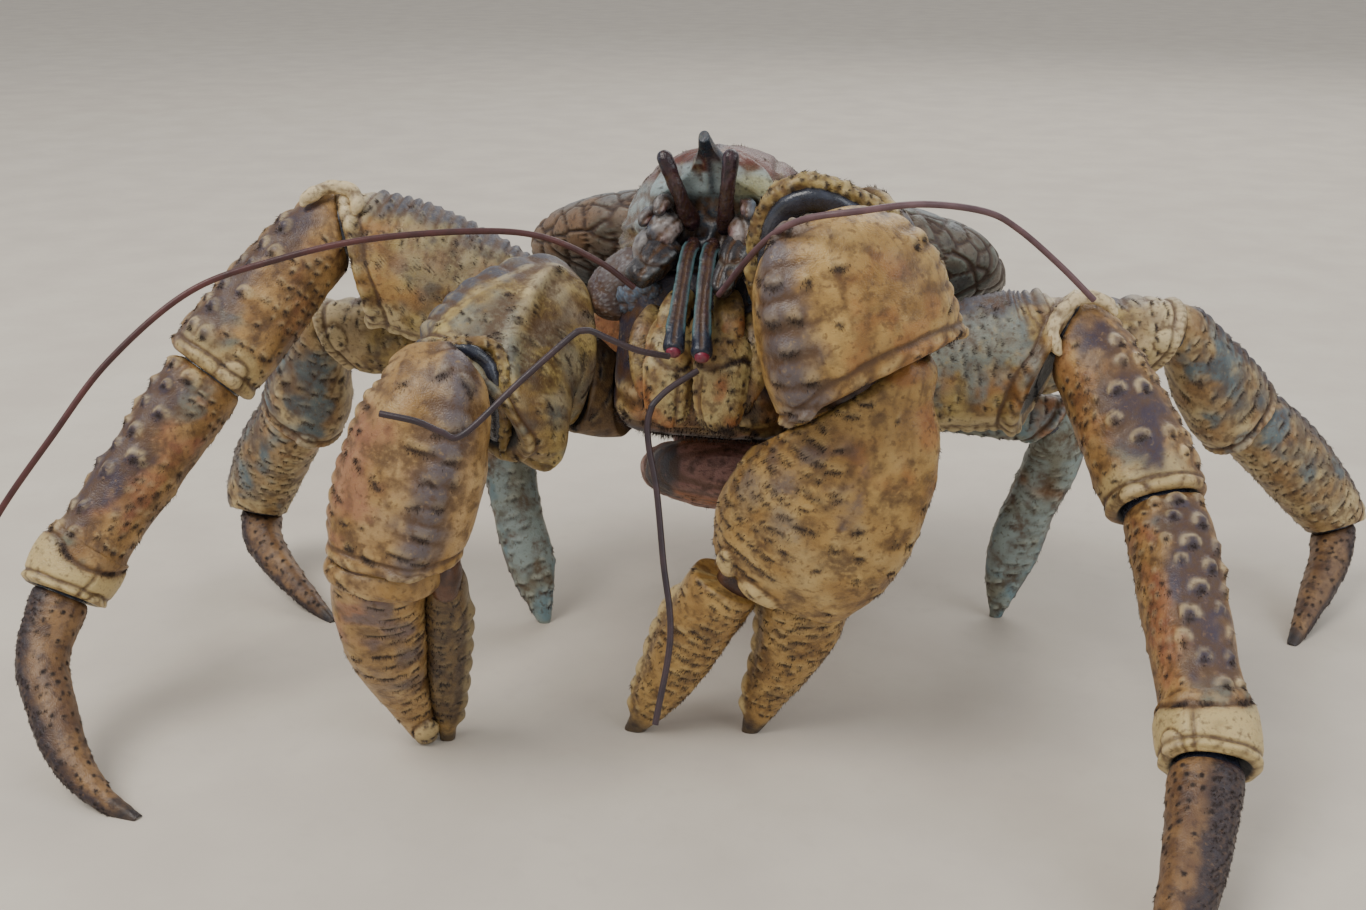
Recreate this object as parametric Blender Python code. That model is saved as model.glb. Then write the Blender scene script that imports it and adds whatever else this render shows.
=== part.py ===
"""A life-size coconut crab resting on its feet and claw tips, one closed object for each part of the body.

X points to the animal's left, the head faces -Y and the floor is z = 0. Places are given in
millimetres from a point on the floor under the chest, and the meshes are in metres.
"""

import math
import random

import bmesh
import bpy
from mathutils import Matrix, Vector

MM = 0.001
GAP = 0.3
SEED = 7
REACH = 20.0

# The middle of the whole stance, which becomes the origin on the floor.
CENTRE = Vector((7.5, -36.4, 0.0))

# The trunk stands at this height, turned nose up.
BODY_HEIGHT = 130.0
NOSE_UP = math.radians(22.0)
FORWARD = Vector((0.0, -math.cos(NOSE_UP), math.sin(NOSE_UP)))
UPWARD = Vector((0.0, math.sin(NOSE_UP), math.cos(NOSE_UP)))
SIDEWAYS = Vector((1.0, 0.0, 0.0))
DOWN = Vector((0.0, 0.0, -1.0))
FLOOR = Vector((0.0, 0.0, 0.0))

# Broad sides of the limbs look this way, towards the front.
FRONT = Vector((0.2, -0.92, 0.34))

# Trunk sizes, measured in the trunk's own frame.
TRUNK_HALF_WIDTH = 33.0
HEAD_BACK = 22.0
FACE = 84.0
HEAD_FLOOR = -40.0
HEAD_TOP = 12.0
STERNUM_TOP = 2.0
STERNUM_FLOOR = -36.0
STERNUM_BACK = -62.0
MIDLINE_HALF_WIDTH = 18.0
ABDOMEN_TURN = -100.0
ABDOMEN_TOP = 16.0
ABDOMEN_END = -28.0
LOBE_CENTRE = 9.0
LOBE_RISE = 17.0

# Colours of the shell, from cream and tan to the dark head.
TAN = (0.50, 0.30, 0.11)
OCHRE = (0.58, 0.33, 0.10)
CREAM = (0.62, 0.48, 0.28)
BROWN = (0.20, 0.10, 0.06)
MAUVE = (0.32, 0.17, 0.14)
BLUE_GREY = (0.22, 0.30, 0.34)
RUST = (0.33, 0.15, 0.07)
DARK = (0.05, 0.035, 0.045)
TEAL = (0.06, 0.10, 0.11)
WINE = (0.18, 0.06, 0.06)


def in_body(x, forward, up):
    """A place given across, along and up the trunk."""
    return Vector((0.0, 0.0, BODY_HEIGHT)) + SIDEWAYS * x + FORWARD * forward + UPWARD * up


def clear_scene():
    for obj in list(bpy.data.objects):
        bpy.data.objects.remove(obj, do_unlink=True)


def shell(name, colour, roughness=0.5):
    """A plain shell material of one colour."""
    material = bpy.data.materials.new(name)
    material.use_nodes = True
    principled = material.node_tree.nodes["Principled BSDF"]
    principled.inputs["Base Color"].default_value = (*colour, 1.0)
    principled.inputs["Roughness"].default_value = roughness
    return material


def new_object(name, bm, collection, colour, origin=None, parent=None):
    """Turns a bmesh in millimetres into an object in metres, with its origin at its joint."""
    origin = origin if origin is not None else Vector()
    bmesh.ops.recalc_face_normals(bm, faces=bm.faces)
    bmesh.ops.translate(bm, vec=-origin, verts=bm.verts)
    bmesh.ops.scale(bm, vec=(MM, MM, MM), verts=bm.verts)
    mesh = bpy.data.meshes.new(name)
    bm.to_mesh(mesh)
    bm.free()
    mesh.shade_smooth()
    mesh.set_sharp_from_angle(angle=math.radians(40.0))
    mesh.materials.append(shell(name + "_shell", colour))
    obj = bpy.data.objects.new(name, mesh)
    obj.location = (origin - CENTRE) * MM
    obj.parent = parent
    collection.objects.link(obj)
    return obj


def loft(rings):
    """A closed bmesh through rings of equal length, with a flat face at each end."""
    bm = bmesh.new()
    layers = [[bm.verts.new(point) for point in ring] for ring in rings]
    count = len(rings[0])
    for lower, upper in zip(layers[:-1], layers[1:]):
        for k in range(count):
            m = (k + 1) % count
            bm.faces.new((lower[k], lower[m], upper[m], upper[k]))
    bm.faces.new(layers[0])
    bm.faces.new(layers[-1])
    bmesh.ops.recalc_face_normals(bm, faces=bm.faces)
    return bm


def cut(bm, point, normal):
    """Takes away what lies beyond a plane and closes the cut with one flat face."""
    everything = bm.verts[:] + bm.edges[:] + bm.faces[:]
    bmesh.ops.bisect_plane(
        bm, geom=everything, plane_co=point, plane_no=normal, clear_outer=True, dist=0.0001
    )
    rim = [edge for edge in bm.edges if edge.is_boundary]
    if rim:
        bmesh.ops.edgeloop_fill(bm, edges=rim)


def rounded(cosine, power):
    return math.copysign(abs(cosine) ** power, cosine)


def smooth_path(points, sizes, steps):
    """Points and sizes on a smooth curve through the given ones."""
    ends = [points[0] * 2 - points[1]] + list(points) + [points[-1] * 2 - points[-2]]
    path = []
    grown = []
    for i in range(len(points) - 1):
        a, b, c, d = ends[i : i + 4]
        for step in range(steps):
            t = step / steps
            bend = (c - a) * t + (2 * a - 5 * b + 4 * c - d) * t**2 + (3 * b - a - 3 * c + d) * t**3
            path.append(b + bend * 0.5)
            grown.append(tuple(p + (q - p) * t for p, q in zip(sizes[i], sizes[i + 1])))
    path.append(points[-1])
    grown.append(sizes[-1])
    return path, grown


class Limb:
    """A piece of a limb: oval rings along a path, cut flat where it meets its neighbours."""

    def __init__(self, name, path, sizes, colour, side=1, face=FRONT, corner=0.85, sides=12):
        self.name = name
        self.path = [Vector(point) for point in path]
        self.sizes = list(sizes)
        self.colour = colour
        self.side = side
        self.face = face
        self.corner = corner
        self.sides = sides
        self.origin = self.path[0]
        self.inner = (0, len(self.path) - 1)
        self.cuts = []
        self.forms = []

    def extend(self, start=REACH, end=REACH, narrow=0.55):
        """Runs the ends on past the joints, narrowing, so that a bend is rounded outside."""
        first = (self.path[0] - self.path[1]).normalized()
        last = (self.path[-1] - self.path[-2]).normalized()
        low, high = self.inner
        if start:
            self.path.insert(0, self.path[0] + first * start)
            shrink = 1.0 - (1.0 - narrow) * start / REACH
            self.sizes.insert(0, tuple(v * shrink for v in self.sizes[0]))
            low += 1
            high += 1
        if end:
            self.path.append(self.path[-1] + last * end)
            shrink = 1.0 - (1.0 - narrow) * end / REACH
            self.sizes.append(tuple(v * shrink for v in self.sizes[-1]))
        self.inner = (low, high)
        return self

    def ring_frame(self, i):
        """The outer and front directions of one ring."""
        before = self.path[max(i - 1, 0)]
        after = self.path[min(i + 1, len(self.path) - 1)]
        tangent = (after - before).normalized()
        front = (self.face - tangent * self.face.dot(tangent)).normalized()
        return front.cross(tangent) * self.side, front

    def place(self, share):
        """The ring number, with its fraction, that lies a share of the way along the piece."""
        low, high = self.inner
        lengths = [(self.path[i + 1] - self.path[i]).length for i in range(low, high)]
        left = share * sum(lengths)
        for i, length in enumerate(lengths):
            if left <= length:
                return low + i + left / length
            left -= length
        return float(high)

    def on_surface(self, place, angle):
        """A point of the skin and the way it faces. Angle 0 is the outer edge, 90 the front."""
        i = min(int(place), len(self.path) - 2)
        t = place - i
        outer_a, front_a = self.ring_frame(i)
        outer_b, front_b = self.ring_frame(i + 1)
        outer = outer_a.lerp(outer_b, t).normalized()
        front = front_a.lerp(front_b, t).normalized()
        centre = self.path[i].lerp(self.path[i + 1], t)
        wide, thick = (p + (q - p) * t for p, q in zip(self.sizes[i], self.sizes[i + 1]))
        c = math.cos(angle)
        s = math.sin(angle)
        point = centre + outer * (wide * rounded(c, self.corner))
        point = point + front * (thick * rounded(s, self.corner))
        facing = (outer * (c / wide) + front * (s / thick)).normalized()
        return point, facing

    def ring(self, i):
        return [self.on_surface(i, math.tau * k / self.sides)[0] for k in range(self.sides)]

    def mesh(self):
        bm = loft([self.ring(i) for i in range(len(self.path))])
        for point, normal in self.cuts:
            cut(bm, point, normal)
        return bm

    def is_clear(self, point, margin):
        """Whether a point keeps its distance from every cut end."""
        return all((point - place).dot(normal) < -margin for place, normal in self.cuts)

    def spine(self, share, degrees, length, radius, lean, segments):
        """Adds one short spine that leans towards the tip of the limb."""
        place = self.place(share)
        point, facing = self.on_surface(place, math.radians(degrees))
        i = min(int(place), len(self.path) - 2)
        along = (self.path[i + 1] - self.path[i]).normalized()
        aim = (facing + along * lean).normalized()
        if self.is_clear(point, radius + 2.0) and self.is_clear(point + aim * length, 1.2):
            self.forms.append(cone(point, aim, length, radius, segments))

    def rows(self, shares, degrees, length, radius, lean=0.5, segments=4):
        """Adds rows of spines across the limb, each a little out of line."""
        step = shares[1] - shares[0]
        for n, share in enumerate(shares):
            for degree in degrees:
                off = random.uniform(-0.3, 0.3) * step
                turn = random.uniform(-6.0, 6.0) + (7.0 if n % 2 else -7.0)
                size = random.uniform(0.85, 1.15)
                self.spine(share + off, degree + turn, length * size, radius * size, lean, segments)

    def knob(self, share, degrees, radius):
        """Adds a round knob, partly sunk in the skin."""
        point, facing = self.on_surface(self.place(share), math.radians(degrees))
        centre = point - facing * radius * 0.35
        if self.is_clear(centre, radius + 0.3):
            self.forms.append(egg(centre, (radius, radius, radius), Matrix(), 8, 5))


class Feeler(Limb):
    """A long thin piece, round all the way, made from a curve."""

    def mesh(self):
        data = bpy.data.curves.new(self.name, "CURVE")
        data.dimensions = "3D"
        data.bevel_depth = 1.0
        data.bevel_resolution = 2
        data.use_fill_caps = True
        spline = data.splines.new("POLY")
        spline.points.add(len(self.path) - 1)
        for point, place, size in zip(spline.points, self.path, self.sizes):
            point.co = (*place, 1.0)
            point.radius = size[0]
        obj = bpy.data.objects.new(self.name + "_line", data)
        bpy.context.scene.collection.objects.link(obj)
        graph = bpy.context.evaluated_depsgraph_get()
        mesh = bpy.data.meshes.new_from_object(obj.evaluated_get(graph))
        bm = bmesh.new()
        bm.from_mesh(mesh)
        bmesh.ops.remove_doubles(bm, verts=bm.verts, dist=0.001)
        bmesh.ops.recalc_face_normals(bm, faces=bm.faces)
        bpy.data.objects.remove(obj, do_unlink=True)
        bpy.data.curves.remove(data)
        bpy.data.meshes.remove(mesh)
        for point, normal in self.cuts:
            cut(bm, point, normal)
        return bm


def cone(point, facing, length, radius, segments, sink=2.0):
    """A closed cone standing on a point of the skin, with its root sunk below it."""
    bm = bmesh.new()
    depth = length + sink
    root = radius * depth / length
    turn = facing.to_track_quat("Z", "Y").to_matrix().to_4x4()
    matrix = Matrix.Translation(point + facing * (depth / 2 - sink)) @ turn
    bmesh.ops.create_cone(
        bm, cap_ends=True, segments=segments, radius1=root, radius2=0.0, depth=depth, matrix=matrix
    )
    return bm


def egg(centre, half_sizes, turn, around=10, levels=7):
    """An oval lump with its own half sizes along three directions."""
    bm = bmesh.new()
    matrix = Matrix.Translation(centre) @ turn @ Matrix.Diagonal((*half_sizes, 1.0))
    bmesh.ops.create_uvsphere(bm, u_segments=around, v_segments=levels, radius=1.0, matrix=matrix)
    return bm


def fuse(obj, meshes):
    """Joins closed meshes to an object with one Boolean and keeps its largest surface."""
    helpers = bpy.data.collections.new(obj.name + "_helpers")
    bpy.context.scene.collection.children.link(helpers)
    for bm in meshes:
        new_object(obj.name + "_helper", bm, helpers, (0.5, 0.5, 0.5))
    union = obj.modifiers.new("fuse", "BOOLEAN")
    union.operation = "UNION"
    union.operand_type = "COLLECTION"
    union.collection = helpers
    bpy.context.view_layer.update()
    graph = bpy.context.evaluated_depsgraph_get()
    mesh = bpy.data.meshes.new_from_object(obj.evaluated_get(graph))
    obj.modifiers.clear()
    material = obj.data.materials[0]
    obj.data = mesh
    mesh.materials.clear()
    mesh.materials.append(material)
    for helper in list(helpers.objects):
        bpy.data.objects.remove(helper, do_unlink=True)
    bpy.data.collections.remove(helpers)
    keep_largest(mesh)
    mesh.shade_smooth()
    mesh.set_sharp_from_angle(angle=math.radians(40.0))


def keep_largest(mesh):
    """Drops all but the surface with the most faces."""
    bm = bmesh.new()
    bm.from_mesh(mesh)
    left = set(bm.faces)
    groups = []
    while left:
        group = {left.pop()}
        border = list(group)
        while border:
            for edge in border.pop().edges:
                for other in edge.link_faces:
                    if other in left:
                        left.remove(other)
                        group.add(other)
                        border.append(other)
        groups.append(group)
    groups.sort(key=len)
    stray = [face for group in groups[:-1] for face in group]
    if stray:
        bmesh.ops.delete(bm, geom=stray, context="FACES")
    for face in bm.faces:
        face.material_index = 0
    bm.to_mesh(mesh)
    bm.free()


def join_at(before, after, point, normal):
    """Cuts two neighbours on one plane, with the gap between them."""
    normal = normal.normalized()
    before.cuts.append((point - normal * GAP / 2, normal))
    after.cuts.append((point + normal * GAP / 2, -normal))
    after.origin = point


def bend_plane(a, joint, b):
    """The plane that halves a bend."""
    return (joint - a).normalized() + (b - joint).normalized()


def spread(count, low=0.1, high=0.9):
    """Evenly spaced shares of a length."""
    return [low + (high - low) * n / (count - 1) for n in range(count)]


def between(start, end, side, rings, face=FRONT):
    """Path and sizes for a piece that runs straight between two joints.

    Each ring gives its share of the way, half width, half thickness and shift to the outer edge.
    """
    axis = (end - start).normalized()
    front = (face - axis * face.dot(axis)).normalized()
    outer = front.cross(axis) * side
    path = [start.lerp(end, share) + outer * shift for share, _, _, shift in rings]
    return path, [(wide, thick) for _, wide, thick, _ in rings]


def dome_ring(forward, half_width, top, bottom, lean, points=15):
    """A domed section across the trunk with a flat underside."""
    ring = []
    for k in range(points):
        a = math.pi * k / (points - 1)
        up = bottom + (top - bottom) * math.sin(a) ** lean
        ring.append(in_body(half_width * rounded(math.cos(a), 0.9), forward, up))
    return ring


def oval_ring(forward, half_width, middle, half_height, corner=0.8, points=18):
    """An oval section across the trunk."""
    ring = []
    for k in range(points):
        a = math.tau * k / points
        x = half_width * rounded(math.cos(a), corner)
        up = middle + half_height * rounded(math.sin(a), corner)
        ring.append(in_body(x, forward, up))
    return ring


def make_shield(parts, crab):
    """The front half of the carapace with its pointed rostrum."""
    stations = (
        (HEAD_BACK, 36.0, 56.0, HEAD_TOP),
        (34.0, 38.0, 59.0, HEAD_TOP),
        (50.0, 38.0, 60.0, HEAD_TOP),
        (62.0, 36.0, 59.5, HEAD_TOP),
        (72.0, 31.5, 57.5, HEAD_TOP),
        (79.0, 26.0, 55.5, HEAD_TOP),
        (FACE - 0.5, 21.0, 54.0, HEAD_TOP),
        (FACE, 20.5, 54.0, 33.0),
        (88.0, 13.5, 53.0, 36.0),
        (92.0, 7.0, 52.5, 40.0),
        (98.0, 4.0, 53.0, 45.0),
        (104.0, 1.4, 53.5, 50.0),
    )
    rings = [dome_ring(f, w, top, low, 0.72) for f, w, top, low in stations]
    new_object("shield", loft(rings), parts, RUST, in_body(0, HEAD_BACK, HEAD_TOP), crab)


def make_midline(parts, crab):
    """The narrow plate between the two gill covers."""
    chest = STERNUM_TOP + GAP
    rump = ABDOMEN_TOP + GAP
    stations = (
        (HEAD_BACK - GAP, 54.0, chest),
        (0.0, 57.0, chest),
        (-30.0, 56.0, chest),
        (STERNUM_BACK, 48.0, chest),
        (STERNUM_BACK - 0.1, 48.0, rump),
        (-75.0, 40.0, rump),
        (-84.0, 32.0, rump),
    )
    rings = [dome_ring(f, MIDLINE_HALF_WIDTH, top, low, 0.3, 11) for f, top, low in stations]
    new_object("carapace_midline", loft(rings), parts, BROWN, in_body(0, HEAD_BACK, chest), crab)


def lobe_ring(side, forward, half_width, top, middle, bottom, points=18):
    """A gill cover section: domed above, rising towards its outer edge below."""
    ring = []
    for k in range(points):
        a = math.tau * k / points
        x = LOBE_CENTRE + half_width * rounded(math.cos(a), 0.85)
        s = rounded(math.sin(a), 0.85)
        rise = LOBE_RISE * max(0.0, (x - TRUNK_HALF_WIDTH) / half_width)
        low = min(bottom + rise, middle - 1.0)
        up = middle + (top - middle) * s if s > 0 else middle + (middle - low) * s
        ring.append(in_body(side * x, forward, up))
    return ring


def make_gill_cover(parts, crab, name, side):
    """A swollen gill cover beside the midline plate."""
    stations = (
        (25.0, 28.0, 50.0, 42.0, 32.0),
        (18.0, 47.0, 53.0, 40.0, 22.0),
        (6.0, 67.0, 57.0, 38.0, 14.0),
        (-12.0, 83.0, 59.0, 35.0, 7.0),
        (-36.0, 87.0, 58.0, 33.0, 6.0),
        (-58.0, 78.0, 53.0, 32.0, ABDOMEN_TOP - 0.5),
        (-74.0, 60.0, 43.0, 30.0, ABDOMEN_TOP + 0.5),
        (-84.0, 36.0, 34.0, 26.0, ABDOMEN_TOP + 1.5),
    )
    bm = loft([lobe_ring(side, *station) for station in stations])
    cut(bm, in_body(side * (MIDLINE_HALF_WIDTH + GAP), 0, 0), SIDEWAYS * -side)
    cut(bm, in_body(0, HEAD_BACK - GAP, 0), FORWARD)
    new_object(name, bm, parts, BROWN, in_body(side * MIDLINE_HALF_WIDTH, HEAD_BACK, 30), crab)


def make_chest(parts, crab):
    """The solid head base and chest that carry every limb."""
    head = []
    top = HEAD_TOP - GAP
    for forward, width, low in (
        (HEAD_BACK + GAP, TRUNK_HALF_WIDTH, STERNUM_FLOOR),
        (56.0, TRUNK_HALF_WIDTH, HEAD_FLOOR),
        (70.0, 31.0, HEAD_FLOOR),
        (79.0, 26.0, -36.0),
        (FACE, 21.0, -28.0),
    ):
        head.append(oval_ring(forward, width, (top + low) / 2, (top - low) / 2, 0.35, 16))
    base = new_object("head_base", loft(head), parts, MAUVE, in_body(0, HEAD_BACK, 0), crab)
    turn = Matrix.Rotation(-NOSE_UP, 4, "X")
    cheeks = [egg(in_body(side * 30.5, 64.0, 1.5), (6.0, 11.0, 9.0), turn) for side in (-1, 1)]
    fuse(base, cheeks)
    middle = (STERNUM_TOP + STERNUM_FLOOR) / 2
    high = (STERNUM_TOP - STERNUM_FLOOR) / 2
    stations = (HEAD_BACK, -6.0, -34.0, STERNUM_BACK)
    chest = [oval_ring(f, TRUNK_HALF_WIDTH, middle, high, 0.35, 16) for f in stations]
    new_object("sternum", loft(chest), parts, TAN, in_body(0, HEAD_BACK, 0), crab)


def make_abdomen(parts, crab):
    """The soft hind body in four lengths, folded under the chest, with overlapping plates."""
    pieces = (
        ("abdomen_back", (
            (STERNUM_BACK - GAP, 38.0, -10.5, 24.5),
            (-73.0, 42.5, -11.0, 26.5),
            (-74.0, 40.5, -11.0, 24.5),
            (-86.0, 45.5, -11.0, 26.8),
            (-87.0, 43.5, -11.0, 24.8),
            (ABDOMEN_TURN + GAP, 47.0, -11.5, 26.8),
        )),
        ("abdomen_turn", (
            (ABDOMEN_TURN, 45.5, -25.0, 38.5),
            (-112.0, 48.0, -25.0, 39.0),
            (-113.0, 46.0, -25.0, 37.0),
            (-126.0, 43.5, -25.0, 33.5),
            (-127.0, 41.5, -25.0, 31.5),
            (-138.0, 33.0, -25.0, 23.0),
            (-145.0, 20.0, -25.0, 13.0),
            (-148.0, 8.0, -25.0, 5.0),
        )),
        ("abdomen_under", (
            (ABDOMEN_TURN + GAP, 46.0, -51.5, 13.0),
            (-78.0, 47.0, -52.0, 13.5),
            (-52.0, 45.0, -51.5, 13.5),
            (ABDOMEN_END, 42.0, -51.0, 13.0),
        )),
        ("abdomen_end", (
            (ABDOMEN_END + GAP, 42.0, -51.0, 13.0),
            (-10.0, 38.0, -51.0, 13.0),
            (4.0, 32.0, -50.5, 12.0),
            (13.0, 22.0, -50.0, 9.0),
            (18.0, 10.0, -50.0, 5.0),
        )),
    )
    for name, stations in pieces:
        bm = loft([oval_ring(*station, points=16) for station in stations])
        new_object(name, bm, parts, MAUVE, in_body(0, stations[0][0], stations[0][2]), crab)


def body_path(points, side=1):
    return [in_body(x * side, forward, up) for x, forward, up in points]


def rooted_on_face(limb):
    """Cuts the root of a head piece on the flat face under the rostrum."""
    limb.extend(4.0, 0.0)
    limb.cuts.append((in_body(0, FACE + GAP, 0), -FORWARD))
    return limb


def make_head():
    """Eyes, feeler bases and mouthparts, all rooted on the flat face under the rostrum."""
    pieces = []
    eyes = (
        ("eye_right", [(-6.5, 85, 29), (-8, 91, 32), (-11, 97, 42), (-14, 100, 49)]),
        ("eye_left", [(6.5, 85, 29), (8.3, 91, 32), (9.3, 97, 42), (9.8, 99, 50)]),
    )
    for name, points in eyes:
        sizes = [(3.0, 3.0), (2.7, 2.7), (2.6, 2.6), (2.0, 2.0)]
        pieces.append(Limb(name, body_path(points), sizes, DARK, sides=10))
    columns = (
        ("antennule_column_right", [(-4, 85, 20.5), (-3.8, 92, 15), (-3.4, 103, -3), (-3, 110.5, -17)]),
        ("antennule_column_left", [(4.2, 85, 20.5), (4.2, 92, 15), (5, 103, -4), (6.2, 110, -18)]),
    )
    for name, points in columns:
        sizes = [(2.9, 2.9), (2.9, 2.9), (3.1, 3.0), (3.7, 3.4)]
        pieces.append(Limb(name, body_path(points), sizes, TEAL, sides=10))
    bases = (
        ("antenna_base_right", [(-13.8, 85, 19), (-16, 90, 13.5), (-19.5, 97, 6)], 5.2),
        ("antenna_base_left", [(13.5, 85, 22), (13, 92, 14), (11.8, 99.5, 3)], 4.4),
    )
    for name, points, size in bases:
        sizes = [(size, size), (size, size * 0.95), (size * 0.75, size * 0.75)]
        pieces.append(Limb(name, body_path(points), sizes, DARK, sides=10))
    for name, side in (("maxilliped_right", -1), ("maxilliped_left", 1)):
        path = body_path([(9, 85, -6), (9, 91, -14), (8, 92, -27), (6.5, 87, -38)], side)
        sizes = [(7.0, 6.0), (6.8, 4.4), (6.0, 4.0), (3.6, 2.6)]
        pieces.append(Limb(name, path, sizes, CREAM, sides=10))
    return [rooted_on_face(piece) for piece in pieces]


def feeler(names, points, radii, colour, steps=2):
    """A long thin feeler in as many lengths as it has names, meeting end to end."""
    path, grown = smooth_path([Vector(point) for point in points], [(r, r) for r in radii], steps)
    pieces = []
    count = len(path) - 1
    for n, name in enumerate(names):
        low = round(count * n / len(names))
        high = round(count * (n + 1) / len(names))
        piece = Feeler(name, path[low : high + 1], grown[low : high + 1], colour)
        piece.extend(1.5, 1.5 if n < len(names) - 1 else 0.0, narrow=1.0)
        if pieces:
            join_at(pieces[-1], piece, path[low], path[low + 1] - path[low])
        pieces.append(piece)
    return pieces


def make_feelers(head):
    """The two long antennae and the thinner antennule whips."""
    made = []
    made += feeler(
        ("antenna_right_1", "antenna_right_2", "antenna_right_3"),
        [(-20, -90, 171), (-30, -95, 180), (-45, -104, 189), (-63, -113, 192), (-93, -127, 191),
         (-118, -138, 186), (-141, -151, 178), (-162, -165, 159), (-176, -178, 138),
         (-189, -188, 118), (-196, -196, 102)],
        [1.9, 1.7, 1.5, 1.3, 1.2, 1.1, 1.0, 0.9, 0.8, 0.75, 0.7], WINE,
    )
    made += feeler(
        ("antenna_left_1", "antenna_left_2"),
        [(9, -94, 170), (25, -114, 192), (38, -126, 202), (55, -129, 206), (72, -120, 207),
         (89, -106, 203), (99, -95, 196), (112, -87, 184), (123, -83, 173)],
        [2.2, 1.8, 1.5, 1.3, 1.2, 1.1, 1.0, 0.85, 0.7], WINE,
    )
    made += feeler(
        ("antennule_stalk_right",),
        [(-3, -114, 156), (-11, -120, 159), (-19, -125, 164), (-26, -129, 168)],
        [1.6, 1.8, 1.6, 1.3], DARK,
    )
    made += feeler(
        ("antennule_whip_right_1", "antennule_whip_right_2"),
        [(-26.3, -129.8, 167), (-41, -144, 154), (-55, -156, 141), (-61, -158, 142),
         (-68, -159, 145), (-79, -160, 147)],
        [1.0, 0.9, 0.8, 0.75, 0.7, 0.6], DARK, steps=1,
    )
    made += feeler(
        ("antennule_stalk_left",),
        [(6, -114, 152), (-1, -120, 148), (-4.5, -124, 145), (-6, -126, 143)],
        [1.6, 1.7, 1.6, 1.4], DARK,
    )
    made += feeler(
        ("antennule_whip_left",),
        [(-6, -126.6, 141.4), (-3, -132, 122), (1, -140, 99), (5, -148, 78), (3, -160, 54)],
        [1.2, 1.0, 0.9, 0.8, 0.6], DARK, steps=1,
    )
    by_name = {limb.name: limb for limb in head + made}
    for before, after in (
        ("antenna_base_right", "antenna_right_1"),
        ("antenna_base_left", "antenna_left_1"),
        ("antennule_column_right", "antennule_stalk_right"),
        ("antennule_column_left", "antennule_stalk_left"),
        ("antennule_stalk_right", "antennule_whip_right_1"),
        ("antennule_stalk_left", "antennule_whip_left"),
    ):
        second = by_name[after]
        joint = second.path[1]
        join_at(by_name[before], second, joint, second.path[2] - joint)
    return made


class Leg:
    """Joint places of one walking leg, from the chest to the toe."""

    def __init__(self, name, side, root, knee, wrist, ankle, toe, toe_sizes):
        self.name = name
        self.side = side
        self.root = Vector(root)
        self.knee = Vector(knee)
        self.wrist = Vector(wrist)
        self.ankle = Vector(ankle)
        self.toe = [Vector(point) for point in toe]
        self.toe_sizes = toe_sizes


FRONT_LEGS = (
    Leg("leg_2_right", -1, (-33, -12, 121), (-147, -30, 173), (-187, -66, 123), (-226, -117, 54),
        [(-226, -117, 54), (-226, -132, 37), (-215, -146, 24), (-202, -157, 12),
         (-189, -163, 4.5), (-176, -166, 0)],
        [(10.4, 9.0), (8.8, 7.6), (8.0, 6.8), (6.4, 5.6), (4.2, 3.8), (2.4, 2.2)]),
    Leg("leg_2_left", 1, (33, -12, 121), (120, 0, 141), (153, -42, 91), (168, -119, 36),
        [(168, -119, 36), (165, -138, 24), (161, -158, 16), (155, -179, 8), (149, -199, 0)],
        [(11.4, 9.6), (10.2, 8.4), (8.7, 7.0), (6.2, 5.2), (2.8, 2.4)]),
)
BACK_LEGS = (
    Leg("leg_3_right", -1, (-33, 14, 111), (-166, -9, 127), (-192, 9, 81), (-227, 32, 27),
        [(-227, 32, 27), (-222, 21, 20), (-209, 9, 13), (-192, -3, 6), (-175, -14, 0)],
        [(9.4, 8.6), (8.2, 7.2), (6.8, 5.8), (4.8, 4.2), (2.4, 2.2)]),
    Leg("leg_3_left", 1, (33, 14, 111), (160, 48, 131), (195, 77, 86), (243, 107, 31),
        [(243, 107, 31), (241, 94, 21), (235, 80, 13), (229, 66, 6.5), (223, 52, 0)],
        [(9.4, 8.6), (8.2, 7.2), (6.8, 5.8), (4.8, 4.2), (2.4, 2.2)]),
)


def rooted_on_chest(limb, root, side):
    """Cuts the root of a limb on the flat side of the chest."""
    limb.cuts.append((Vector((side * (TRUNK_HALF_WIDTH + GAP), root.y, root.z)), SIDEWAYS * -side))


def make_toe(leg, propodus, colour):
    path, sizes = smooth_path(leg.toe, leg.toe_sizes, 2)
    toe = Limb(leg.name + "_dactylus", path, sizes, colour, leg.side, sides=10).extend(12.0, 3.0)
    join_at(propodus, toe, leg.ankle, bend_plane(leg.wrist, leg.ankle, path[2]))
    toe.cuts.append((FLOOR, DOWN))
    return toe


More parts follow.
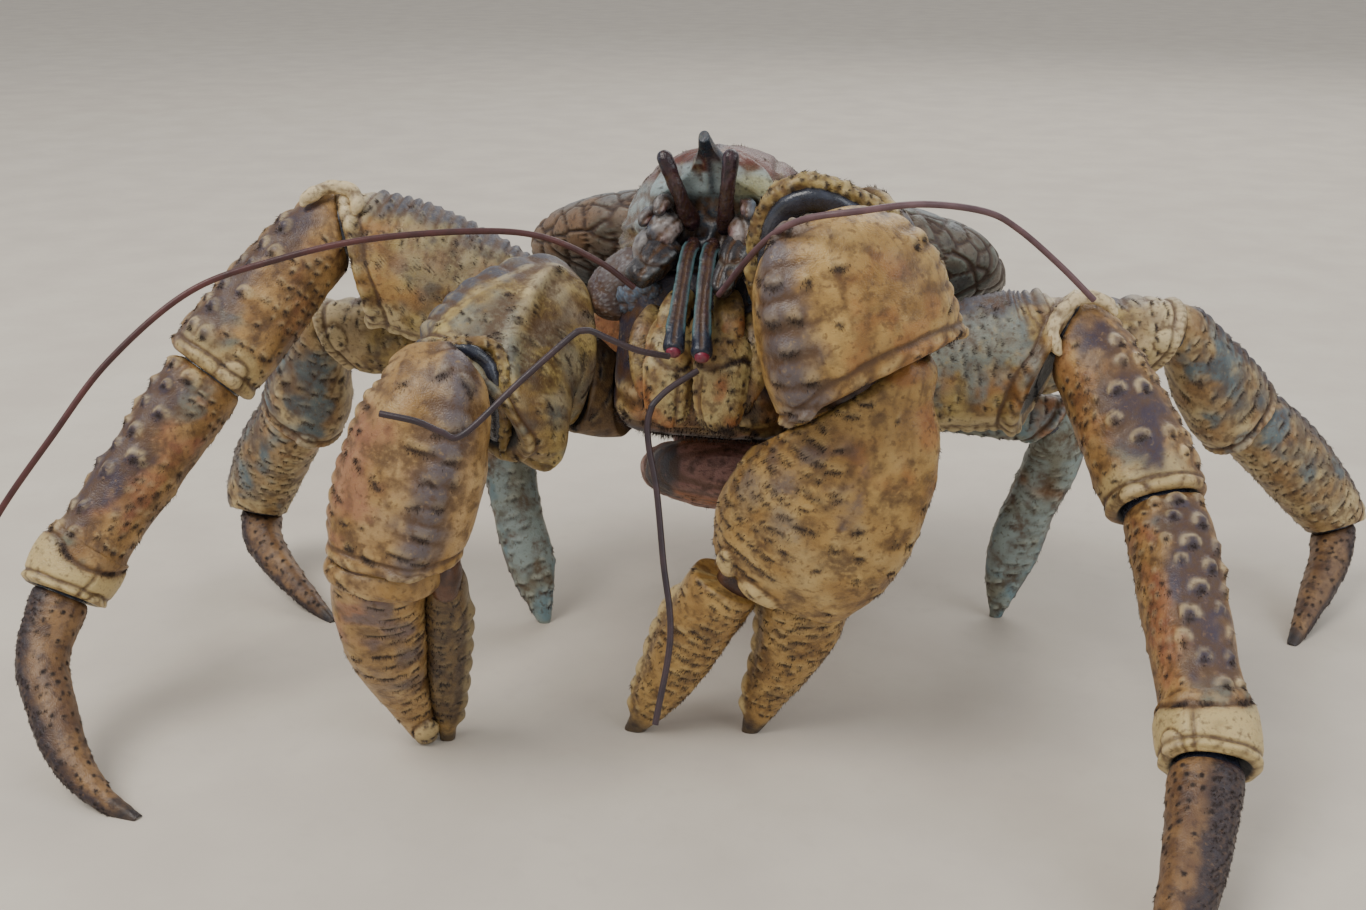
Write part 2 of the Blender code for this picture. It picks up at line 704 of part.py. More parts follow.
def make_front_leg(leg):
    """Base, merus, carpus, propodus and dactylus of a long walking leg."""
    side = leg.side
    hip = leg.root.lerp(leg.knee, 0.28)
    rings = ((0.0, 11.5, 11.5, 0.0), (0.5, 14.0, 12.0, -1.0), (1.0, 17.0, 12.5, -3.0))
    path, sizes = between(leg.root, hip, side, rings)
    base = Limb(leg.name + "_base", path, sizes, OCHRE, side).extend(8.0, 6.0)
    rooted_on_chest(base, leg.root, side)

    drop = -3.5 if side < 0 else -6.5
    rings = (
        (0.0, 17.5, 12.5, drop), (0.25, 20.5, 13.0, drop), (0.5, 23.0, 13.5, drop),
        (0.75, 23.0, 14.0, drop), (0.92, 19.0, 13.5, drop * 0.6), (1.0, 16.0, 13.0, drop * 0.4),
    )
    path, sizes = between(hip, leg.knee, side, rings)
    merus = Limb(leg.name + "_merus", path, sizes, TAN, side, corner=0.95).extend(6.0, REACH)
    join_at(base, merus, hip, leg.knee - leg.root)

    lift = 4.0 if side < 0 else 2.5
    rings = (
        (0.0, 13.0, 12.5, lift * 0.7), (0.2, 15.0, 13.5, lift), (0.4, 16.0, 14.0, lift),
        (0.6, 17.0, 14.0, lift * 0.8), (0.8, 17.5, 14.0, lift * 0.6), (1.0, 16.5, 13.5, lift * 0.3),
    )
    path, sizes = between(leg.knee, leg.wrist, side, rings)
    carpus = Limb(leg.name + "_carpus", path, sizes, OCHRE, side).extend()
    join_at(merus, carpus, leg.knee, bend_plane(leg.root, leg.knee, leg.wrist))

    lift = 1.5 if side < 0 else 2.5
    rings = (
        (0.0, 13.5, 12.5, lift * 0.4), (0.15, 14.2, 13.5, lift), (0.45, 13.6, 13.0, lift),
        (0.74, 13.4, 12.5, lift), (0.8, 15.4, 13.8, lift), (0.92, 15.6, 13.8, lift * 0.7),
        (1.0, 14.0, 12.5, lift * 0.5),
    )
    path, sizes = between(leg.wrist, leg.ankle, side, rings)
    propodus = Limb(leg.name + "_propodus", path, sizes, OCHRE, side).extend()
    join_at(carpus, propodus, leg.wrist, bend_plane(leg.knee, leg.wrist, leg.ankle))
    toe = make_toe(leg, propodus, BROWN)

    merus.rows(spread(12), (0,), 2.2, 2.0)
    merus.rows(spread(3), (55, 120), 1.6, 2.0, segments=3)
    merus.rows(spread(4), (180,), 1.8, 1.8, segments=3)
    merus.knob(0.84, 105, 5.0)
    carpus.rows(spread(7), (5,), 2.2, 2.0)
    carpus.rows(spread(5), (50, 90, 130), 1.8, 2.0, segments=3)
    carpus.knob(0.9, 120, 4.0)
    propodus.rows(spread(8, 0.08, 0.72), (12, 50, 90), 2.4, 2.2, lean=1.2)
    toe.rows(spread(7, 0.06, 0.86), (0, 80, 170, 280), 1.6, 1.2, segments=3)
    return base, merus, carpus, propodus, toe


def make_back_leg(leg):
    """Merus, carpus, propodus and dactylus of a shorter walking leg."""
    side = leg.side
    rings = (
        (0.0, 10.5, 10.5, 0.0), (0.15, 12.0, 11.0, 0.0), (0.35, 15.0, 11.5, 0.0),
        (0.6, 15.5, 12.0, 0.0), (0.85, 14.0, 12.0, 0.0), (1.0, 12.0, 11.0, 0.0),
    )
    path, sizes = between(leg.root, leg.knee, side, rings)
    merus = Limb(leg.name + "_merus", path, sizes, TAN, side, corner=0.95).extend(8.0, REACH)
    rooted_on_chest(merus, leg.root, side)

    rings = (
        (0.0, 10.0, 10.5, 2.0), (0.2, 11.5, 11.5, 2.0), (0.4, 14.0, 12.5, 1.0),
        (0.6, 16.5, 13.0, 0.0), (0.8, 17.5, 13.0, -0.5), (1.0, 17.0, 12.5, 0.0),
    )
    path, sizes = between(leg.knee, leg.wrist, side, rings)
    carpus = Limb(leg.name + "_carpus", path, sizes, OCHRE, side).extend()
    join_at(merus, carpus, leg.knee, bend_plane(leg.root, leg.knee, leg.wrist))

    rings = (
        (0.0, 14.0, 12.0, 2.0), (0.2, 14.8, 13.0, 3.5), (0.45, 15.2, 12.5, 4.5),
        (0.7, 14.6, 12.0, 4.5), (0.88, 13.6, 12.0, 4.0), (1.0, 12.0, 11.0, 2.0),
    )
    path, sizes = between(leg.wrist, leg.ankle, side, rings)
    propodus = Limb(leg.name + "_propodus", path, sizes, BLUE_GREY, side).extend()
    join_at(carpus, propodus, leg.wrist, bend_plane(leg.knee, leg.wrist, leg.ankle))
    toe = make_toe(leg, propodus, BROWN)

    merus.rows(spread(9), (0,), 2.0, 1.8)
    merus.rows(spread(4, 0.4, 0.9), (80,), 1.4, 1.8, segments=3)
    carpus.rows(spread(6), (5,), 2.0, 1.8)
    carpus.rows(spread(3), (60, 120), 1.6, 1.8, segments=3)
    propodus.rows(spread(6), (5, 50, 95), 2.0, 1.8, lean=1.0, segments=3)
    toe.rows(spread(5, 0.06, 0.84), (0, 90, 200), 1.5, 1.1, segments=3)
    return merus, carpus, propodus, toe


def make_small_leg(name, side, root, knee, hand_path):
    """The short fourth leg: an arm and a small pincer hand."""
    root = Vector(root)
    knee = Vector(knee)
    rings = (
        (0.0, 10.0, 9.5, 0.0), (0.2, 10.5, 9.5, 0.0), (0.5, 11.5, 9.5, 0.0),
        (0.8, 11.0, 9.5, 0.0), (1.0, 9.5, 8.5, 0.0),
    )
    path, sizes = between(root, knee, side, rings)
    arm = Limb(name + "_merus", path, sizes, TAN, side).extend(8.0, 14.0)
    rooted_on_chest(arm, root, side)
    points = [Vector(point) for point in hand_path]
    sizes = [(9.5, 8.5), (11.0, 9.0), (10.5, 8.5), (9.8, 7.0), (2.6, 2.2)]
    path, sizes = smooth_path(points, sizes, 2)
    hand = Limb(name + "_hand", path, sizes, BLUE_GREY, side, sides=10).extend(12.0, 3.0)
    join_at(arm, hand, knee, bend_plane(root, knee, path[2]))
    hand.cuts.append((FLOOR, DOWN))
    arm.rows(spread(5), (5,), 1.6, 1.6, segments=3)
    hand.rows(spread(5, 0.15, 0.8), (15, 90), 1.5, 1.5, segments=3)
    return arm, hand


def bent(name, points, sizes, colour, side, steps=2, face=FRONT, sides=12):
    """A limb piece on a smooth curve through a few points."""
    path, grown = smooth_path([Vector(point) for point in points], sizes, steps)
    return Limb(name, path, grown, colour, side, face, sides=sides)


def make_left_claw():
    """The larger claw, folded down in front of the mouth."""
    side = 1
    shoulder = Vector((33, -45, 127))
    base = bent(
        "claw_left_base", [shoulder, (43, -52, 137), (52, -57, 147)],
        [(12.5, 12.5), (13.5, 13.0), (16.0, 14.0)], OCHRE, side, steps=1,
    ).extend(8.0, 6.0)
    rooted_on_chest(base, shoulder, side)
    merus = bent(
        "claw_left_merus", [(52, -57, 147), (57, -66, 158), (53, -74, 169), (47, -81, 178)],
        [(16.0, 14.0), (18.5, 16.0), (23.5, 18.0), (27.0, 20.0)], TAN, side,
        steps=1, face=Vector((0, 1, -0.3)), sides=16,
    ).extend(6.0, 12.0, narrow=1.0)
    join_at(base, merus, Vector((52, -57, 147)), Vector((6, -6, 13)))
    carpus = bent(
        "claw_left_carpus",
        [(41, -106, 199), (46, -110, 187), (52, -110, 170), (57, -103, 151), (61, -96.5, 134)],
        [(12.0, 9.0), (25.0, 18.0), (29.5, 21.0), (30.0, 20.5), (29.0, 19.0)], OCHRE, side,
        sides=14,
    ).extend(0.0, 10.0, narrow=0.9)
    join_at(merus, carpus, Vector((53, -84, 176)), Vector((0.1, -0.92, -0.25)))
    palm = bent(
        "claw_left_palm", [(64, -87, 144), (52.5, -91, 119), (38, -86, 89), (28, -80, 70)],
        [(20.0, 13.0), (28.5, 17.0), (31.5, 20.0), (26.0, 17.0)], OCHRE, side, sides=14,
    ).extend(14.0, 0.0)
    join_at(carpus, palm, Vector((56, -92, 144)), Vector((0.50, -0.19, -0.84)))
    fixed = bent(
        "fixed_finger",
        [(39, -80, 78), (35, -73, 53.5), (29, -68, 33), (21.5, -66, 15), (16, -66, 0)],
        [(16.0, 14.0), (15.0, 12.5), (11.0, 9.5), (6.8, 6.0), (3.0, 2.6)], OCHRE, side,
    ).extend(0.0, 3.0)
    fixed.cuts.append((FLOOR, DOWN))
    finger = bent(
        "claw_left_finger",
        [(11, -84, 70), (0.5, -80, 50.5), (-8, -77, 33.5), (-17, -75, 15.5), (-26, -74, 0)],
        [(12.8, 12.0), (12.5, 11.0), (11.4, 9.5), (8.0, 7.0), (3.2, 2.8)], TAN, side,
    ).extend(12.0, 3.0)
    join_at(palm, finger, Vector((21, -80, 63)), Vector((-0.45, 0.04, -0.89)))
    finger.cuts.append((FLOOR, DOWN))

    merus.rows(spread(3, 0.5, 0.85), (0, 90, 180), 2.0, 2.2)
    carpus.rows(spread(5, 0.12, 0.92), (25, 60, 95, 130), 1.8, 2.4)
    carpus.knob(0.9, 118, 4.5)
    palm.rows(spread(6, 0.05, 0.95), (35, 75, 115), 1.8, 2.4)
    fixed.rows(spread(4, 0.35, 0.85), (45, 100), 1.5, 1.8)
    finger.rows(spread(6, 0.08, 0.85), (20, 70, 120), 1.5, 1.8)
    palm.forms.append(fixed.mesh())
    palm.forms += fixed.forms
    return base, merus, carpus, palm, finger


def make_right_claw():
    """The smaller claw, hanging beside the mouth."""
    side = -1
    shoulder = Vector((-33, -46, 119))
    base = bent(
        "claw_right_base", [shoulder, (-41, -56, 123), (-49, -67, 131)],
        [(13.0, 13.0), (15.0, 13.5), (18.0, 13.0)], OCHRE, side, steps=1,
    ).extend(8.0, 6.0)
    rooted_on_chest(base, shoulder, side)
    merus = bent(
        "claw_right_merus",
        [(-49, -67, 131), (-54, -75, 138), (-62, -87, 140), (-71, -98, 138), (-77, -106, 136)],
        [(19.0, 12.5), (35.0, 14.5), (32.0, 16.5), (27.0, 17.5), (21.0, 17.5)], TAN, side,
        steps=1, sides=14,
    ).extend(6.0, 8.0)
    join_at(base, merus, Vector((-49, -67, 131)), Vector((-14, -17, 4)))
    carpus = bent(
        "claw_right_carpus",
        [(-79, -112, 152), (-77, -122, 140), (-81, -127, 124), (-87, -129, 105), (-93, -131, 88)],
        [(12.0, 9.0), (18.0, 13.5), (22.0, 16.0), (22.5, 16.0), (20.0, 15.0)], OCHRE, side,
    ).extend(0.0, 10.0)
    join_at(merus, carpus, Vector((-76, -107, 137)), Vector((-0.35, -0.83, -0.43)))
    palm = bent(
        "claw_right_palm", [(-94, -131, 86), (-97, -129, 79)],
        [(20.0, 15.0), (19.0, 14.5)], OCHRE, side, steps=1,
    ).extend(12.0, 0.0)
    join_at(carpus, palm, Vector((-93, -130, 88)), Vector((-0.1, 0.1, -0.98)))
    fixed = bent(
        "fixed_finger",
        [(-97, -129, 82), (-101, -123, 66), (-102, -117, 48), (-103, -108, 31), (-101, -101, 14),
         (-98, -98, 0)],
        [(15.5, 13.5), (15.5, 13.0), (14.0, 12.0), (11.0, 9.5), (7.0, 6.0), (3.0, 2.8)],
        OCHRE, side,
    ).extend(0.0, 3.0)
    fixed.cuts.append((FLOOR, DOWN))
    finger = bent(
        "claw_right_finger",
        [(-77, -121, 80), (-78, -116.5, 66), (-81.5, -110, 48), (-86, -102, 28), (-90, -96, 12),
         (-91, -95, 0)],
        [(5.6, 9.5), (5.8, 9.5), (5.6, 8.5), (5.0, 7.0), (3.8, 4.8), (2.6, 2.8)], TAN, side,
    ).extend(10.0, 3.0)
    join_at(palm, finger, Vector((-92, -127, 77)), Vector((-0.1, 0.15, -0.98)))
    finger.cuts.append((FLOOR, DOWN))

    merus.rows(spread(5, 0.15, 0.85), (5,), 2.0, 2.0)
    merus.rows(spread(2, 0.4, 0.75), (50, 95), 1.6, 2.0)
    carpus.rows(spread(5, 0.15, 0.92), (25, 70, 115), 1.8, 2.2)
    fixed.rows(spread(5, 0.12, 0.85), (25, 75, 125), 1.5, 1.9)
    finger.rows(spread(4, 0.15, 0.75), (60, 110), 1.3, 1.4)
    palm.forms.append(fixed.mesh())
    palm.forms += fixed.forms
    return base, merus, carpus, palm, finger


def main():
    random.seed(SEED)
    clear_scene()
    parts = bpy.data.collections.new("coconut_crab")
    bpy.context.scene.collection.children.link(parts)
    crab = bpy.data.objects.new("crab_frame", None)
    parts.objects.link(crab)

    make_shield(parts, crab)
    make_midline(parts, crab)
    make_gill_cover(parts, crab, "gill_cover_right", -1)
    make_gill_cover(parts, crab, "gill_cover_left", 1)
    make_chest(parts, crab)
    make_abdomen(parts, crab)

    limbs = make_head()
    limbs += make_feelers(limbs)
    for leg in FRONT_LEGS:
        limbs += make_front_leg(leg)
    for leg in BACK_LEGS:
        limbs += make_back_leg(leg)
    limbs += make_small_leg(
        "leg_4_right", -1, (-33, 40, 102), (-110, 58, 90),
        [(-110, 58, 90), (-111, 38, 72), (-102, 22, 46), (-92, 10, 23), (-85, 4, 0)],
    )
    limbs += make_small_leg(
        "leg_4_left", 1, (33, 44, 100), (118, 46, 92),
        [(118, 46, 92), (121, 53, 76), (113, 57, 50), (106, 55, 24), (102, 51, 0)],
    )
    limbs += make_left_claw()
    limbs += make_right_claw()
    for limb in limbs:
        obj = new_object(limb.name, limb.mesh(), parts, limb.colour, limb.origin, crab)
        if limb.forms:
            fuse(obj, limb.forms)


main()
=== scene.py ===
"""Looks of the life-size coconut crab, fitted over its solids: shells, feelers and joint skins."""

from __future__ import annotations

import logging
import math
from collections.abc import Callable
from dataclasses import dataclass, field, replace
from enum import IntEnum

import bpy
import numpy as np
from mathutils import Matrix, Vector


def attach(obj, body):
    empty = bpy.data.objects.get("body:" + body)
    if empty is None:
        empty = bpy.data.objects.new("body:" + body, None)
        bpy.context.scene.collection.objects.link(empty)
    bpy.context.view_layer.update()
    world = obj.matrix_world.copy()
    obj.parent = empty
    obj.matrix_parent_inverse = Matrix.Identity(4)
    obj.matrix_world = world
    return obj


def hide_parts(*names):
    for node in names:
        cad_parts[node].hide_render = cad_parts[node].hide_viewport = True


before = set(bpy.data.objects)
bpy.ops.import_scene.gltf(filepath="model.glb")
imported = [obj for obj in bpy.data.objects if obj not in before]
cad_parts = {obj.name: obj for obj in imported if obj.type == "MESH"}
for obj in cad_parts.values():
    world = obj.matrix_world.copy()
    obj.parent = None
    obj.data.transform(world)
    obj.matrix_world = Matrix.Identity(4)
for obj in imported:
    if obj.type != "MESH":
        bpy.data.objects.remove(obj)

LOG = logging.getLogger("coconut_crab")
MM = 0.001
GAP = 0.3
REACH = 20.0
BODY = "root"

# The middle of the stance on the floor, in millimetres from the point under the chest.
CENTRE = np.array((7.5, -36.4, 0.0))

# The trunk stands at this height, turned nose up.
BODY_HEIGHT = 130.0
NOSE_UP = math.radians(22.0)
FORWARD = np.array((0.0, -math.cos(NOSE_UP), math.sin(NOSE_UP)))
UPWARD = np.array((0.0, math.sin(NOSE_UP), math.cos(NOSE_UP)))
SIDEWAYS = np.array((1.0, 0.0, 0.0))
FLOOR = (np.array((0.0, 0.0, 0.0)), np.array((0.0, 0.0, -1.0)))

# Broad sides of the limbs look this way.
FRONT = (0.2, -0.92, 0.34)

# Trunk sizes in its own frame, as the solids have them.
TRUNK_HALF_WIDTH = 33.0
HEAD_BACK = 22.0
FACE = 84.0
HEAD_FLOOR = -40.0
HEAD_TOP = 12.0
STERNUM_TOP = 2.0
STERNUM_FLOOR = -36.0
STERNUM_BACK = -62.0
MIDLINE_HALF_WIDTH = 18.0
CARAPACE_BACK = -84.0
ROSTRUM_TIP = 104.0
ABDOMEN_TURN = -100.0
ABDOMEN_END = -28.0
LOBE_CENTRE = 9.0
LOBE_RISE = 17.0

FAR = 99.0
RUN_ON_ROWS = 10
# Caps sunk deeper than this, in millimetres, are painted near black as shade inside a socket.
DARK_SINK = 0.5
CAP_RINGS = (0.08, 0.35, 0.7)

Colour = tuple[float, float, float]
Point = tuple[float, float, float]
Sizes = list[tuple[float, float]]
Plane = tuple[np.ndarray, np.ndarray]


class Side(IntEnum):
    """The animal's own sides, as signs across it."""

    RIGHT = -1
    LEFT = 1

    @property
    def word(self) -> str:
        """The side's name in a piece's name."""
        return self.name.lower()


def unit(vector: np.ndarray) -> np.ndarray:
    """Vectors scaled to length one along the last axis."""
    return vector / np.maximum(np.linalg.norm(vector, axis=-1, keepdims=True), 1e-9)


def in_body(x: np.ndarray, forward: np.ndarray, up: np.ndarray) -> np.ndarray:
    """Places given across, along and up the trunk, in millimetres."""
    x, forward, up = (np.asarray(v, float)[..., None] for v in (x, forward, up))
    return np.array((0.0, 0.0, BODY_HEIGHT)) + SIDEWAYS * x + FORWARD * forward + UPWARD * up


def path_in_body(places: tuple[Point, ...], side: int = 1, shift: float = 0.0) -> list[Point]:
    """A path given across, along and up the trunk, turned to one side."""
    return [tuple(in_body(side * (x + shift), forward, up)) for x, forward, up in places]


def to_body(points: np.ndarray) -> tuple[np.ndarray, np.ndarray, np.ndarray]:
    """The sideways, forward and upward places of points in the trunk's frame."""
    rest = points - np.array((0.0, 0.0, BODY_HEIGHT))
    return rest @ SIDEWAYS, rest @ FORWARD, rest @ UPWARD


def rounded(value: np.ndarray, power: float) -> np.ndarray:
    """A cosine or sine bent towards a squarer section."""
    return np.sign(value) * np.abs(value) ** power


def ramp(value: np.ndarray, low: float, high: float) -> np.ndarray:
    """Zero below low, one above high, smooth between."""
    t = np.clip((value - low) / (high - low), 0.0, 1.0)
    return t * t * (3.0 - 2.0 * t)


def window(value: np.ndarray, start: float, end: float, soft: float) -> np.ndarray:
    """One between start and end, zero outside, smooth over a soft width inside each."""
    return ramp(value, start, start + soft) * (1.0 - ramp(value, end - soft, end))


def bell(distance: np.ndarray, width: float) -> np.ndarray:
    """A smooth hill, one at no distance and nearly nothing past the width."""
    return np.exp(-2.5 * (distance / width) ** 2)


def peak(distance: np.ndarray, width: float) -> np.ndarray:
    """A narrower hill, for fine lines."""
    return np.exp(-((distance / width) ** 2))


def turn_apart(angle: np.ndarray, centre: float) -> np.ndarray:
    """Degrees from a centre angle, the short way round."""
    return (angle - centre + 180.0) % 360.0 - 180.0


def chance(*whole: np.ndarray, seed: int = 0) -> np.ndarray:
    """An even random number for each set of whole numbers.

    Args:
        *whole: up to three arrays of whole numbers.
        seed: the number that fixes the draw.

    Returns:
        Numbers from 0 to 1.
    """
    mixed = np.asarray(seed, np.int64) * 97531 + 11
    for number, prime in zip(whole, (374761393, 668265263, 1274126177)):
        mixed = mixed + np.asarray(number, np.int64) * prime
    mixed = mixed & 0xFFFFFFFF
    mixed = ((mixed ^ (mixed >> 13)) * 1103515245) & 0xFFFFFFFF
    mixed = mixed ^ (mixed >> 16)
    mixed = (mixed * 69069 + 12345) & 0xFFFFFFFF
    return (mixed >> 8) / float(0xFFFFFF)


def noise(points: np.ndarray, size: float, seed: int = 0) -> np.ndarray:
    """Smooth noise.

    Args:
        points: where to read it.
        size: how far apart its hills are.
        seed: the number that fixes it.

    Returns:
        Numbers from -1 to 1.
    """
    places = points / size + seed * 7.31
    base = np.floor(places).astype(np.int64)
    t = places - base
    t = t * t * (3.0 - 2.0 * t)
    total = np.zeros(points.shape[:-1])
    for corner in range(8):
        step = np.array((corner & 1, corner >> 1 & 1, corner >> 2 & 1))
        weight = np.prod(np.where(step == 1, t, 1.0 - t), axis=-1)
        cell = base + step
        total += weight * chance(cell[..., 0], cell[..., 1], cell[..., 2], seed=seed)
    return total * 2.0 - 1.0


def cell_walls(points: np.ndarray, size: float, seed: int) -> tuple[np.ndarray, np.ndarray]:
    """Distances to the nearest and second nearest of scattered centres.

    Args:
        points: places in millimetres.
        size: the usual distance between centres.
        seed: the number that fixes the scatter.

    Returns:
        The nearest and the second nearest distance at each point.
    """
    base = np.floor(points / size).astype(np.int64)
    nearest = np.full(points.shape[:-1], 1e9)
    second = nearest.copy()
    for step in np.ndindex(3, 3, 3):
        cell = base + np.array(step) - 1
        x, y, z = cell[..., 0], cell[..., 1], cell[..., 2]
        offset = np.stack([chance(x, y, z, seed=seed + n) for n in (21, 22, 23)], axis=-1)
        apart = np.linalg.norm((cell + 0.15 + 0.7 * offset) * size - points, axis=-1)
        second = np.minimum(second, np.maximum(apart, nearest))
        nearest = np.minimum(nearest, apart)
    return nearest, second


def curve_through(rows: np.ndarray, steps: int) -> np.ndarray:
    """A smooth curve through rows of numbers.

    Args:
        rows: the rows it passes through.
        steps: how many rows it has between two of them.

    Returns:
        The rows of the curve.
    """
    ends = np.vstack((rows[0] * 2 - rows[1], rows, rows[-1] * 2 - rows[-2]))
    made = []
    for i in range(len(rows) - 1):
        a, b, c, d = ends[i : i + 4]
        t = (np.arange(steps) / steps)[:, None]
        bend = (c - a) * t + (2 * a - 5 * b + 4 * c - d) * t**2 + (3 * b - a - 3 * c + d) * t**3
        made.append(b + bend * 0.5)
    made.append(rows[-1:])
    return np.vstack(made)


@dataclass
class Skin:
    """The working grid of one shell: rings of points, their places on the piece, and its marks.

    Rows run along the piece and columns run round it.
    """

    points: np.ndarray
    share: np.ndarray
    angle: np.ndarray
    along: np.ndarray
    radius: np.ndarray
    seed: int = 0
    to_root: np.ndarray | float = FAR
    to_tip: np.ndarray | float = FAR
    rise: np.ndarray = field(init=False)
    marks: dict[str, np.ndarray] = field(default_factory=dict)

    def __post_init__(self) -> None:
        """Starts with a smooth surface."""
        self.rise = np.zeros(self.share.shape)

    @property
    def length(self) -> float:
        """How long the piece is."""
        return float(self.along.max())

    @property
    def girth(self) -> float:
        """The usual distance from its middle line."""
        return float(np.median(self.radius))

    def rough(self, size: float, seed: int) -> np.ndarray:
        """Noise over the piece, with a seed of its own."""
        return noise(self.points, size, self.seed + seed)

    def mark(self, name: str, amount: np.ndarray) -> None:
        """Adds to a named mark, which keeps the strongest value at each point."""
        self.marks[name] = np.maximum(self.marks.get(name, 0.0), np.clip(amount, 0.0, 1.0))

    def across(self, degrees: float | np.ndarray) -> np.ndarray:
        """Millimetres round the piece from one angle."""
        return np.radians(turn_apart(self.angle, degrees)) * self.radius

    def sector(
        self, low: float, high: float, inner: float, outer: float, shift: np.ndarray | float = 0.0
    ) -> np.ndarray:
        """How far each point lies within a range of angles.

        Args:
            low: where the range starts, in degrees.
            high: where it ends.
            inner: how far the soft edge reaches inwards.
            outer: how far it reaches outwards.
            shift: degrees added to each point's distance from the middle.

        Returns:
            One inside, zero outside, and one all over for a full turn.
        """
        centre, half = (low + high) / 2.0, (high - low) / 2.0
        if half >= 179.0:
            return np.ones(self.share.shape)
        return 1.0 - ramp(np.abs(turn_apart(self.angle, centre)) + shift, half - inner, half + outer)

    def flow(self) -> np.ndarray:
        """The direction along the piece at each point."""
        return unit(np.gradient(self.points, axis=0))

    def weather(self) -> None:
        """Marks the hollows for painted shade, and the worn high places."""
        level = self.rise.copy()
        for _ in range(3):
            level = (level + np.roll(level, 2, 1) + np.roll(level, -2, 1)) / 3.0
            ends = np.pad(level, ((2, 2), (0, 0)), "edge")
            level = (level + ends[4:] + ends[:-4]) / 3.0
        apart = self.rise - level
        # Painted shade: points below their smoothed surroundings are marked, to be darkened in the material.
        self.mark("hollow", np.clip(-apart / 0.22, 0.0, 1.0))
        self.mark("worn", np.clip(apart / 0.45, 0.0, 1.0))

    def formed(self) -> np.ndarray:
        """Lifts the surface by all that rises from it or sinks.

        Returns:
            The grid's final points.
        """
        along = np.gradient(self.points, axis=0)
        round_it = np.roll(self.points, -1, axis=1) - np.roll(self.points, 1, axis=1)
        facing = unit(np.cross(along, round_it))
        if np.sum(facing * (self.points - self.points.mean(axis=1, keepdims=True))) < 0:
            facing = -facing
        edge = ramp(np.minimum(self.to_root, self.to_tip), 0.2, 1.6)
        return self.points + facing * (self.rise * edge)[..., None]


@dataclass(frozen=True)
class Form:
    """Something that gives a shell its surface: a ridge, knob, band or coloured zone."""

    def shape(self, skin: Skin) -> None:
        """Adds this form to a skin.

        Args:
            skin: the working grid, changed in place.
        """
        raise NotImplementedError


@dataclass(frozen=True)
class Uneven(Form):
    """A gently uneven surface."""

    height: float = 0.35
    size: float = 9.0
    fine: float = 0.07

    def shape(self, skin: Skin) -> None:
        """Adds large and small unevenness.

        Args:
            skin: the working grid.
        """
        skin.rise += self.height * skin.rough(self.size, 0)
        skin.rise += self.height * 0.4 * skin.rough(self.size * 0.37, 1)
        skin.rise += self.fine * skin.rough(1.3, 2)


@dataclass(frozen=True)
class Keel(Form):
    """A raised edge that runs along the piece, with teeth when it has any."""

    degrees: float
    width: float = 5.0
    height: float = 1.6
    start: float = 0.0
    end: float = 1.0
    teeth: int = 0
    tooth: float = 0.9
    ribs: float = 0.0
    twist: float = 0.0

    def shape(self, skin: Skin) -> None:
        """Raises the edge, its teeth and the ribs that run down from them.

        Args:
            skin: the working grid.
        """
        inside = window(skin.share, self.start, self.end, 0.08)
        offset = skin.across(self.degrees + self.twist * skin.share)
        ridge = bell(offset, self.width) * inside
        skin.rise += self.height * ridge
        if self.teeth:
            wave = (skin.share - self.start) / (self.end - self.start) * self.teeth
            bump = np.abs(np.sin(math.pi * wave)) ** 0.7
            reach = bell(offset, self.width * (1.0 + 2.2 * self.ribs)) * inside
            skin.rise += self.tooth * (bump - 0.4) * reach
            skin.mark("groove", (1.0 - bump) ** 2 * reach * 0.8)
        skin.mark("crest", ridge)


@dataclass(frozen=True)
class Cells(Form):
    """A form in staggered cells, with rows along the piece and columns round it."""

    pitch: float = 6.0
    width: float = 5.0
    height: float = 0.6
    low: float = 0.0
    high: float = 360.0
    start: float = 0.05
    end: float = 0.95
    chance: float = 0.8

    def around(self, skin: Skin) -> int:
        """How many cells go round the piece."""
        return max(3, round(math.tau * skin.girth / self.width))

    def cell(
        self, skin: Skin, along: np.ndarray, angle: np.ndarray
    ) -> tuple[np.ndarray, np.ndarray, np.ndarray]:
        """Finds the cell of each point.

        Args:
            skin: the working grid.
            along: how far along the piece each point counts as.
            angle: the angle it counts as.

        Returns:
            Its row, its column, and the column of its middle with the stagger taken off.
        """
        around = self.around(skin)
        row = np.floor(along / self.pitch)
        shift = 0.5 * (row % 2)
        column = np.floor(angle % 360.0 / 360.0 * around + shift)
        return row, column % around, column - shift + 0.5

    def holds(self, skin: Skin, row: np.ndarray, middle: np.ndarray) -> np.ndarray:
        """Tells which cells lie in the form's range.

        Args:
            skin: the working grid.
            row: each point's row.
            middle: the angle of its cell's middle.

        Returns:
            True inside the range.
        """
        reach = (row + 0.5) * self.pitch / max(skin.length, 1.0)
        apart = np.abs(turn_apart(middle, (self.low + self.high) / 2.0))
        return (reach > self.start) & (reach < self.end) & (apart <= (self.high - self.low) / 2.0)


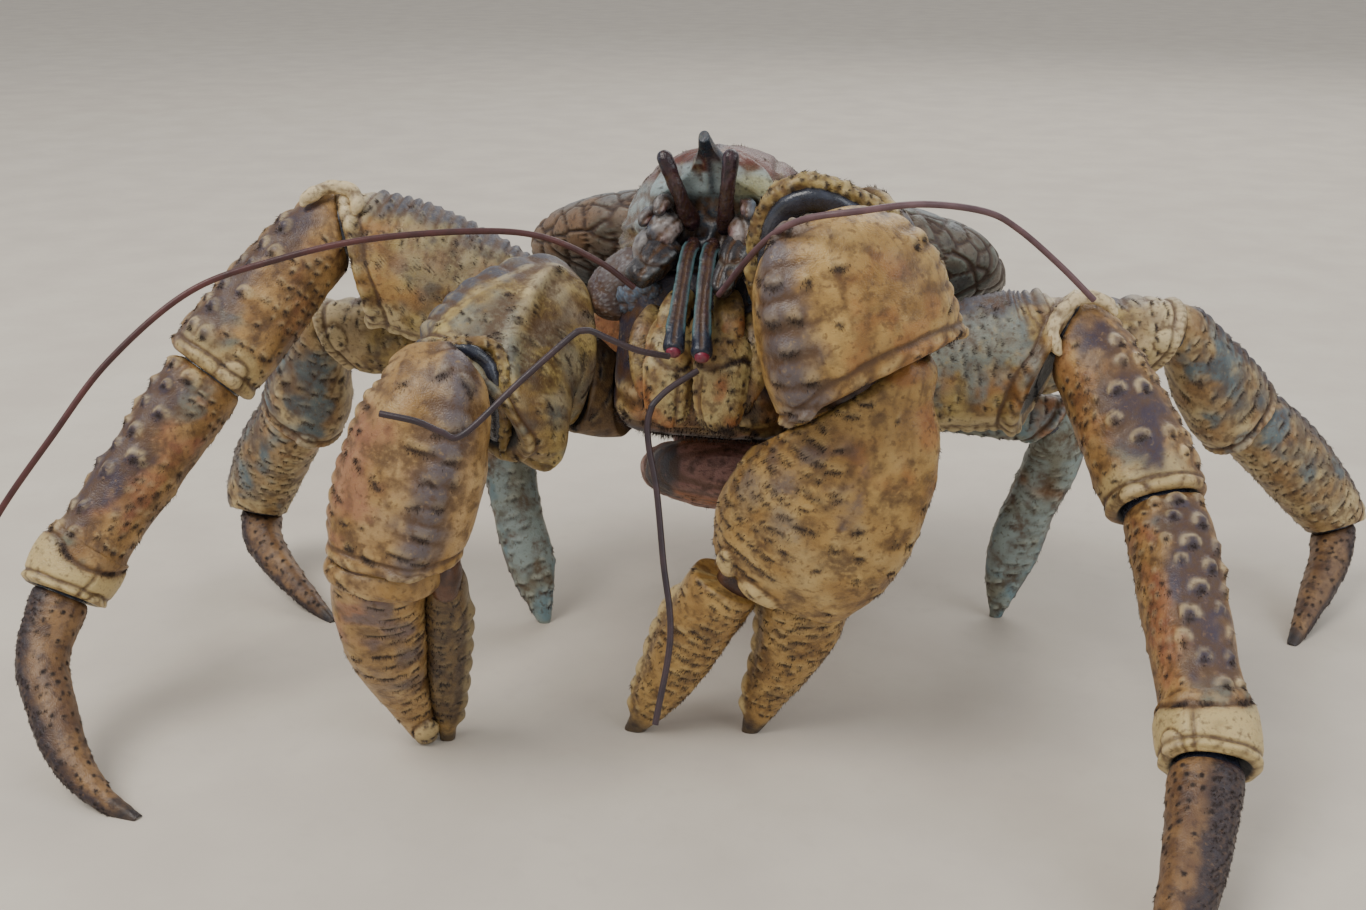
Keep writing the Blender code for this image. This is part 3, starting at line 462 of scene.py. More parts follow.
@dataclass(frozen=True)
class Squamae(Cells):
    """Rows of low scales, each with a steep far edge that carries a dark tuft."""

    fill: float = 0.62
    tuft: float = 1.0
    pale: float = 0.5
    stray: float = 0.45
    cluster: float = 0.0

    def shape(self, skin: Skin) -> None:
        """Raises the scales and marks their tufts and pale backs.

        Args:
            skin: the working grid.
        """
        turn = 360.0 / self.around(skin)
        bent = skin.along + self.stray * self.pitch * skin.rough(14.0, 5)
        angle = skin.angle + turn * self.stray * skin.rough(15.0, 6)
        row, column, middle = self.cell(skin, bent, angle)
        jump, draw, nudge, tilt = (chance(row, column, seed=skin.seed + n) for n in (1, 2, 3, 4))
        middle = middle * turn + (nudge - 0.5) * 0.35 * turn
        side = np.radians(turn_apart(angle, middle)) * skin.girth
        local = bent - (row + 0.55 + 0.25 * (jump - 0.5)) * self.pitch
        local = local + 0.12 * side**2 / self.width + (tilt - 0.5) * 0.5 * side
        spread = self.fill * self.width * 0.5 * (0.55 + 0.8 * jump)
        fall = self.pitch * 0.09
        back = np.clip(1.0 + local / (self.pitch * 0.45), 0.0, 1.0) ** 1.4
        front = 1.0 - ramp(local, -0.2 * fall, fall)
        inside = (draw < self.chance + self.cluster * skin.rough(22.0, 9)) & self.holds(skin, row, middle)
        cross = np.exp(-((side / spread) ** 4)) * inside
        body = back * front * cross
        skin.rise += self.height * body
        skin.mark("tuft", bell(local - fall * 1.1, max(self.pitch * 0.17, 1.1)) * cross * self.tuft)
        skin.mark("pale", body * self.pale)


@dataclass(frozen=True)
class Tubercles(Cells):
    """Staggered round knobs, each a cream crescent round a dark tufted pit."""

    def shape(self, skin: Skin) -> None:
        """Raises the knobs and marks their crescents and pits.

        Args:
            skin: the working grid.
        """
        row, column, middle = self.cell(skin, skin.along, skin.angle)
        jump, other, draw = (chance(row, column, seed=skin.seed + n) for n in (41, 42, 43))
        middle = (middle + (jump - 0.5) * 0.3) * 360.0 / self.around(skin)
        inside = (draw < self.chance) & self.holds(skin, row, middle)
        side = np.radians(turn_apart(skin.angle, middle)) * skin.girth
        local = skin.along - (row + 0.5 + 0.3 * (other - 0.5)) * self.pitch
        radius = 0.31 * min(self.pitch, self.width) * (0.8 + 0.45 * other)
        distance = np.hypot(side, local * 0.9) / radius
        tail = np.clip(1.0 + local / (radius * 2.6), 0.0, 1.0)
        body = np.exp(-(np.clip(distance, 0, 9) ** 3)) * inside
        skirt = peak(side, radius) * tail * (local < 0) * inside
        skin.rise += self.height * body + 0.35 * self.height * skirt
        pit = peak(np.hypot(side * 0.7, local - radius * 0.55), radius * 0.42) * inside
        skin.rise -= 0.55 * self.height * pit
        ring = peak(distance - 0.85, 0.3) * ramp(radius * 0.5 - local, 0.0, 0.8) * inside
        skin.mark("pale", ring * (0.25 + 0.5 * jump))
        skin.mark("tuft", np.clip(pit * 1.3 - 0.15, 0.0, 1.0))


@dataclass(frozen=True)
class Swell(Form):
    """A smooth knob with a fine groove round it."""

    share: float
    degrees: float
    along: float = 4.0
    across: float = 4.0
    height: float = 2.5
    pale: float = 0.8
    ring: float = 0.5

    def shape(self, skin: Skin) -> None:
        """Raises the knob and cuts the groove.

        Args:
            skin: the working grid.
        """
        distance = np.hypot(
            (skin.along - self.share * skin.length) / self.along, skin.across(self.degrees) / self.across
        )
        dome = np.sqrt(np.clip(1.0 - distance**2, 0.0, 1.0))
        edge = peak(distance - 1.08, 0.1)
        skin.rise += self.height * dome - self.ring * edge
        skin.mark("pale", dome**0.5 * self.pale)
        skin.mark("groove", edge * min(0.8, self.ring * 1.6))


@dataclass(frozen=True)
class Collar(Form):
    """A swollen smooth band round the piece, with a fine groove and a tuft line behind it."""

    start: float
    end: float
    height: float = 1.0
    groove: float = 0.8
    pale: float = 0.9

    def shape(self, skin: Skin) -> None:
        """Raises the band and cuts the groove.

        Args:
            skin: the working grid.
        """
        first, last = self.start * skin.length, self.end * skin.length
        wave = 2.2 * np.sin(np.radians(skin.angle * 2.0 + 40.0)) + 1.6 * noise(skin.points, 7.0, 3)
        place = skin.along + wave
        inside = ramp(place, first - 1.0, first + 4.5) * (1.0 - ramp(place, last - 2.0, last + 1.0))
        line = peak(place - first, 0.9)
        skin.rise += self.height * inside - self.groove * line
        skin.mark("groove", line * 0.7)
        skin.mark("tuft", line * ramp(noise(skin.points, 4.0, 5), -0.05, 0.25))
        skin.mark("collar", inside * self.pale)
        skin.marks["tuft"] = skin.marks["tuft"] * (1.0 - 0.85 * inside * (line < 0.3))


@dataclass(frozen=True)
class Furrow(Form):
    """A fine groove that runs along the piece."""

    degrees: float
    start: float = 0.0
    end: float = 1.0
    depth: float = 0.7
    width: float = 1.0
    bend: float = 3.0

    def shape(self, skin: Skin) -> None:
        """Cuts the groove.

        Args:
            skin: the working grid.
        """
        line = skin.across(self.degrees) + self.bend * skin.rough(12.0, 3)
        cut = peak(line, self.width) * window(skin.share, self.start, self.end, 0.05)
        skin.rise -= self.depth * cut
        skin.mark("groove", cut * self.depth * 0.5)


@dataclass(frozen=True)
class Specks(Form):
    """Close small grains with dark tufted tips."""

    size: float = 2.2
    spot: float = 0.62
    low: float = 0.0
    high: float = 360.0
    start: float = -0.1
    end: float = 0.95
    height: float = 0.3
    strength: float = 1.0

    def shape(self, skin: Skin) -> None:
        """Raises the grains and darkens their tips.

        Args:
            skin: the working grid.
        """
        nearest, _ = cell_walls(skin.points, self.size, skin.seed + 5)
        inside = skin.sector(self.low, self.high, 8.0, 8.0, -14.0 * skin.rough(7.0, 6))
        inside = inside * window(skin.share, self.start - 0.04, self.end + 0.04, 0.08)
        grain = 1.0 - ramp(nearest, self.spot * 0.6, self.spot * 1.25)
        skin.rise += self.height * (1.0 - ramp(nearest, 0.0, self.spot * 2.0)) * inside
        skin.mark("tuft", grain * inside * self.strength)


@dataclass(frozen=True)
class Streaks(Form):
    """Fine stains that run along the piece."""

    length: float = 9.0
    width: float = 1.3
    low: float = 0.35
    strength: float = 0.7
    name: str = "stain"

    def shape(self, skin: Skin) -> None:
        """Marks the stains.

        Args:
            skin: the working grid.
        """
        round_it = np.radians(skin.angle) * skin.girth
        grid = np.stack((skin.along / self.length, round_it / self.width, skin.share * 0.0), axis=-1)
        value = noise(grid + 0.25 * noise(skin.points, 6.0, 2)[..., None], 1.0, skin.seed + 12)
        patch = ramp(skin.rough(12.0, 13), -0.4, 0.4)
        skin.mark(self.name, ramp(value, self.low, self.low + 0.35) * patch * self.strength)


@dataclass(frozen=True)
class Zone(Form):
    """A coloured zone, held in a mark: a band along the piece with broken edges."""

    name: str
    degrees: float = 0.0
    half: float = 180.0
    start: float = -0.2
    end: float = 1.2
    soft: float = 14.0
    strength: float = 1.0
    broken: float = 0.35
    size: float = 7.0

    def shape(self, skin: Skin) -> None:
        """Marks the zone.

        Args:
            skin: the working grid.
        """
        wave = skin.rough(self.size, 7) * self.broken
        wave = wave + 0.5 * self.broken * skin.rough(self.size * 0.35, 8)
        low, high = self.degrees - self.half, self.degrees + self.half
        inside = skin.sector(low, high, self.soft, self.soft, wave * 40.0)
        inside = inside * window(skin.share + wave * 0.12, self.start - 0.06, self.end + 0.06, 0.12)
        if self.broken > 0.6:
            inside = inside * ramp(skin.rough(self.size, 9), -0.35, 0.25)
        skin.mark(self.name, inside * self.strength)


@dataclass(frozen=True)
class Rim(Form):
    """A crinkled rope-like edge round the open end of a piece."""

    height: float = 1.6
    width: float = 3.0
    folds: int = 60
    inset: float = 2.6

    def shape(self, skin: Skin) -> None:
        """Raises the rope, its folds and the groove behind it.

        Args:
            skin: the working grid.
        """
        place = skin.to_tip + 0.5 * noise(skin.points, 5.0, 4)
        rope_line = bell(place - self.inset, self.width)
        turn = np.radians(skin.angle) * self.folds + 1.5 * noise(skin.points, 4.0, 6)
        fold = np.abs(np.sin(turn * 0.5 + place * 0.35))
        groove = peak(place - self.inset - self.width * 1.15, 0.8)
        skin.rise += self.height * rope_line * (0.65 + 0.35 * fold) - 0.5 * groove
        skin.mark("groove", np.maximum(groove * 0.8, rope_line * (1.0 - fold) ** 2 * 0.9))
        skin.mark("crest", rope_line)


@dataclass(frozen=True)
class Grains(Form):
    """Round grains packed over a zone."""

    size: float = 2.2
    height: float = 0.6
    low: float = 0.0
    high: float = 360.0
    start: float = -0.1
    end: float = 1.1
    pale: float = 0.4

    def shape(self, skin: Skin) -> None:
        """Raises the grains, pale on top, with painted shade between them.

        Args:
            skin: the working grid.
        """
        nearest, second = cell_walls(skin.points, self.size, skin.seed)
        inside = skin.sector(self.low, self.high, 10.0, 10.0)
        inside = inside * window(skin.share, self.start - 0.04, self.end + 0.04, 0.08)
        dome = np.clip(1.0 - (nearest / (self.size * 0.4)) ** 2, 0.0, 1.0) ** 0.7
        skin.rise += self.height * dome * inside
        skin.mark("pale", dome * inside * self.pale)
        skin.mark("groove", (1.0 - ramp(second - nearest, 0.0, self.size * 0.35)) * inside * 0.6)


def filled_mesh(name: str, places: np.ndarray, loops: np.ndarray, starts: np.ndarray) -> bpy.types.Mesh:
    """A smooth mesh from flat lists.

    Args:
        name: the mesh's name.
        places: the coordinates of its points, one after another, in metres.
        loops: the point at each corner of its faces.
        starts: the first corner of each face.

    Returns:
        The mesh.
    """
    mesh = bpy.data.meshes.new(name)
    mesh.vertices.add(len(places) // 3)
    mesh.vertices.foreach_set("co", places.astype(np.float32))
    mesh.loops.add(len(loops))
    mesh.loops.foreach_set("vertex_index", loops.astype(np.int32))
    mesh.polygons.add(len(starts))
    mesh.polygons.foreach_set("loop_start", starts.astype(np.int32))
    mesh.update(calc_edges=True)
    mesh.shade_smooth()
    return mesh


def shell_mesh(name: str, skin: Skin, sinks: tuple[float, float]) -> bpy.types.Mesh:
    """Closes a skin at both ends and turns it into a mesh that carries its marks.

    Args:
        name: the mesh's name.
        skin: the grid with its forms and marks.
        sinks: how deep the first and last ends are hollowed, in millimetres; a deep end gets painted shade.

    Returns:
        The closed mesh.
    """
    points = skin.formed()
    rows, columns = points.shape[:2]
    count = rows * columns
    flat, flow = [points.reshape(-1, 3)], [skin.flow().reshape(-1, 3)]
    marks = {mark: [values.ravel()] for mark, values in skin.marks.items()}
    marks.setdefault("dark", [np.zeros(count)])
    number = np.arange(count).reshape(rows, columns)
    after = np.roll(number, -1, axis=1)
    quads = [np.stack((number[:-1], after[:-1], after[1:], number[1:]), axis=-1).reshape(-1, 4)]
    wedges = []
    for row, inward, sink in ((0, 1, sinks[0]), (rows - 1, -1, sinks[1])):
        ring, before = points[row], number[row]
        middle = ring.mean(axis=0)
        axis = unit(points[row + inward * min(6, rows - 1)].mean(axis=0) - middle)
        edge = {mark: held[0].reshape(rows, columns)[row] for mark, held in marks.items()}
        # Painted shade: a deeply sunk cap is darkened all over.
        if sink > DARK_SINK:
            edge["dark"] = np.ones(columns)
        for share in CAP_RINGS:
            flat.append(ring + (middle - ring) * share + axis * (sink * min(1.0, share * 2.2)))
            flow.append(np.tile(axis, (columns, 1)))
            level = count + np.arange(columns)
            count += columns
            pair = (before, np.roll(before, -1), np.roll(level, -1), level)
            quads.append(np.stack(pair[:: inward * -1], axis=-1))
            before = level
        flat.append((middle + axis * sink)[None])
        flow.append(axis[None])
        for mark, held in edge.items():
            marks[mark] += [held] * len(CAP_RINGS) + [held[:1]]
        wedge = (before, np.roll(before, -1), np.full(columns, count))
        wedges.append(np.stack(wedge[:: inward * -1], axis=-1))
        count += 1
    places = np.vstack(flat)
    quads, wedges = np.vstack(quads), np.vstack(wedges)
    faces = np.vstack((quads[:, (0, 1, 2)], quads[:, (0, 2, 3)], wedges))
    a, b, c = (places[faces[:, k]] for k in range(3))
    if np.sum(a * np.cross(b, c)) < 0:
        quads, wedges = quads[:, ::-1], wedges[:, ::-1]
    starts = np.concatenate((np.arange(len(quads)) * 4, len(quads) * 4 + np.arange(len(wedges)) * 3))
    loops = np.concatenate((quads.ravel(), wedges.ravel()))
    mesh = filled_mesh(name, ((places - CENTRE) * MM).ravel(), loops, starts)
    for mark, values in marks.items():
        layer = mesh.attributes.new(mark, "FLOAT", "POINT")
        layer.data.foreach_set("value", np.concatenate(values).astype(np.float32))
    layer = mesh.attributes.new("flow", "FLOAT_VECTOR", "POINT")
    layer.data.foreach_set("vector", np.vstack(flow).astype(np.float32).ravel())
    return mesh


def read_numbers(owner: bpy.types.bpy_prop_collection, key: str, count: int, kind: type) -> np.ndarray:
    """Reads one list of numbers from a mesh.

    Args:
        owner: the points, corners or faces that hold them.
        key: their name.
        count: how many there are.
        kind: the kind of number.

    Returns:
        The numbers.
    """
    held = np.empty(count, kind)
    owner.foreach_get(key, held)
    return held


def merged(name: str, meshes: list[bpy.types.Mesh]) -> bpy.types.Mesh:
    """One mesh from several, with their number marks kept.

    Args:
        name: the new mesh's name.
        meshes: the meshes to put together, which are then removed.

    Returns:
        The mesh.
    """
    places, loops, starts, marks = [], [], [], {}
    names = {a.name for m in meshes for a in m.attributes if a.data_type == "FLOAT"}
    first, offset = 0, 0
    for part in meshes:
        count = len(part.vertices)
        places.append(read_numbers(part.vertices, "co", count * 3, np.float32))
        loops.append(read_numbers(part.loops, "vertex_index", len(part.loops), np.int32) + first)
        starts.append(read_numbers(part.polygons, "loop_start", len(part.polygons), np.int32) + offset)
        for mark in names:
            layer = part.attributes.get(mark)
            held = np.zeros(count, np.float32)
            if layer is not None and layer.domain == "POINT":
                held = read_numbers(layer.data, "value", count, np.float32)
            marks.setdefault(mark, []).append(held)
        first += count
        offset += len(part.loops)
        bpy.data.meshes.remove(part)
    mesh = filled_mesh(name, np.concatenate(places), np.concatenate(loops), np.concatenate(starts))
    for mark, values in marks.items():
        mesh.attributes.new(mark, "FLOAT", "POINT").data.foreach_set("value", np.concatenate(values))
    return mesh


class Graph:
    """A short way to put nodes in a material or geometry tree."""

    def __init__(self, tree: bpy.types.NodeTree) -> None:
        """Starts on a tree."""
        self.tree = tree

    def set(self, socket: bpy.types.NodeSocket, value: object) -> None:
        """Gives an input a value, or links a socket to it.

        Args:
            socket: the input.
            value: a value or an output socket.
        """
        if isinstance(value, bpy.types.NodeSocket):
            self.tree.links.new(value, socket)
        else:
            socket.default_value = value

    def add(self, kind: str, settings: dict | None = None, **inputs: object) -> bpy.types.Node:
        """Adds a node.

        Args:
            kind: the node's type name.
            settings: the node's own properties.
            inputs: values or sockets for its inputs, named in small letters with underscores.

        Returns:
            The node.
        """
        node = self.tree.nodes.new(kind)
        for key, value in (settings or {}).items():
            setattr(node, key, value)
        for key, value in inputs.items():
            found = [s for s in node.inputs if s.enabled and s.name.lower().replace(" ", "_") == key]
            self.set(found[0] if found else node.inputs[int(key.removeprefix("input_"))], value)
        return node

    def math(self, operation: str, *values: object) -> bpy.types.NodeSocket:
        """One step of arithmetic on numbers."""
        inputs = {f"input_{number}": value for number, value in enumerate(values)}
        return self.add("ShaderNodeMath", {"operation": operation}, **inputs).outputs[0]

    def vector(self, operation: str, **inputs: object) -> bpy.types.NodeSocket:
        """One step of arithmetic on directions."""
        return self.add("ShaderNodeVectorMath", {"operation": operation}, **inputs).outputs[0]

    def mark(self, name: str, strength: float = 1.0) -> bpy.types.NodeSocket:
        """A mark of the shell, made weaker where asked."""
        fact = self.add("ShaderNodeAttribute", {"attribute_name": name}).outputs["Fac"]
        return fact if strength == 1.0 else self.math("MULTIPLY", fact, strength)

    def clouds(self, place: object, size: float, detail: float = 3.0) -> bpy.types.NodeSocket:
        """Soft clouds with hills of about one size, in millimetres."""
        node = self.add("ShaderNodeTexNoise", vector=place, scale=1.0 / (size * MM), detail=detail)
        return node.outputs["Fac"]

    def stretch(self, value: object, low: float, high: float) -> bpy.types.NodeSocket:
        """A number spread so that low becomes zero and high becomes one."""
        return self.add("ShaderNodeMapRange", None, value=value, from_min=low, from_max=high).outputs[0]

    def blend(self, amount: object, first: object, second: object) -> bpy.types.NodeSocket:
        """Lays one colour over another.

        Args:
            amount: how much of the second shows.
            first: a colour or a socket.
            second: a colour or a socket.

        Returns:
            The mixed colour.
        """
        node = self.add("ShaderNodeMix", {"data_type": "RGBA"})
        sockets = [node.inputs[0]] + [s for s in node.inputs if s.type == "RGBA"][:2]
        for socket, value in zip(sockets, (amount, first, second)):
            self.set(socket, (*value, 1.0) if isinstance(value, tuple) else value)
        return [s for s in node.outputs if s.type == "RGBA"][0]


@dataclass(frozen=True)
class Finish:
    """A procedural finish, clouded from a light to a deep colour and built at its first use."""

    name: str
    slot: str
    light: Colour
    deep: Colour

    def material(self) -> bpy.types.Material:
        """Gives the finish's material.

        Returns:
            The material, the same one each time.
        """
        if self.name in bpy.data.materials:
            return bpy.data.materials[self.name]
        material = bpy.data.materials.new(self.name)
        material.use_nodes = True
        g = Graph(material.node_tree)
        shader = material.node_tree.nodes["Principled BSDF"].inputs
        self.paint(g, shader, g.add("ShaderNodeTexCoord").outputs["Object"])
        return material

    def paint(self, g: Graph, shader: bpy.types.NodeInputs, place: bpy.types.NodeSocket) -> None:
        """Builds the colour, the gloss and the fine relief.

        Args:
            g: the material's tree.
            shader: the shader's inputs.
            place: each point's place on the object.
        """
        raise NotImplementedError


@dataclass(frozen=True)
class Shell(Finish):
    """The finish of a hard shell: a mottled ground colour with zones laid over it by the marks."""

    stain: Colour
    band: Colour
    blue: Colour = (0.10, 0.20, 0.28)
    flush: Colour = (0.42, 0.13, 0.03)
    pale: Colour = (0.62, 0.48, 0.28)
    collar: Colour = (0.74, 0.60, 0.36)
    crest: Colour | None = None
    roughness: float = 0.42
    cloud: float = 13.0
    bump: float = 0.35

    def paint(self, g: Graph, shader: bpy.types.NodeInputs, place: bpy.types.NodeSocket) -> None:
        """Lays the zones, the speckle, the painted shade in the hollows and the tufts over the ground colour.

        Args:
            g: the material's tree.
            shader: the shader's inputs.
            place: each point's place on the object.
        """
        broad, middle, fine = (g.clouds(place, size, 5.0) for size in (self.cloud, self.cloud * 0.36, 1.8))
        colour = g.blend(g.stretch(broad, 0.36, 0.62), self.light, self.deep)
        layers = [
            (g.mark("worn", 0.45), self.pale),
            (g.math("MULTIPLY", g.stretch(middle, 0.5, 0.66), 0.75), self.stain),
            (g.math("MULTIPLY", g.mark("stain"), g.stretch(middle, 0.3, 0.6)), self.stain),
        ]
        for mark in ("flush", "blue", "band", "collar", "pale"):
            amount = g.math("MULTIPLY", g.mark(mark), g.stretch(fine, 0.1, 0.42))
            layers.append((amount, getattr(self, mark)))
        if self.crest is not None:
            layers.append((g.mark("crest", 0.85), self.crest))
        # Painted shade: the hollows of the relief darkened, broken up a little by fine cloud.
        hollow_shade = g.math("MULTIPLY", g.mark("hollow"), g.stretch(fine, 0.25, 0.5))
        layers += [
            (g.math("MULTIPLY", g.stretch(fine, 0.55, 0.68), 0.6), self.stain),
            (g.math("MULTIPLY", hollow_shade, 0.75), (0.10, 0.05, 0.02)),
            # Painted shade in grooves, seams, fold valleys and between teeth and grains; on the shield's side
            # folds this colour lies on the crests as dark lines.
            (g.mark("groove", 0.85), (0.07, 0.032, 0.014)),
            (g.math("MULTIPLY", g.mark("tuft"), g.stretch(fine, 0.2, 0.5)), (0.022, 0.012, 0.009)),
            # The dark mark lays near black: the dark tips of toes and fingers, and painted shade in deep
            # caps, the hollow under the rostrum, the gill cover seams and the right claw's movable finger;
            # the right claw's base is darkened all over too.
            (g.mark("dark"), (0.012, 0.014, 0.02)),
        ]
        for amount, tint in layers:
            colour = g.blend(amount, colour, tint)
        g.set(shader["Base Color"], colour)
        rough = g.math("MULTIPLY_ADD", fine, 0.3, self.roughness - 0.15)
        g.set(shader["Roughness"], g.math("ADD", rough, g.mark("tuft", 0.3)))
        height = g.math("ADD", g.math("MULTIPLY", fine, 0.5), g.clouds(place, 0.55, 2.0))
        bump = g.add("ShaderNodeBump", None, strength=self.bump, distance=0.0006, height=height)
        g.set(shader["Normal"], bump.outputs[0])
        g.set(shader["Specular IOR Level"], 0.45)
        g.set(shader["Subsurface Weight"], 0.04)
        g.set(shader["Subsurface Radius"], (0.004, 0.002, 0.001))


@dataclass(frozen=True)
class Plain(Finish):
    """A finish of two clouded colours, for joint skin, bristles and feelers."""

    roughness: float = 0.4
    cloud: float = 5.0
    coat: float = 0.0
    bump: float = 0.2

    def paint(self, g: Graph, shader: bpy.types.NodeInputs, place: bpy.types.NodeSocket) -> None:
        """Clouds the colour and adds the pale and dark marks.

        Args:
            g: the material's tree.
            shader: the shader's inputs.
            place: each point's place on the object.
        """
        broad = g.clouds(place, self.cloud, 4.0)
        fine = g.clouds(place, self.cloud * 0.15, 3.0)
        colour = g.blend(g.stretch(broad, 0.35, 0.65), self.light, self.deep)
        colour = g.blend(g.math("MULTIPLY", g.stretch(fine, 0.55, 0.7), 0.4), colour, self.deep)
        colour = g.blend(g.mark("pale"), colour, tuple(min(1.0, c * 3.0 + 0.1) for c in self.light))
        g.set(shader["Base Color"], g.blend(g.mark("dark"), colour, (0.01, 0.01, 0.014)))
        g.set(shader["Roughness"], g.math("MULTIPLY_ADD", fine, 0.25, self.roughness - 0.12))
        bump = g.add("ShaderNodeBump", None, strength=self.bump, distance=0.0004, height=fine)
        g.set(shader["Normal"], bump.outputs[0])
        g.set(shader["Coat Weight"], self.coat)
        g.set(shader["Coat Roughness"], 0.15)


class Grower(Graph):
    """A geometry node tree with named inputs that turns a mesh or a curve into a plain mesh."""

    def __init__(self, name: str, **kinds: str) -> None:
        """Starts the tree.

        Args:
            name: the tree's name.
            **kinds: the kind of each input by its name, besides the geometry and the finish.
        """
        super().__init__(bpy.data.node_groups.new(name, "GeometryNodeTree"))
        face = self.tree.interface
        face.new_socket("geometry", in_out="OUTPUT", socket_type="NodeSocketGeometry")
        self.names = {}
        for key, kind in {"geometry": "Geometry", **kinds, "finish": "Material"}.items():
            socket = face.new_socket(key, in_out="INPUT", socket_type="NodeSocket" + kind)
            self.names[key] = socket.identifier
        self.given = self.add("NodeGroupInput").outputs

    def finish(self, geometry: bpy.types.NodeSocket) -> None:
        """Ends the tree with real meshes in the given finish.

        Args:
            geometry: what the tree has grown.
        """
        real = self.add("GeometryNodeRealizeInstances", None, geometry=geometry).outputs[0]
        dressed = self.add("GeometryNodeSetMaterial", None, geometry=real, material=self.given["finish"])
        self.set(self.add("NodeGroupOutput").inputs[0], dressed.outputs[0])

    def grow(self, name: str, data: bpy.types.ID, **values: object) -> bpy.types.Mesh:
        """Runs the tree on a mesh or a curve.

        Args:
            name: the name of the new mesh.
            data: the mesh or curve.
            **values: the values of its inputs.

        Returns:
            A plain mesh.
        """
        carrier = bpy.data.objects.new(name + "_carrier", data)
        bpy.context.scene.collection.objects.link(carrier)
        modifier = carrier.modifiers.new("growth", "NODES")
        modifier.node_group = self.tree
        for key, value in values.items():
            modifier[self.names[key]] = value
        graph = bpy.context.evaluated_depsgraph_get()
        mesh = bpy.data.meshes.new_from_object(carrier.evaluated_get(graph))
        bpy.data.objects.remove(carrier, do_unlink=True)
        mesh.name = name
        return mesh


@dataclass(frozen=True)
class Cover:
    """Bristles that grow from the tufts of a shell."""

    density: float = 3.2
    length: float = 1.15
    thick: float = 0.11
    lean: float = 1.5
    seed: int = 3


def bristle_tree() -> Grower:
    """The tree that scatters leaning bristles over a shell by its tufts.

    Returns:
        The tree.
    """
    g = Grower("bristles", density="Float", length="Float", thick="Float", lean="Float", seed="Int")
    given = g.given
    tufts = g.add("GeometryNodeInputNamedAttribute", {"data_type": "FLOAT"}, name="tuft")
    points = g.add(
        "GeometryNodeDistributePointsOnFaces", {"distribute_method": "RANDOM"}, mesh=given["geometry"],
        density=g.math("MULTIPLY", g.math("POWER", tufts.outputs[0], 1.5), given["density"]),
        seed=given["seed"],
    )
    flow = g.add("GeometryNodeInputNamedAttribute", {"data_type": "FLOAT_VECTOR"}, name="flow")
    lean = g.vector("SCALE", vector=flow.outputs[0], scale=given["lean"])
    jitter = g.add(
        "FunctionNodeRandomValue", {"data_type": "FLOAT_VECTOR"},
        min=(-0.45, -0.45, -0.45), max=(0.45, 0.45, 0.45), seed=7,
    )
    aim = g.vector("ADD", input_0=points.outputs["Normal"], input_1=lean)
    aim = g.vector("ADD", input_0=aim, input_1=jitter.outputs[0])
    bristle = g.add(
        "GeometryNodeMeshCone", {"fill_type": "NGON"}, vertices=3, side_segments=1,
        radius_top=0.0, radius_bottom=given["thick"], depth=given["length"],
    )
    size = g.add("FunctionNodeRandomValue", {"data_type": "FLOAT"}, min=0.55, max=1.35, seed=11)
    turned = g.add("FunctionNodeAlignRotationToVector", {"axis": "Z"}, vector=aim)
    grown = g.add(
        "GeometryNodeInstanceOnPoints", None, points=points.outputs["Points"],
        instance=bristle.outputs["Mesh"], rotation=turned.outputs[0], scale=size.outputs["Value"],
    )
    g.finish(grown.outputs[0])
    return g


def feeler_tree() -> Grower:
    """The tree that turns a line into a tube of fine rings.

    Returns:
        The tree.
    """
    g = Grower("ringed_feeler", ring="Float", waist="Float")
    even = g.add(
        "GeometryNodeResampleCurve", {"mode": "LENGTH"}, curve=g.given["geometry"],
        length=g.math("MULTIPLY", g.given["ring"], 0.5),
    )
    odd = g.math("MODULO", g.add("GeometryNodeInputIndex").outputs[0], 2.0)
    waist = g.math("SUBTRACT", 1.0, g.math("MULTIPLY", odd, g.given["waist"]))
    radius = g.math("MULTIPLY", g.add("GeometryNodeInputRadius").outputs[0], waist)
    sized = g.add("GeometryNodeSetCurveRadius", None, curve=even.outputs[0], radius=radius)
    circle = g.add("GeometryNodeCurvePrimitiveCircle", None, resolution=10, radius=MM)
    tube = g.add(
        "GeometryNodeCurveToMesh", None, curve=sized.outputs[0],
        profile_curve=circle.outputs["Curve"], fill_caps=True,
    )
    g.finish(g.add("GeometryNodeSetShadeSmooth", None, input_0=tube.outputs[0]).outputs[0])
    return g


def show(name: str, mesh: bpy.types.Mesh, finish: Finish, stands_for: tuple[str, ...] = ()) -> None:
    """Puts a finished mesh on the body.

    Args:
        name: the piece's name.
        mesh: its mesh, already in place.
        finish: its finish.
        stands_for: the solids that it replaces.
    """
    mesh.materials.clear()
    mesh.materials.append(finish.material())
    piece = bpy.data.objects.new(name, mesh)
    bpy.context.scene.collection.objects.link(piece)
    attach(piece, BODY)
    if stands_for:
        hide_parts(*stands_for)
    LOG.info("%s: %d faces", name, len(mesh.polygons))


@dataclass(frozen=True)
class End:
    """How one end of a shell closes.

    The shell draws in over the reach by a share of its width, and the cap is hollowed by the sink.
    """

    reach: float = 2.5
    depth: float = 0.12
    sink: float = 0.0


ROOT = End(6.0, 0.15)
SHORT_ROOT = End(4.0, 0.12)
LIP = End(1.8, 0.10, 4.0)
PLAIN_END = End(0.8, 0.06)


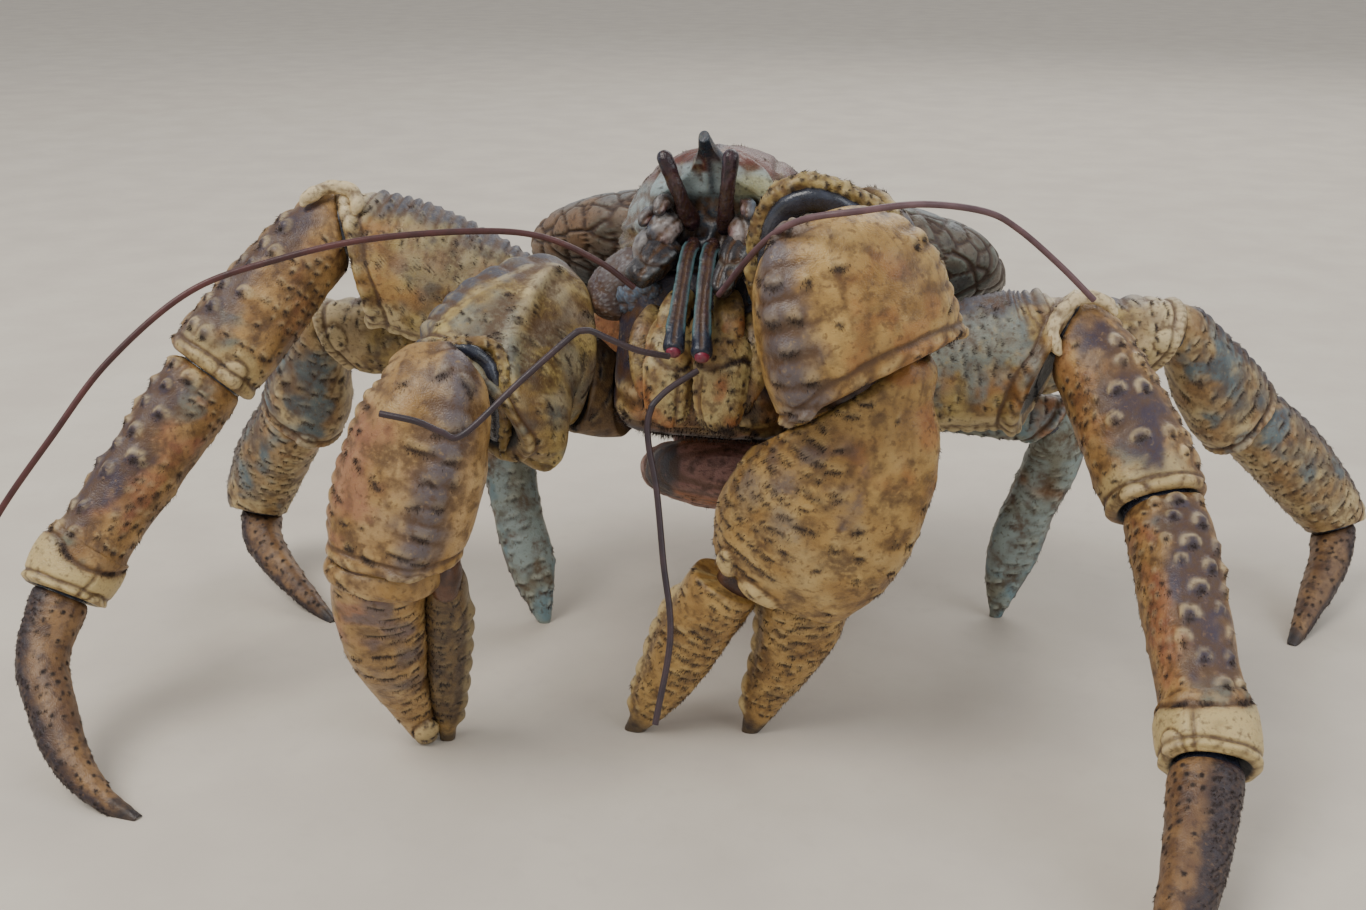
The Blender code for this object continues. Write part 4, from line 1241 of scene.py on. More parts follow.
@dataclass
class Limb:
    """A piece of a limb: oval rings along a path, trimmed flat where it meets its neighbours."""

    name: str
    points: list[Point]
    sizes: Sizes
    side: int = 1
    face: Point = FRONT
    corner: float = 0.85
    run_on: tuple[float, float] = (REACH, REACH)
    narrow: float = 0.55
    root: End = ROOT
    tip: End = LIP
    cuts: list[Plane] = field(default_factory=list)

    def past(self, rows: np.ndarray, length: float) -> np.ndarray:
        """Goes on past the first of some rows, getting narrower.

        Args:
            rows: places and sizes.
            length: how far to go on.

        Returns:
            The new rows, the farthest first.
        """
        share = np.linspace(1.0, 0.1, RUN_ON_ROWS)[:, None]
        step = unit(rows[0, :3] - rows[1, :3]) * length * share
        shrink = 1.0 - (1.0 - self.narrow) * length / REACH * share
        return np.hstack((rows[0, :3] + step, rows[0, 3:] * shrink))

    def line(self) -> tuple[np.ndarray, int, int]:
        """Works out the middle line.

        Returns:
            The dense rows of places and sizes, and the rows where the piece itself starts and ends.
        """
        keys = np.array([(*point, *size) for point, size in zip(self.points, self.sizes)], float)
        steps = max(4, int(120 / (len(keys) - 1)))
        rows = curve_through(keys, steps) if len(keys) > 2 else np.linspace(keys[0], keys[1], steps)
        low = 0
        if self.run_on[0]:
            rows = np.vstack((self.past(rows, self.run_on[0]), rows))
            low = RUN_ON_ROWS
        high = len(rows) - 1
        if self.run_on[1]:
            rows = np.vstack((rows, self.past(rows[::-1], self.run_on[1])[::-1]))
        return rows, low, high

    def frames(self, centres: np.ndarray) -> tuple[np.ndarray, np.ndarray]:
        """The outer and front directions along a line of places.

        Args:
            centres: the places.

        Returns:
            Both directions at each place.
        """
        tangent = unit(np.gradient(centres, axis=0))
        face = np.array(self.face, float)
        front = unit(face - tangent * (tangent @ face)[:, None])
        return np.cross(front, tangent) * self.side, front

    def limits(self, walls: np.ndarray, low: int, high: int) -> tuple[np.ndarray, np.ndarray]:
        """Finds where the cutting planes cross each line along the piece.

        Args:
            walls: the surface's points, row by row.
            low: the row where the piece itself starts.
            high: the row where it ends.

        Returns:
            The rows, with their fractions, where each line starts and stops.
        """
        worst = np.full(walls.shape[:2], -1e9)
        for point, normal in self.cuts:
            worst = np.maximum(worst, (walls - point) @ normal)
        count, columns = worst.shape
        starts, stops = np.zeros(columns), np.full(columns, count - 1.0)
        for k, line in enumerate(worst.T):
            middle = int(np.argmin(line)) if self.cuts else (low + high) // 2
            if line[middle] >= 0:
                starts[k] = stops[k] = middle
                continue
            out = np.nonzero(line[: middle + 1] >= 0)[0]
            if len(out):
                i = out[-1]
                starts[k] = i + line[i] / (line[i] - line[i + 1] + 1e-9)
            out = np.nonzero(line[middle:] >= 0)[0]
            if len(out):
                i = middle + out[0]
                stops[k] = i - line[i] / (line[i] - line[i - 1] + 1e-9)
        return starts, stops

    def skin(self, cell: float = 0.75) -> Skin:
        """The working grid of the shell, trimmed and drawn in at its ends.

        Args:
            cell: the usual distance between grid points, in millimetres.

        Returns:
            The grid, still without forms.
        """
        rows, low, high = self.line()
        centres, wide, thick = rows[:, :3], rows[:, 3], rows[:, 4]
        outer, front = self.frames(centres)
        arc = np.concatenate(((0.0,), np.cumsum(np.linalg.norm(np.diff(centres, axis=0), axis=1))))
        length = arc[high] - arc[low]
        girth = np.sqrt((wide**2 + thick**2) / 2)
        columns = int(np.clip(math.tau * float(girth[low:high].mean()) / cell, 20, 260))
        count = int(np.clip(length / cell, 14, 300))
        angle = math.tau * np.arange(columns) / columns
        c, s = rounded(np.cos(angle), self.corner), rounded(np.sin(angle), self.corner)
        spokes = outer[:, None] * (wide[:, None] * c)[..., None]
        spokes = spokes + front[:, None] * (thick[:, None] * s)[..., None]
        starts, stops = self.limits(centres[:, None] + spokes, low, high)
        t = np.linspace(0.0, 1.0, count)
        t = t - 0.55 * np.sin(math.tau * t) / math.tau
        place = starts + (stops - starts) * t[:, None]
        i = np.clip(place.astype(int), 0, len(rows) - 2)
        part = (place - i)[..., None]
        column = np.arange(columns)[None]
        spoke = spokes[i, column] * (1 - part) + spokes[i + 1, column] * part
        centre = centres[i] * (1 - part) + centres[i + 1] * part
        along, radius = (np.interp(place, np.arange(len(rows)), line) for line in (arc, girth))
        to_root, to_tip = along - along[:1], along[-1:] - along
        scale = self.drawn_in(self.root, to_root) * self.drawn_in(self.tip, to_tip)
        return Skin(
            centre + spoke * scale[..., None], (along - arc[low]) / length,
            np.broadcast_to(np.degrees(angle), place.shape), along - arc[low], radius,
            own_seed(self.name), to_root, to_tip,
        )

    @staticmethod
    def drawn_in(end: End, distance: np.ndarray) -> np.ndarray:
        """How much of its width the shell keeps at a distance from one end."""
        near = np.clip(1.0 - distance / max(end.reach, 0.01), 0.0, 1.0)
        return 1.0 - end.depth * (1.0 - np.sqrt(1.0 - near**2))

    def joint_skin(self, point: np.ndarray, normal: np.ndarray, share: float = 0.84) -> Limb:
        """A short plug of soft skin where this piece meets the one before it.

        Args:
            point: the middle of the joint.
            normal: the way through it.
            share: how wide the plug is, as a share of this piece.

        Returns:
            The plug.
        """
        rows, low, _ = self.line()
        wide, thick = rows[low, 3:] * share
        normal = unit(np.array(normal, float))
        places = [tuple(point + normal * step) for step in (-8.0, -3.0, 3.0, 9.0)]
        sizes = [(wide * f, thick * f) for f in (0.7, 0.98, 1.0, 0.72)]
        return free_limb(self.name + "_root_skin", places, sizes, self.side, self.face, End(3.0, 0.6))


def own_seed(name: str) -> int:
    """The number that fixes a piece's own unevenness."""
    return sum(map(ord, name)) % 97


def free_limb(
    name: str, path: list[Point], sizes: Sizes, side: int, face: Point, root: End, tip: End | None = None
) -> Limb:
    """A piece with two round ends that meets nothing.

    Args:
        name: its name.
        path: places along it.
        sizes: its half widths and half thicknesses.
        side: which way its outer edge lies.
        face: the way it looks.
        root: how its root closes.
        tip: how its tip closes, as its root when not given.

    Returns:
        The piece.
    """
    return Limb(name, list(path), sizes, side, face, run_on=(0.0, 0.0), root=root, tip=tip or root)


def rope(
    name: str, path: tuple[Point, ...], size: tuple[float, float], face: Point, side: int = 1,
) -> Limb:
    """A thin raised edge that follows a path on a bigger piece.

    Args:
        name: its name.
        path: places along it.
        size: its half width and half thickness.
        face: the way it looks.
        side: which way its outer edge lies.

    Returns:
        The edge.
    """
    shares = [0.6] + [1.0] * (len(path) - 2) + [0.6]
    sizes = [(size[0] * share, size[1] * share) for share in shares]
    return free_limb(name, path, sizes, side, face, End(size[0] * 1.5, 0.7))


def join_at(before: Limb, after: Limb, point: Point, normal: Point) -> None:
    """Cuts two neighbours on one plane, with the gap of the solids between them.

    Args:
        before: the piece nearer the body.
        after: the piece that follows it.
        point: a place on the plane.
        normal: the way from the first piece to the second.
    """
    place, facing = np.array(point, float), unit(np.array(normal, float))
    before.cuts.append((place - facing * GAP / 2, facing))
    after.cuts.append((place + facing * GAP / 2, -facing))


def bend_plane(a: np.ndarray, joint: np.ndarray, b: np.ndarray) -> np.ndarray:
    """The plane that halves a bend."""
    return unit(joint - a) + unit(b - joint)


def chest_cut(root: Point, side: int) -> Plane:
    """The plane where a limb meets the flat side of the chest."""
    return np.array((side * (TRUNK_HALF_WIDTH + GAP), root[1], root[2])), SIDEWAYS * -float(side)


def between(
    name: str, start: np.ndarray, end: np.ndarray, side: int,
    rings: tuple[tuple[float, float, float, float], ...], **settings: object,
) -> Limb:
    """A piece that runs straight between two joints.

    Args:
        name: the piece's name.
        start: the joint it starts from.
        end: the joint it runs to.
        side: the side it is on.
        rings: for each ring its share of the way, half width, half thickness and outward shift.
        **settings: other values of the limb.

    Returns:
        The piece.
    """
    axis = unit(end - start)
    face = np.array(FRONT)
    front = unit(face - axis * (axis @ face))
    outer = np.cross(front, axis) * side
    points = [tuple(start + (end - start) * share + outer * shift) for share, _, _, shift in rings]
    return Limb(name, points, [(wide, thick) for _, wide, thick, _ in rings], side, **settings)


class Workshop:
    """Makes shells from limbs and forms, and grows their bristles."""

    def __init__(self) -> None:
        """Starts with its two node trees."""
        self.bristle_tree = bristle_tree()
        self.feeler_tree = feeler_tree()

    def shell(
        self, limb: Limb, finish: Finish, forms: tuple[Form, ...],
        stands_for: tuple[str, ...] | None = None, cell: float = 0.75,
        bristles: Cover | None = Cover(),
    ) -> bpy.types.Mesh | None:
        """Dresses one piece of a limb.

        Args:
            limb: the piece.
            finish: its finish.
            forms: what rises from its surface.
            stands_for: the solids that it replaces, its own name when not given.
            cell: the usual distance between grid points, in millimetres.
            bristles: the growth on its tufts, or nothing.

        Returns:
            The mesh of its bristles, or nothing.
        """
        skin = limb.skin(cell)
        for form in forms:
            form.shape(skin)
        names = (limb.name,) if stands_for is None else stands_for
        return self.raise_shell(limb.name, skin, finish, names, (limb.root.sink, limb.tip.sink), bristles)

    def raise_shell(
        self, name: str, skin: Skin, finish: Finish, stands_for: tuple[str, ...],
        sinks: tuple[float, float] = (0.0, 0.0), bristles: Cover | None = Cover(),
    ) -> bpy.types.Mesh | None:
        """Turns a finished grid into a piece and grows its bristles.

        Args:
            name: the piece's name in words joined by underscores.
            skin: the grid with its forms and marks.
            finish: the finish.
            stands_for: the solids that it replaces.
            sinks: how deep its two ends are hollowed.
            bristles: the growth on its tufts, or nothing.

        Returns:
            The mesh of its bristles, or nothing.
        """
        skin.weather()
        mesh = shell_mesh(name, skin, sinks)
        show(name + "_shell", mesh, finish, stands_for)
        if bristles is None or "tuft" not in skin.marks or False:
            return None
        return self.bristle_tree.grow(
            name + "_bristles", mesh, density=bristles.density / MM**2, length=bristles.length * MM,
            thick=bristles.thick * MM, lean=bristles.lean, seed=bristles.seed, finish=BRISTLE.material(),
        )

    def bristles(self, name: str, meshes: list[bpy.types.Mesh | None]) -> None:
        """Puts the bristles of one limb together as a piece.

        Args:
            name: the limb's name.
            meshes: the bristles of its pieces, where they have any.
        """
        grown = [mesh for mesh in meshes if mesh is not None and len(mesh.polygons)]
        if grown:
            show(name + "_bristles", merged(name + "_bristles", grown), BRISTLE)

    def soft_joints(self, name: str, plugs: list[Limb], finish: Plain) -> None:
        """Puts the joint skins of one limb together as a piece.

        Args:
            name: the piece's name.
            plugs: the skins.
            finish: their finish.
        """
        meshes = []
        for plug in plugs:
            skin = plug.skin(1.2)
            skin.rise += 0.3 * noise(skin.points, 4.0, 2)
            skin.rise += 0.15 * np.sin(skin.along * 2.2 + 1.5 * noise(skin.points, 8.0, 1))
            meshes.append(shell_mesh(plug.name, skin, (0.0, 0.0)))
        show(name, merged(name, meshes), finish)


BRISTLE = Plain("dark_bristles", "shell_dark", (0.045, 0.022, 0.013), (0.018, 0.009, 0.007), 0.55, 3.0)
SOFT_JOINT = Plain(
    "joint_skin", "soft_skin", (0.030, 0.036, 0.060), (0.010, 0.012, 0.020), 0.24, 5.0, 0.5, 0.5
)
BROWN_JOINT = Plain(
    "joint_skin_brown", "soft_skin", (0.11, 0.045, 0.022), (0.035, 0.016, 0.012), 0.4, 5.0, 0.2, 0.6
)
LONG_FEELER = Plain("feeler_mauve", "feeler", (0.155, 0.082, 0.090), (0.085, 0.042, 0.050), 0.45, 9.0)
RED_FEELER = Plain("feeler_red", "feeler", (0.095, 0.026, 0.024), (0.045, 0.013, 0.013), 0.42, 9.0)
DARK_FEELER = Plain("feeler_dark", "feeler", (0.050, 0.026, 0.030), (0.022, 0.013, 0.018), 0.4, 7.0)
RED_BALL = Plain("feeler_joint_red", "feeler", (0.24, 0.025, 0.055), (0.10, 0.012, 0.03), 0.35, 3.0, 0.3)

OCHRE_SHELL = Shell(
    "ochre_shell", "shell_ochre", (0.42, 0.245, 0.085), (0.22, 0.115, 0.04), (0.075, 0.037, 0.018),
    (0.052, 0.036, 0.052), blue=(0.16, 0.19, 0.15), flush=(0.34, 0.11, 0.06), pale=(0.58, 0.44, 0.23),
    collar=(0.55, 0.42, 0.19),
)
CLAW_SHELL = Shell(
    "claw_ochre_shell", "shell_ochre", (0.46, 0.29, 0.095), (0.29, 0.16, 0.045), (0.095, 0.045, 0.016),
    (0.115, 0.090, 0.092), flush=(0.31, 0.10, 0.022), pale=(0.60, 0.45, 0.21), roughness=0.36, cloud=16.0,
)
ROSY_CLAW_SHELL = replace(
    CLAW_SHELL, name="claw_rosy_shell", light=(0.43, 0.275, 0.12), flush=(0.33, 0.135, 0.085)
)
MERUS_SHELL = Shell(
    "merus_shell", "shell_tan", (0.43, 0.32, 0.11), (0.235, 0.14, 0.045), (0.075, 0.038, 0.018),
    (0.080, 0.078, 0.092), blue=(0.17, 0.22, 0.215), flush=(0.36, 0.15, 0.04), pale=(0.60, 0.49, 0.27),
    cloud=17.0,
)
CREAM_SHELL = Shell(
    "cream_shell", "shell_cream", (0.49, 0.38, 0.19), (0.28, 0.165, 0.065), (0.10, 0.055, 0.025),
    (0.045, 0.040, 0.050), blue=(0.070, 0.135, 0.175), pale=(0.62, 0.52, 0.32), flush=(0.38, 0.15, 0.04),
    collar=(0.62, 0.50, 0.27),
)
BLUE_SHELL = Shell(
    "blue_shell", "shell_blue", (0.27, 0.33, 0.31), (0.20, 0.20, 0.15), (0.08, 0.06, 0.035),
    (0.07, 0.075, 0.09), flush=(0.38, 0.14, 0.04), pale=(0.44, 0.46, 0.38), blue=(0.14, 0.24, 0.28),
)
TOE_SHELL = Shell(
    "toe_shell", "shell_brown", (0.26, 0.145, 0.06), (0.135, 0.07, 0.035), (0.05, 0.026, 0.02),
    (0.030, 0.019, 0.023), pale=(0.36, 0.24, 0.12),
)
COVER_SHELL = Shell(
    "gill_cover_shell", "shell_brown", (0.115, 0.075, 0.048), (0.055, 0.042, 0.032),
    (0.028, 0.020, 0.017), (0.12, 0.15, 0.165), pale=(0.16, 0.19, 0.16), flush=(0.27, 0.145, 0.07),
    roughness=0.4, cloud=20.0,
)
SHIELD_SHELL = Shell(
    "shield_shell", "shell_rust", (0.145, 0.048, 0.030), (0.060, 0.022, 0.020), (0.030, 0.015, 0.014),
    (0.022, 0.032, 0.046), blue=(0.31, 0.38, 0.385), flush=(0.125, 0.040, 0.028),
    pale=(0.40, 0.38, 0.20), roughness=0.27, cloud=11.0,
)
FACE_SHELL = Shell(
    "face_shell", "shell_tan", (0.36, 0.26, 0.10), (0.19, 0.11, 0.045), (0.07, 0.038, 0.02),
    (0.030, 0.026, 0.042), blue=(0.07, 0.10, 0.16), flush=(0.30, 0.10, 0.03), cloud=8.0, roughness=0.35,
)
CHEST_SHELL = Shell(
    "chest_shell", "shell_tan", (0.36, 0.22, 0.10), (0.18, 0.10, 0.05), (0.07, 0.04, 0.03),
    (0.09, 0.08, 0.10), blue=(0.10, 0.14, 0.20),
)
CHEEK_SHELL = Shell(
    "cheek_shell", "shell_teal", (0.120, 0.105, 0.130), (0.075, 0.055, 0.062), (0.04, 0.026, 0.026),
    (0.028, 0.028, 0.036), blue=(0.085, 0.135, 0.20), pale=(0.30, 0.29, 0.28), flush=(0.18, 0.095, 0.045),
    cloud=9.0,
)
PEDUNCLE_SHELL = Shell(
    "feeler_base_shell", "shell_dark", (0.034, 0.033, 0.038), (0.016, 0.014, 0.018),
    (0.018, 0.014, 0.016), (0.016, 0.015, 0.02), pale=(0.15, 0.14, 0.14), blue=(0.07, 0.11, 0.16),
    flush=(0.24, 0.10, 0.09), crest=(0.11, 0.12, 0.125), roughness=0.26, cloud=6.0,
)
# Its pale colour is laid as a painted highlight on the brow folds.
FOLD_SHELL = replace(
    PEDUNCLE_SHELL, name="brow_fold_shell", light=(0.075, 0.07, 0.08), pale=(0.34, 0.31, 0.29), crest=None
)
MOUTH_SHELL = Shell(
    "mouth_shell", "shell_cream", (0.42, 0.335, 0.15), (0.27, 0.165, 0.055), (0.095, 0.05, 0.02),
    (0.10, 0.06, 0.04), flush=(0.34, 0.10, 0.03), pale=(0.56, 0.46, 0.25), cloud=8.0,
)
HEAD_DARK = Shell(
    "head_dark_shell", "shell_dark", (0.036, 0.013, 0.019), (0.014, 0.008, 0.012),
    (0.010, 0.007, 0.010), (0.014, 0.022, 0.042), pale=(0.19, 0.11, 0.12), roughness=0.22,
    crest=(0.062, 0.155, 0.165), cloud=8.0,
)
BELLY_SKIN = Shell(
    "abdomen_skin", "soft_skin", (0.44, 0.235, 0.205), (0.24, 0.115, 0.10), (0.06, 0.03, 0.026),
    (0.05, 0.045, 0.055), pale=(0.42, 0.24, 0.14), flush=(0.44, 0.15, 0.035), roughness=0.38, bump=0.6,
)


def fair(x: np.ndarray, keys: np.ndarray, values: np.ndarray) -> np.ndarray:
    """A smooth line through values at rising keys that never overshoots them.

    Args:
        x: where to read the line.
        keys: the places of the values, rising.
        values: the values.

    Returns:
        The line's values at x.
    """
    step, rise = np.diff(keys), np.diff(values)
    slope = rise / step
    tangents = np.zeros(len(keys))
    tangents[0], tangents[-1] = slope[0], slope[-1]
    for i in range(1, len(keys) - 1):
        if slope[i - 1] * slope[i] > 0:
            a, b = 2 * step[i] + step[i - 1], step[i] + 2 * step[i - 1]
            tangents[i] = (a + b) / (a / slope[i - 1] + b / slope[i])
    i = np.clip(np.searchsorted(keys, x) - 1, 0, len(keys) - 2)
    t = np.clip((x - keys[i]) / step[i], 0.0, 1.0)
    h = step[i]
    return (
        (1 + 2 * t) * (1 - t) ** 2 * values[i] + t * (1 - t) ** 2 * h * tangents[i]
        + t * t * (3 - 2 * t) * values[i + 1] + t * t * (t - 1) * h * tangents[i + 1]
    )


def lofted(
    name: str, stations: tuple[tuple[float, ...], ...], rows: np.ndarray, columns: int,
    section: Callable[..., np.ndarray],
) -> Skin:
    """A trunk shell's grid, from sections at a few places along the trunk.

    Args:
        name: the piece's name, which fixes its unevenness.
        stations: for each section its place along the trunk and its sizes.
        rows: the places of the grid's rows along the trunk.
        columns: how many points go round it.
        section: gives one ring from the angles, the place and the sizes.

    Returns:
        The grid.
    """
    table = np.array(sorted(stations))
    sizes = [fair(rows, table[:, 0], table[:, k]) for k in range(1, table.shape[1])]
    angles = math.tau * np.arange(columns) / columns
    points = np.stack([section(angles, forward, *values) for forward, *values in zip(rows, *sizes)])
    shape = points.shape[:2]
    spread = (points.max(axis=1) - points.min(axis=1)).max(axis=-1) / 2
    share, along, radius = (
        np.broadcast_to(values[:, None], shape)
        for values in ((rows - rows[0]) / (rows[-1] - rows[0]), np.abs(rows - rows[0]), spread)
    )
    degrees = np.broadcast_to(np.degrees(angles), shape)
    return Skin(points, share, degrees, along, radius, own_seed(name))


def dome_section(
    angles: np.ndarray, forward: float, half_width: float, top: float, low: float, lean: float = 0.72
) -> np.ndarray:
    """A domed section across the trunk with a flat underside."""
    up = low + (top - low) * np.clip(np.sin(angles), 0.0, 1.0) ** lean
    return in_body(half_width * rounded(np.cos(angles), 0.9), np.full(len(angles), forward), up)


def oval_section(
    angles: np.ndarray, forward: float, half_width: float, middle: float, half_height: float,
    corner: float = 0.8,
) -> np.ndarray:
    """An oval section across the trunk.

    Args:
        angles: the angles of its points.
        forward: its place along the trunk.
        half_width: how far it reaches to each side.
        middle: how high its middle lies.
        half_height: how far it reaches up and down.
        corner: how square it is, one for a true oval.

    Returns:
        Its points.
    """
    x = half_width * rounded(np.cos(angles), corner)
    up = middle + half_height * rounded(np.sin(angles), corner)
    return in_body(x, np.full(len(angles), forward), up)


def lobe_section(
    angles: np.ndarray, forward: float, half_width: float, top: float, middle: float,
    bottom: float, side: int = 1,
) -> np.ndarray:
    """A gill cover section: domed above, rising towards its outer edge below.

    Args:
        angles: the angles of its points.
        forward: its place along the trunk.
        half_width: how far it reaches sideways from its middle.
        top: how high it reaches.
        middle: how high its middle lies.
        bottom: how low it reaches.
        side: the side it is on.

    Returns:
        Its points.
    """
    x = LOBE_CENTRE + half_width * rounded(np.cos(angles), 0.85)
    s = rounded(np.sin(angles), 0.85)
    rise = LOBE_RISE * np.maximum(0.0, (x - TRUNK_HALF_WIDTH) / half_width)
    low = np.minimum(bottom + rise, middle - 1.0)
    up = np.where(s > 0, middle + (top - middle) * s, middle + (middle - low) * s)
    x = np.maximum(x, MIDLINE_HALF_WIDTH + GAP)
    return in_body(side * x, np.full(len(angles), forward), up)


@dataclass
class Carapace:
    """The shield over the head, the midline plate and the two swollen gill covers."""

    shield: tuple[tuple[float, ...], ...] = (
        (HEAD_BACK, 36.0, 56.0, HEAD_TOP), (34.0, 38.0, 59.0, HEAD_TOP), (50.0, 38.0, 60.0, HEAD_TOP),
        (62.0, 36.0, 59.5, HEAD_TOP), (72.0, 31.5, 57.5, HEAD_TOP), (79.0, 26.0, 55.5, HEAD_TOP),
        (FACE - 0.5, 21.0, 53.0, HEAD_TOP), (FACE, 20.5, 53.0, 33.0), (87.0, 13.5, 51.5, 39.5),
        (91.0, 6.5, 51.5, 43.5), (97.0, 3.2, 52.5, 48.0), (ROSTRUM_TIP, 1.1, 53.5, 51.6),
    )
    midline: tuple[tuple[float, ...], ...] = (
        (HEAD_BACK - GAP, 54.0, 2.3), (0.0, 57.0, 2.3), (-30.0, 56.0, 2.3), (STERNUM_BACK, 48.0, 2.3),
        (STERNUM_BACK - 0.5, 48.0, 16.3), (-75.0, 40.0, 16.3), (CARAPACE_BACK, 32.0, 16.3),
    )
    gill_cover: tuple[tuple[float, ...], ...] = (
        (25.0, 28.0, 50.0, 42.0, 32.0), (18.0, 47.0, 53.0, 40.0, 22.0), (6.0, 67.0, 57.0, 38.0, 14.0),
        (-12.0, 83.0, 59.0, 35.0, 7.0), (-36.0, 87.0, 58.0, 33.0, 6.0), (-58.0, 78.0, 53.0, 32.0, 15.5),
        (-74.0, 60.0, 43.0, 30.0, 16.5), (CARAPACE_BACK, 36.0, 34.0, 26.0, 17.5),
    )

    def build(self, workshop: Workshop) -> None:
        """Dresses the whole carapace.

        Args:
            workshop: what makes the shells.
        """
        grown = [self.build_shield(workshop)]
        self.build_midline(workshop)
        for side in Side:
            self.build_gill_cover(workshop, side)
        workshop.bristles("carapace", grown)

    def build_shield(self, workshop: Workshop) -> bpy.types.Mesh | None:
        """Dresses the shield with its pointed rostrum.

        Args:
            workshop: what makes the shells.

        Returns:
            The mesh of its bristles, or nothing.
        """
        rows = np.concatenate((
            np.linspace(HEAD_BACK, FACE - 1.0, 84), np.linspace(FACE - 0.8, FACE, 44),
            np.linspace(FACE + 0.4, ROSTRUM_TIP, 34),
        ))
        skin = lofted("shield", self.shield, rows, 200, dome_section)
        x, forward, up = to_body(skin.points)
        wide = np.abs(x)
        cloud, small = noise(skin.points, 11.0, 12), noise(skin.points, 3.5, 13)
        skin.rise += 0.7 * noise(skin.points, 13.0, 5) + 0.25 * small
        skin.rise += 0.9 * bell(x, 3.0) * ramp(forward, 60.0, 88.0)
        line = bell(wide - 15.0 - 0.12 * (forward - 40.0), 1.8) * (1.0 - ramp(forward, 74.0, 82.0))
        skin.rise -= 0.9 * line
        skin.mark("groove", 0.5 * line)
        wall = ramp(forward, FACE - 3.0, FACE - 0.6) * (1.0 - ramp(up + 3.0 * cloud, 34.0, 38.0))
        hollow = wall * (1.0 - ramp(wide + 3.0 * small, 13.0, 17.0))
        skin.rise += hollow * (1.3 * small + 0.8 * noise(skin.points, 1.6, 15) - 2.2)
        # Painted shade: the hollow between the eyes under the rostrum is darkened with the band colour, and
        # near black lower down.
        skin.mark("band", 0.95 * hollow)
        skin.mark("dark", 0.75 * hollow * ramp(-up + 4.0 * small, -31.0, -22.0))
        side = ramp(wide + 3.0 * cloud, 17.0, 22.0) * ramp(forward, 48.0, 62.0)
        fold = np.sin(0.9 * up + 0.35 * forward + 4.0 * noise(skin.points, 9.0, 8))
        low = side * (1.0 - ramp(up + 5.0 * cloud, 26.0, 32.0))
        skin.rise += (0.3 + 0.8 * low) * fold * side
        skin.mark("groove", np.clip(fold - 0.45, 0, 1) * low * 1.2)
        skin.mark("pale", np.clip(-fold, 0, 1) * low * 0.5)
        skin.mark("blue", side * (0.8 - 0.7 * ramp(up, 38.0, 46.0)) * ramp(small + cloud, -0.5, 0.3))
        skin.mark("band", low * ramp(noise(skin.points, 6.0, 16), -0.1, 0.4) * 0.7)
        brow = bell(up - 40.5 - 2.0 * cloud, 5.4)
        brow = brow * ramp(forward, 78.0, 84.0) * (1.0 - ramp(forward, 90, 93))
        skin.rise += 0.8 * brow
        skin.mark("blue", np.clip(1.6 * brow, 0, 1) * ramp(-x, -9.0, 4.0))
        skin.mark("pale", np.clip(1.4 * brow, 0, 1) * ramp(x, 2.0, 12.0) * 0.9)
        cheek = ramp(x + 6 * small, 8.0, 20.0) * ramp(forward, 62, 74) * ramp(-up, -46.0, -38.0)
        skin.mark("pale", cheek * 0.6)
        skin.mark("flush", ramp(up + 2.0 * small, 43.0, 47.0) * ramp(forward, 52.0, 66.0) * 0.9)
        crown = bell(x - 0.6, 2.2 + 0.06 * np.clip(90.0 - forward, 0, 30)) * ramp(forward, 52.0, 80.0)
        tip = ramp(forward, 89.0, 94.0) * ramp(up, 46.0, 49.0)
        skin.mark("band", np.maximum(0.8 * crown, tip) * (1.0 - wall))
        under = ramp(forward, FACE - 2.0, FACE + 1.0) * (1.0 - ramp(up, 45.5, 48.5))
        under = under * ramp(up, 33.0, 37.0)
        skin.mark("blue", 0.9 * under * ramp(small + 0.6, 0.0, 0.5))
        streak = noise(skin.points * np.array((1.0, 0.18, 0.6)), 1.1, 14)
        skin.mark("pale", ramp(streak, 0.4, 0.75) * 0.24 * ramp(up, 38.0, 46.0) * (1.0 - crown))
        skin.mark("stain", ramp(-streak, 0.3, 0.6) * 0.8)
        Squamae(5.5, 5.0, 0.35, 15, 165, 0.1, 0.7, chance=0.3, tuft=0.7, pale=0.2).shape(skin)
        return workshop.raise_shell("shield", skin, SHIELD_SHELL, ("shield",))

    def build_midline(self, workshop: Workshop) -> None:
        """Dresses the narrow plate between the gill covers, with its cross wrinkles.

        Args:
            workshop: what makes the shells.
        """
        rows = np.concatenate((
            np.linspace(HEAD_BACK - GAP, STERNUM_BACK, 90),
            np.linspace(STERNUM_BACK - 0.2, CARAPACE_BACK, 26),
        ))

        def section(angles: np.ndarray, forward: float, top: float, low: float) -> np.ndarray:
            """One ring of the plate."""
            return dome_section(angles, forward, MIDLINE_HALF_WIDTH, top, low, 0.3)

        skin = lofted("carapace_midline", self.midline, rows, 110, section)
        x, forward, _ = to_body(skin.points)
        wave = np.sin(forward * 0.8 + 0.004 * x**2 * np.sign(x) + 2.2 * noise(skin.points, 12.0, 3))
        skin.rise += 0.7 * wave + 0.3 * noise(skin.points, 5.0, 4)
        skin.mark("groove", ramp(-wave, 0.3, 0.9) * 0.8)
        skin.mark("pale", ramp(wave, 0.4, 1.0) * 0.35)
        workshop.raise_shell("carapace_midline", skin, COVER_SHELL, ("carapace_midline",), bristles=None)

    def build_gill_cover(self, workshop: Workshop, side: Side) -> None:
        """Dresses one gill cover with its cobbled plates and dark seams.

        Args:
            workshop: what makes the shells.
            side: the side it is on.
        """
        name = "gill_cover_" + side.word
        rows = np.linspace(HEAD_BACK - GAP, CARAPACE_BACK, 120)

        def section(angles: np.ndarray, forward: float, *sizes: float) -> np.ndarray:
            """One ring of the cover."""
            return lobe_section(angles, forward, *sizes, side=side)

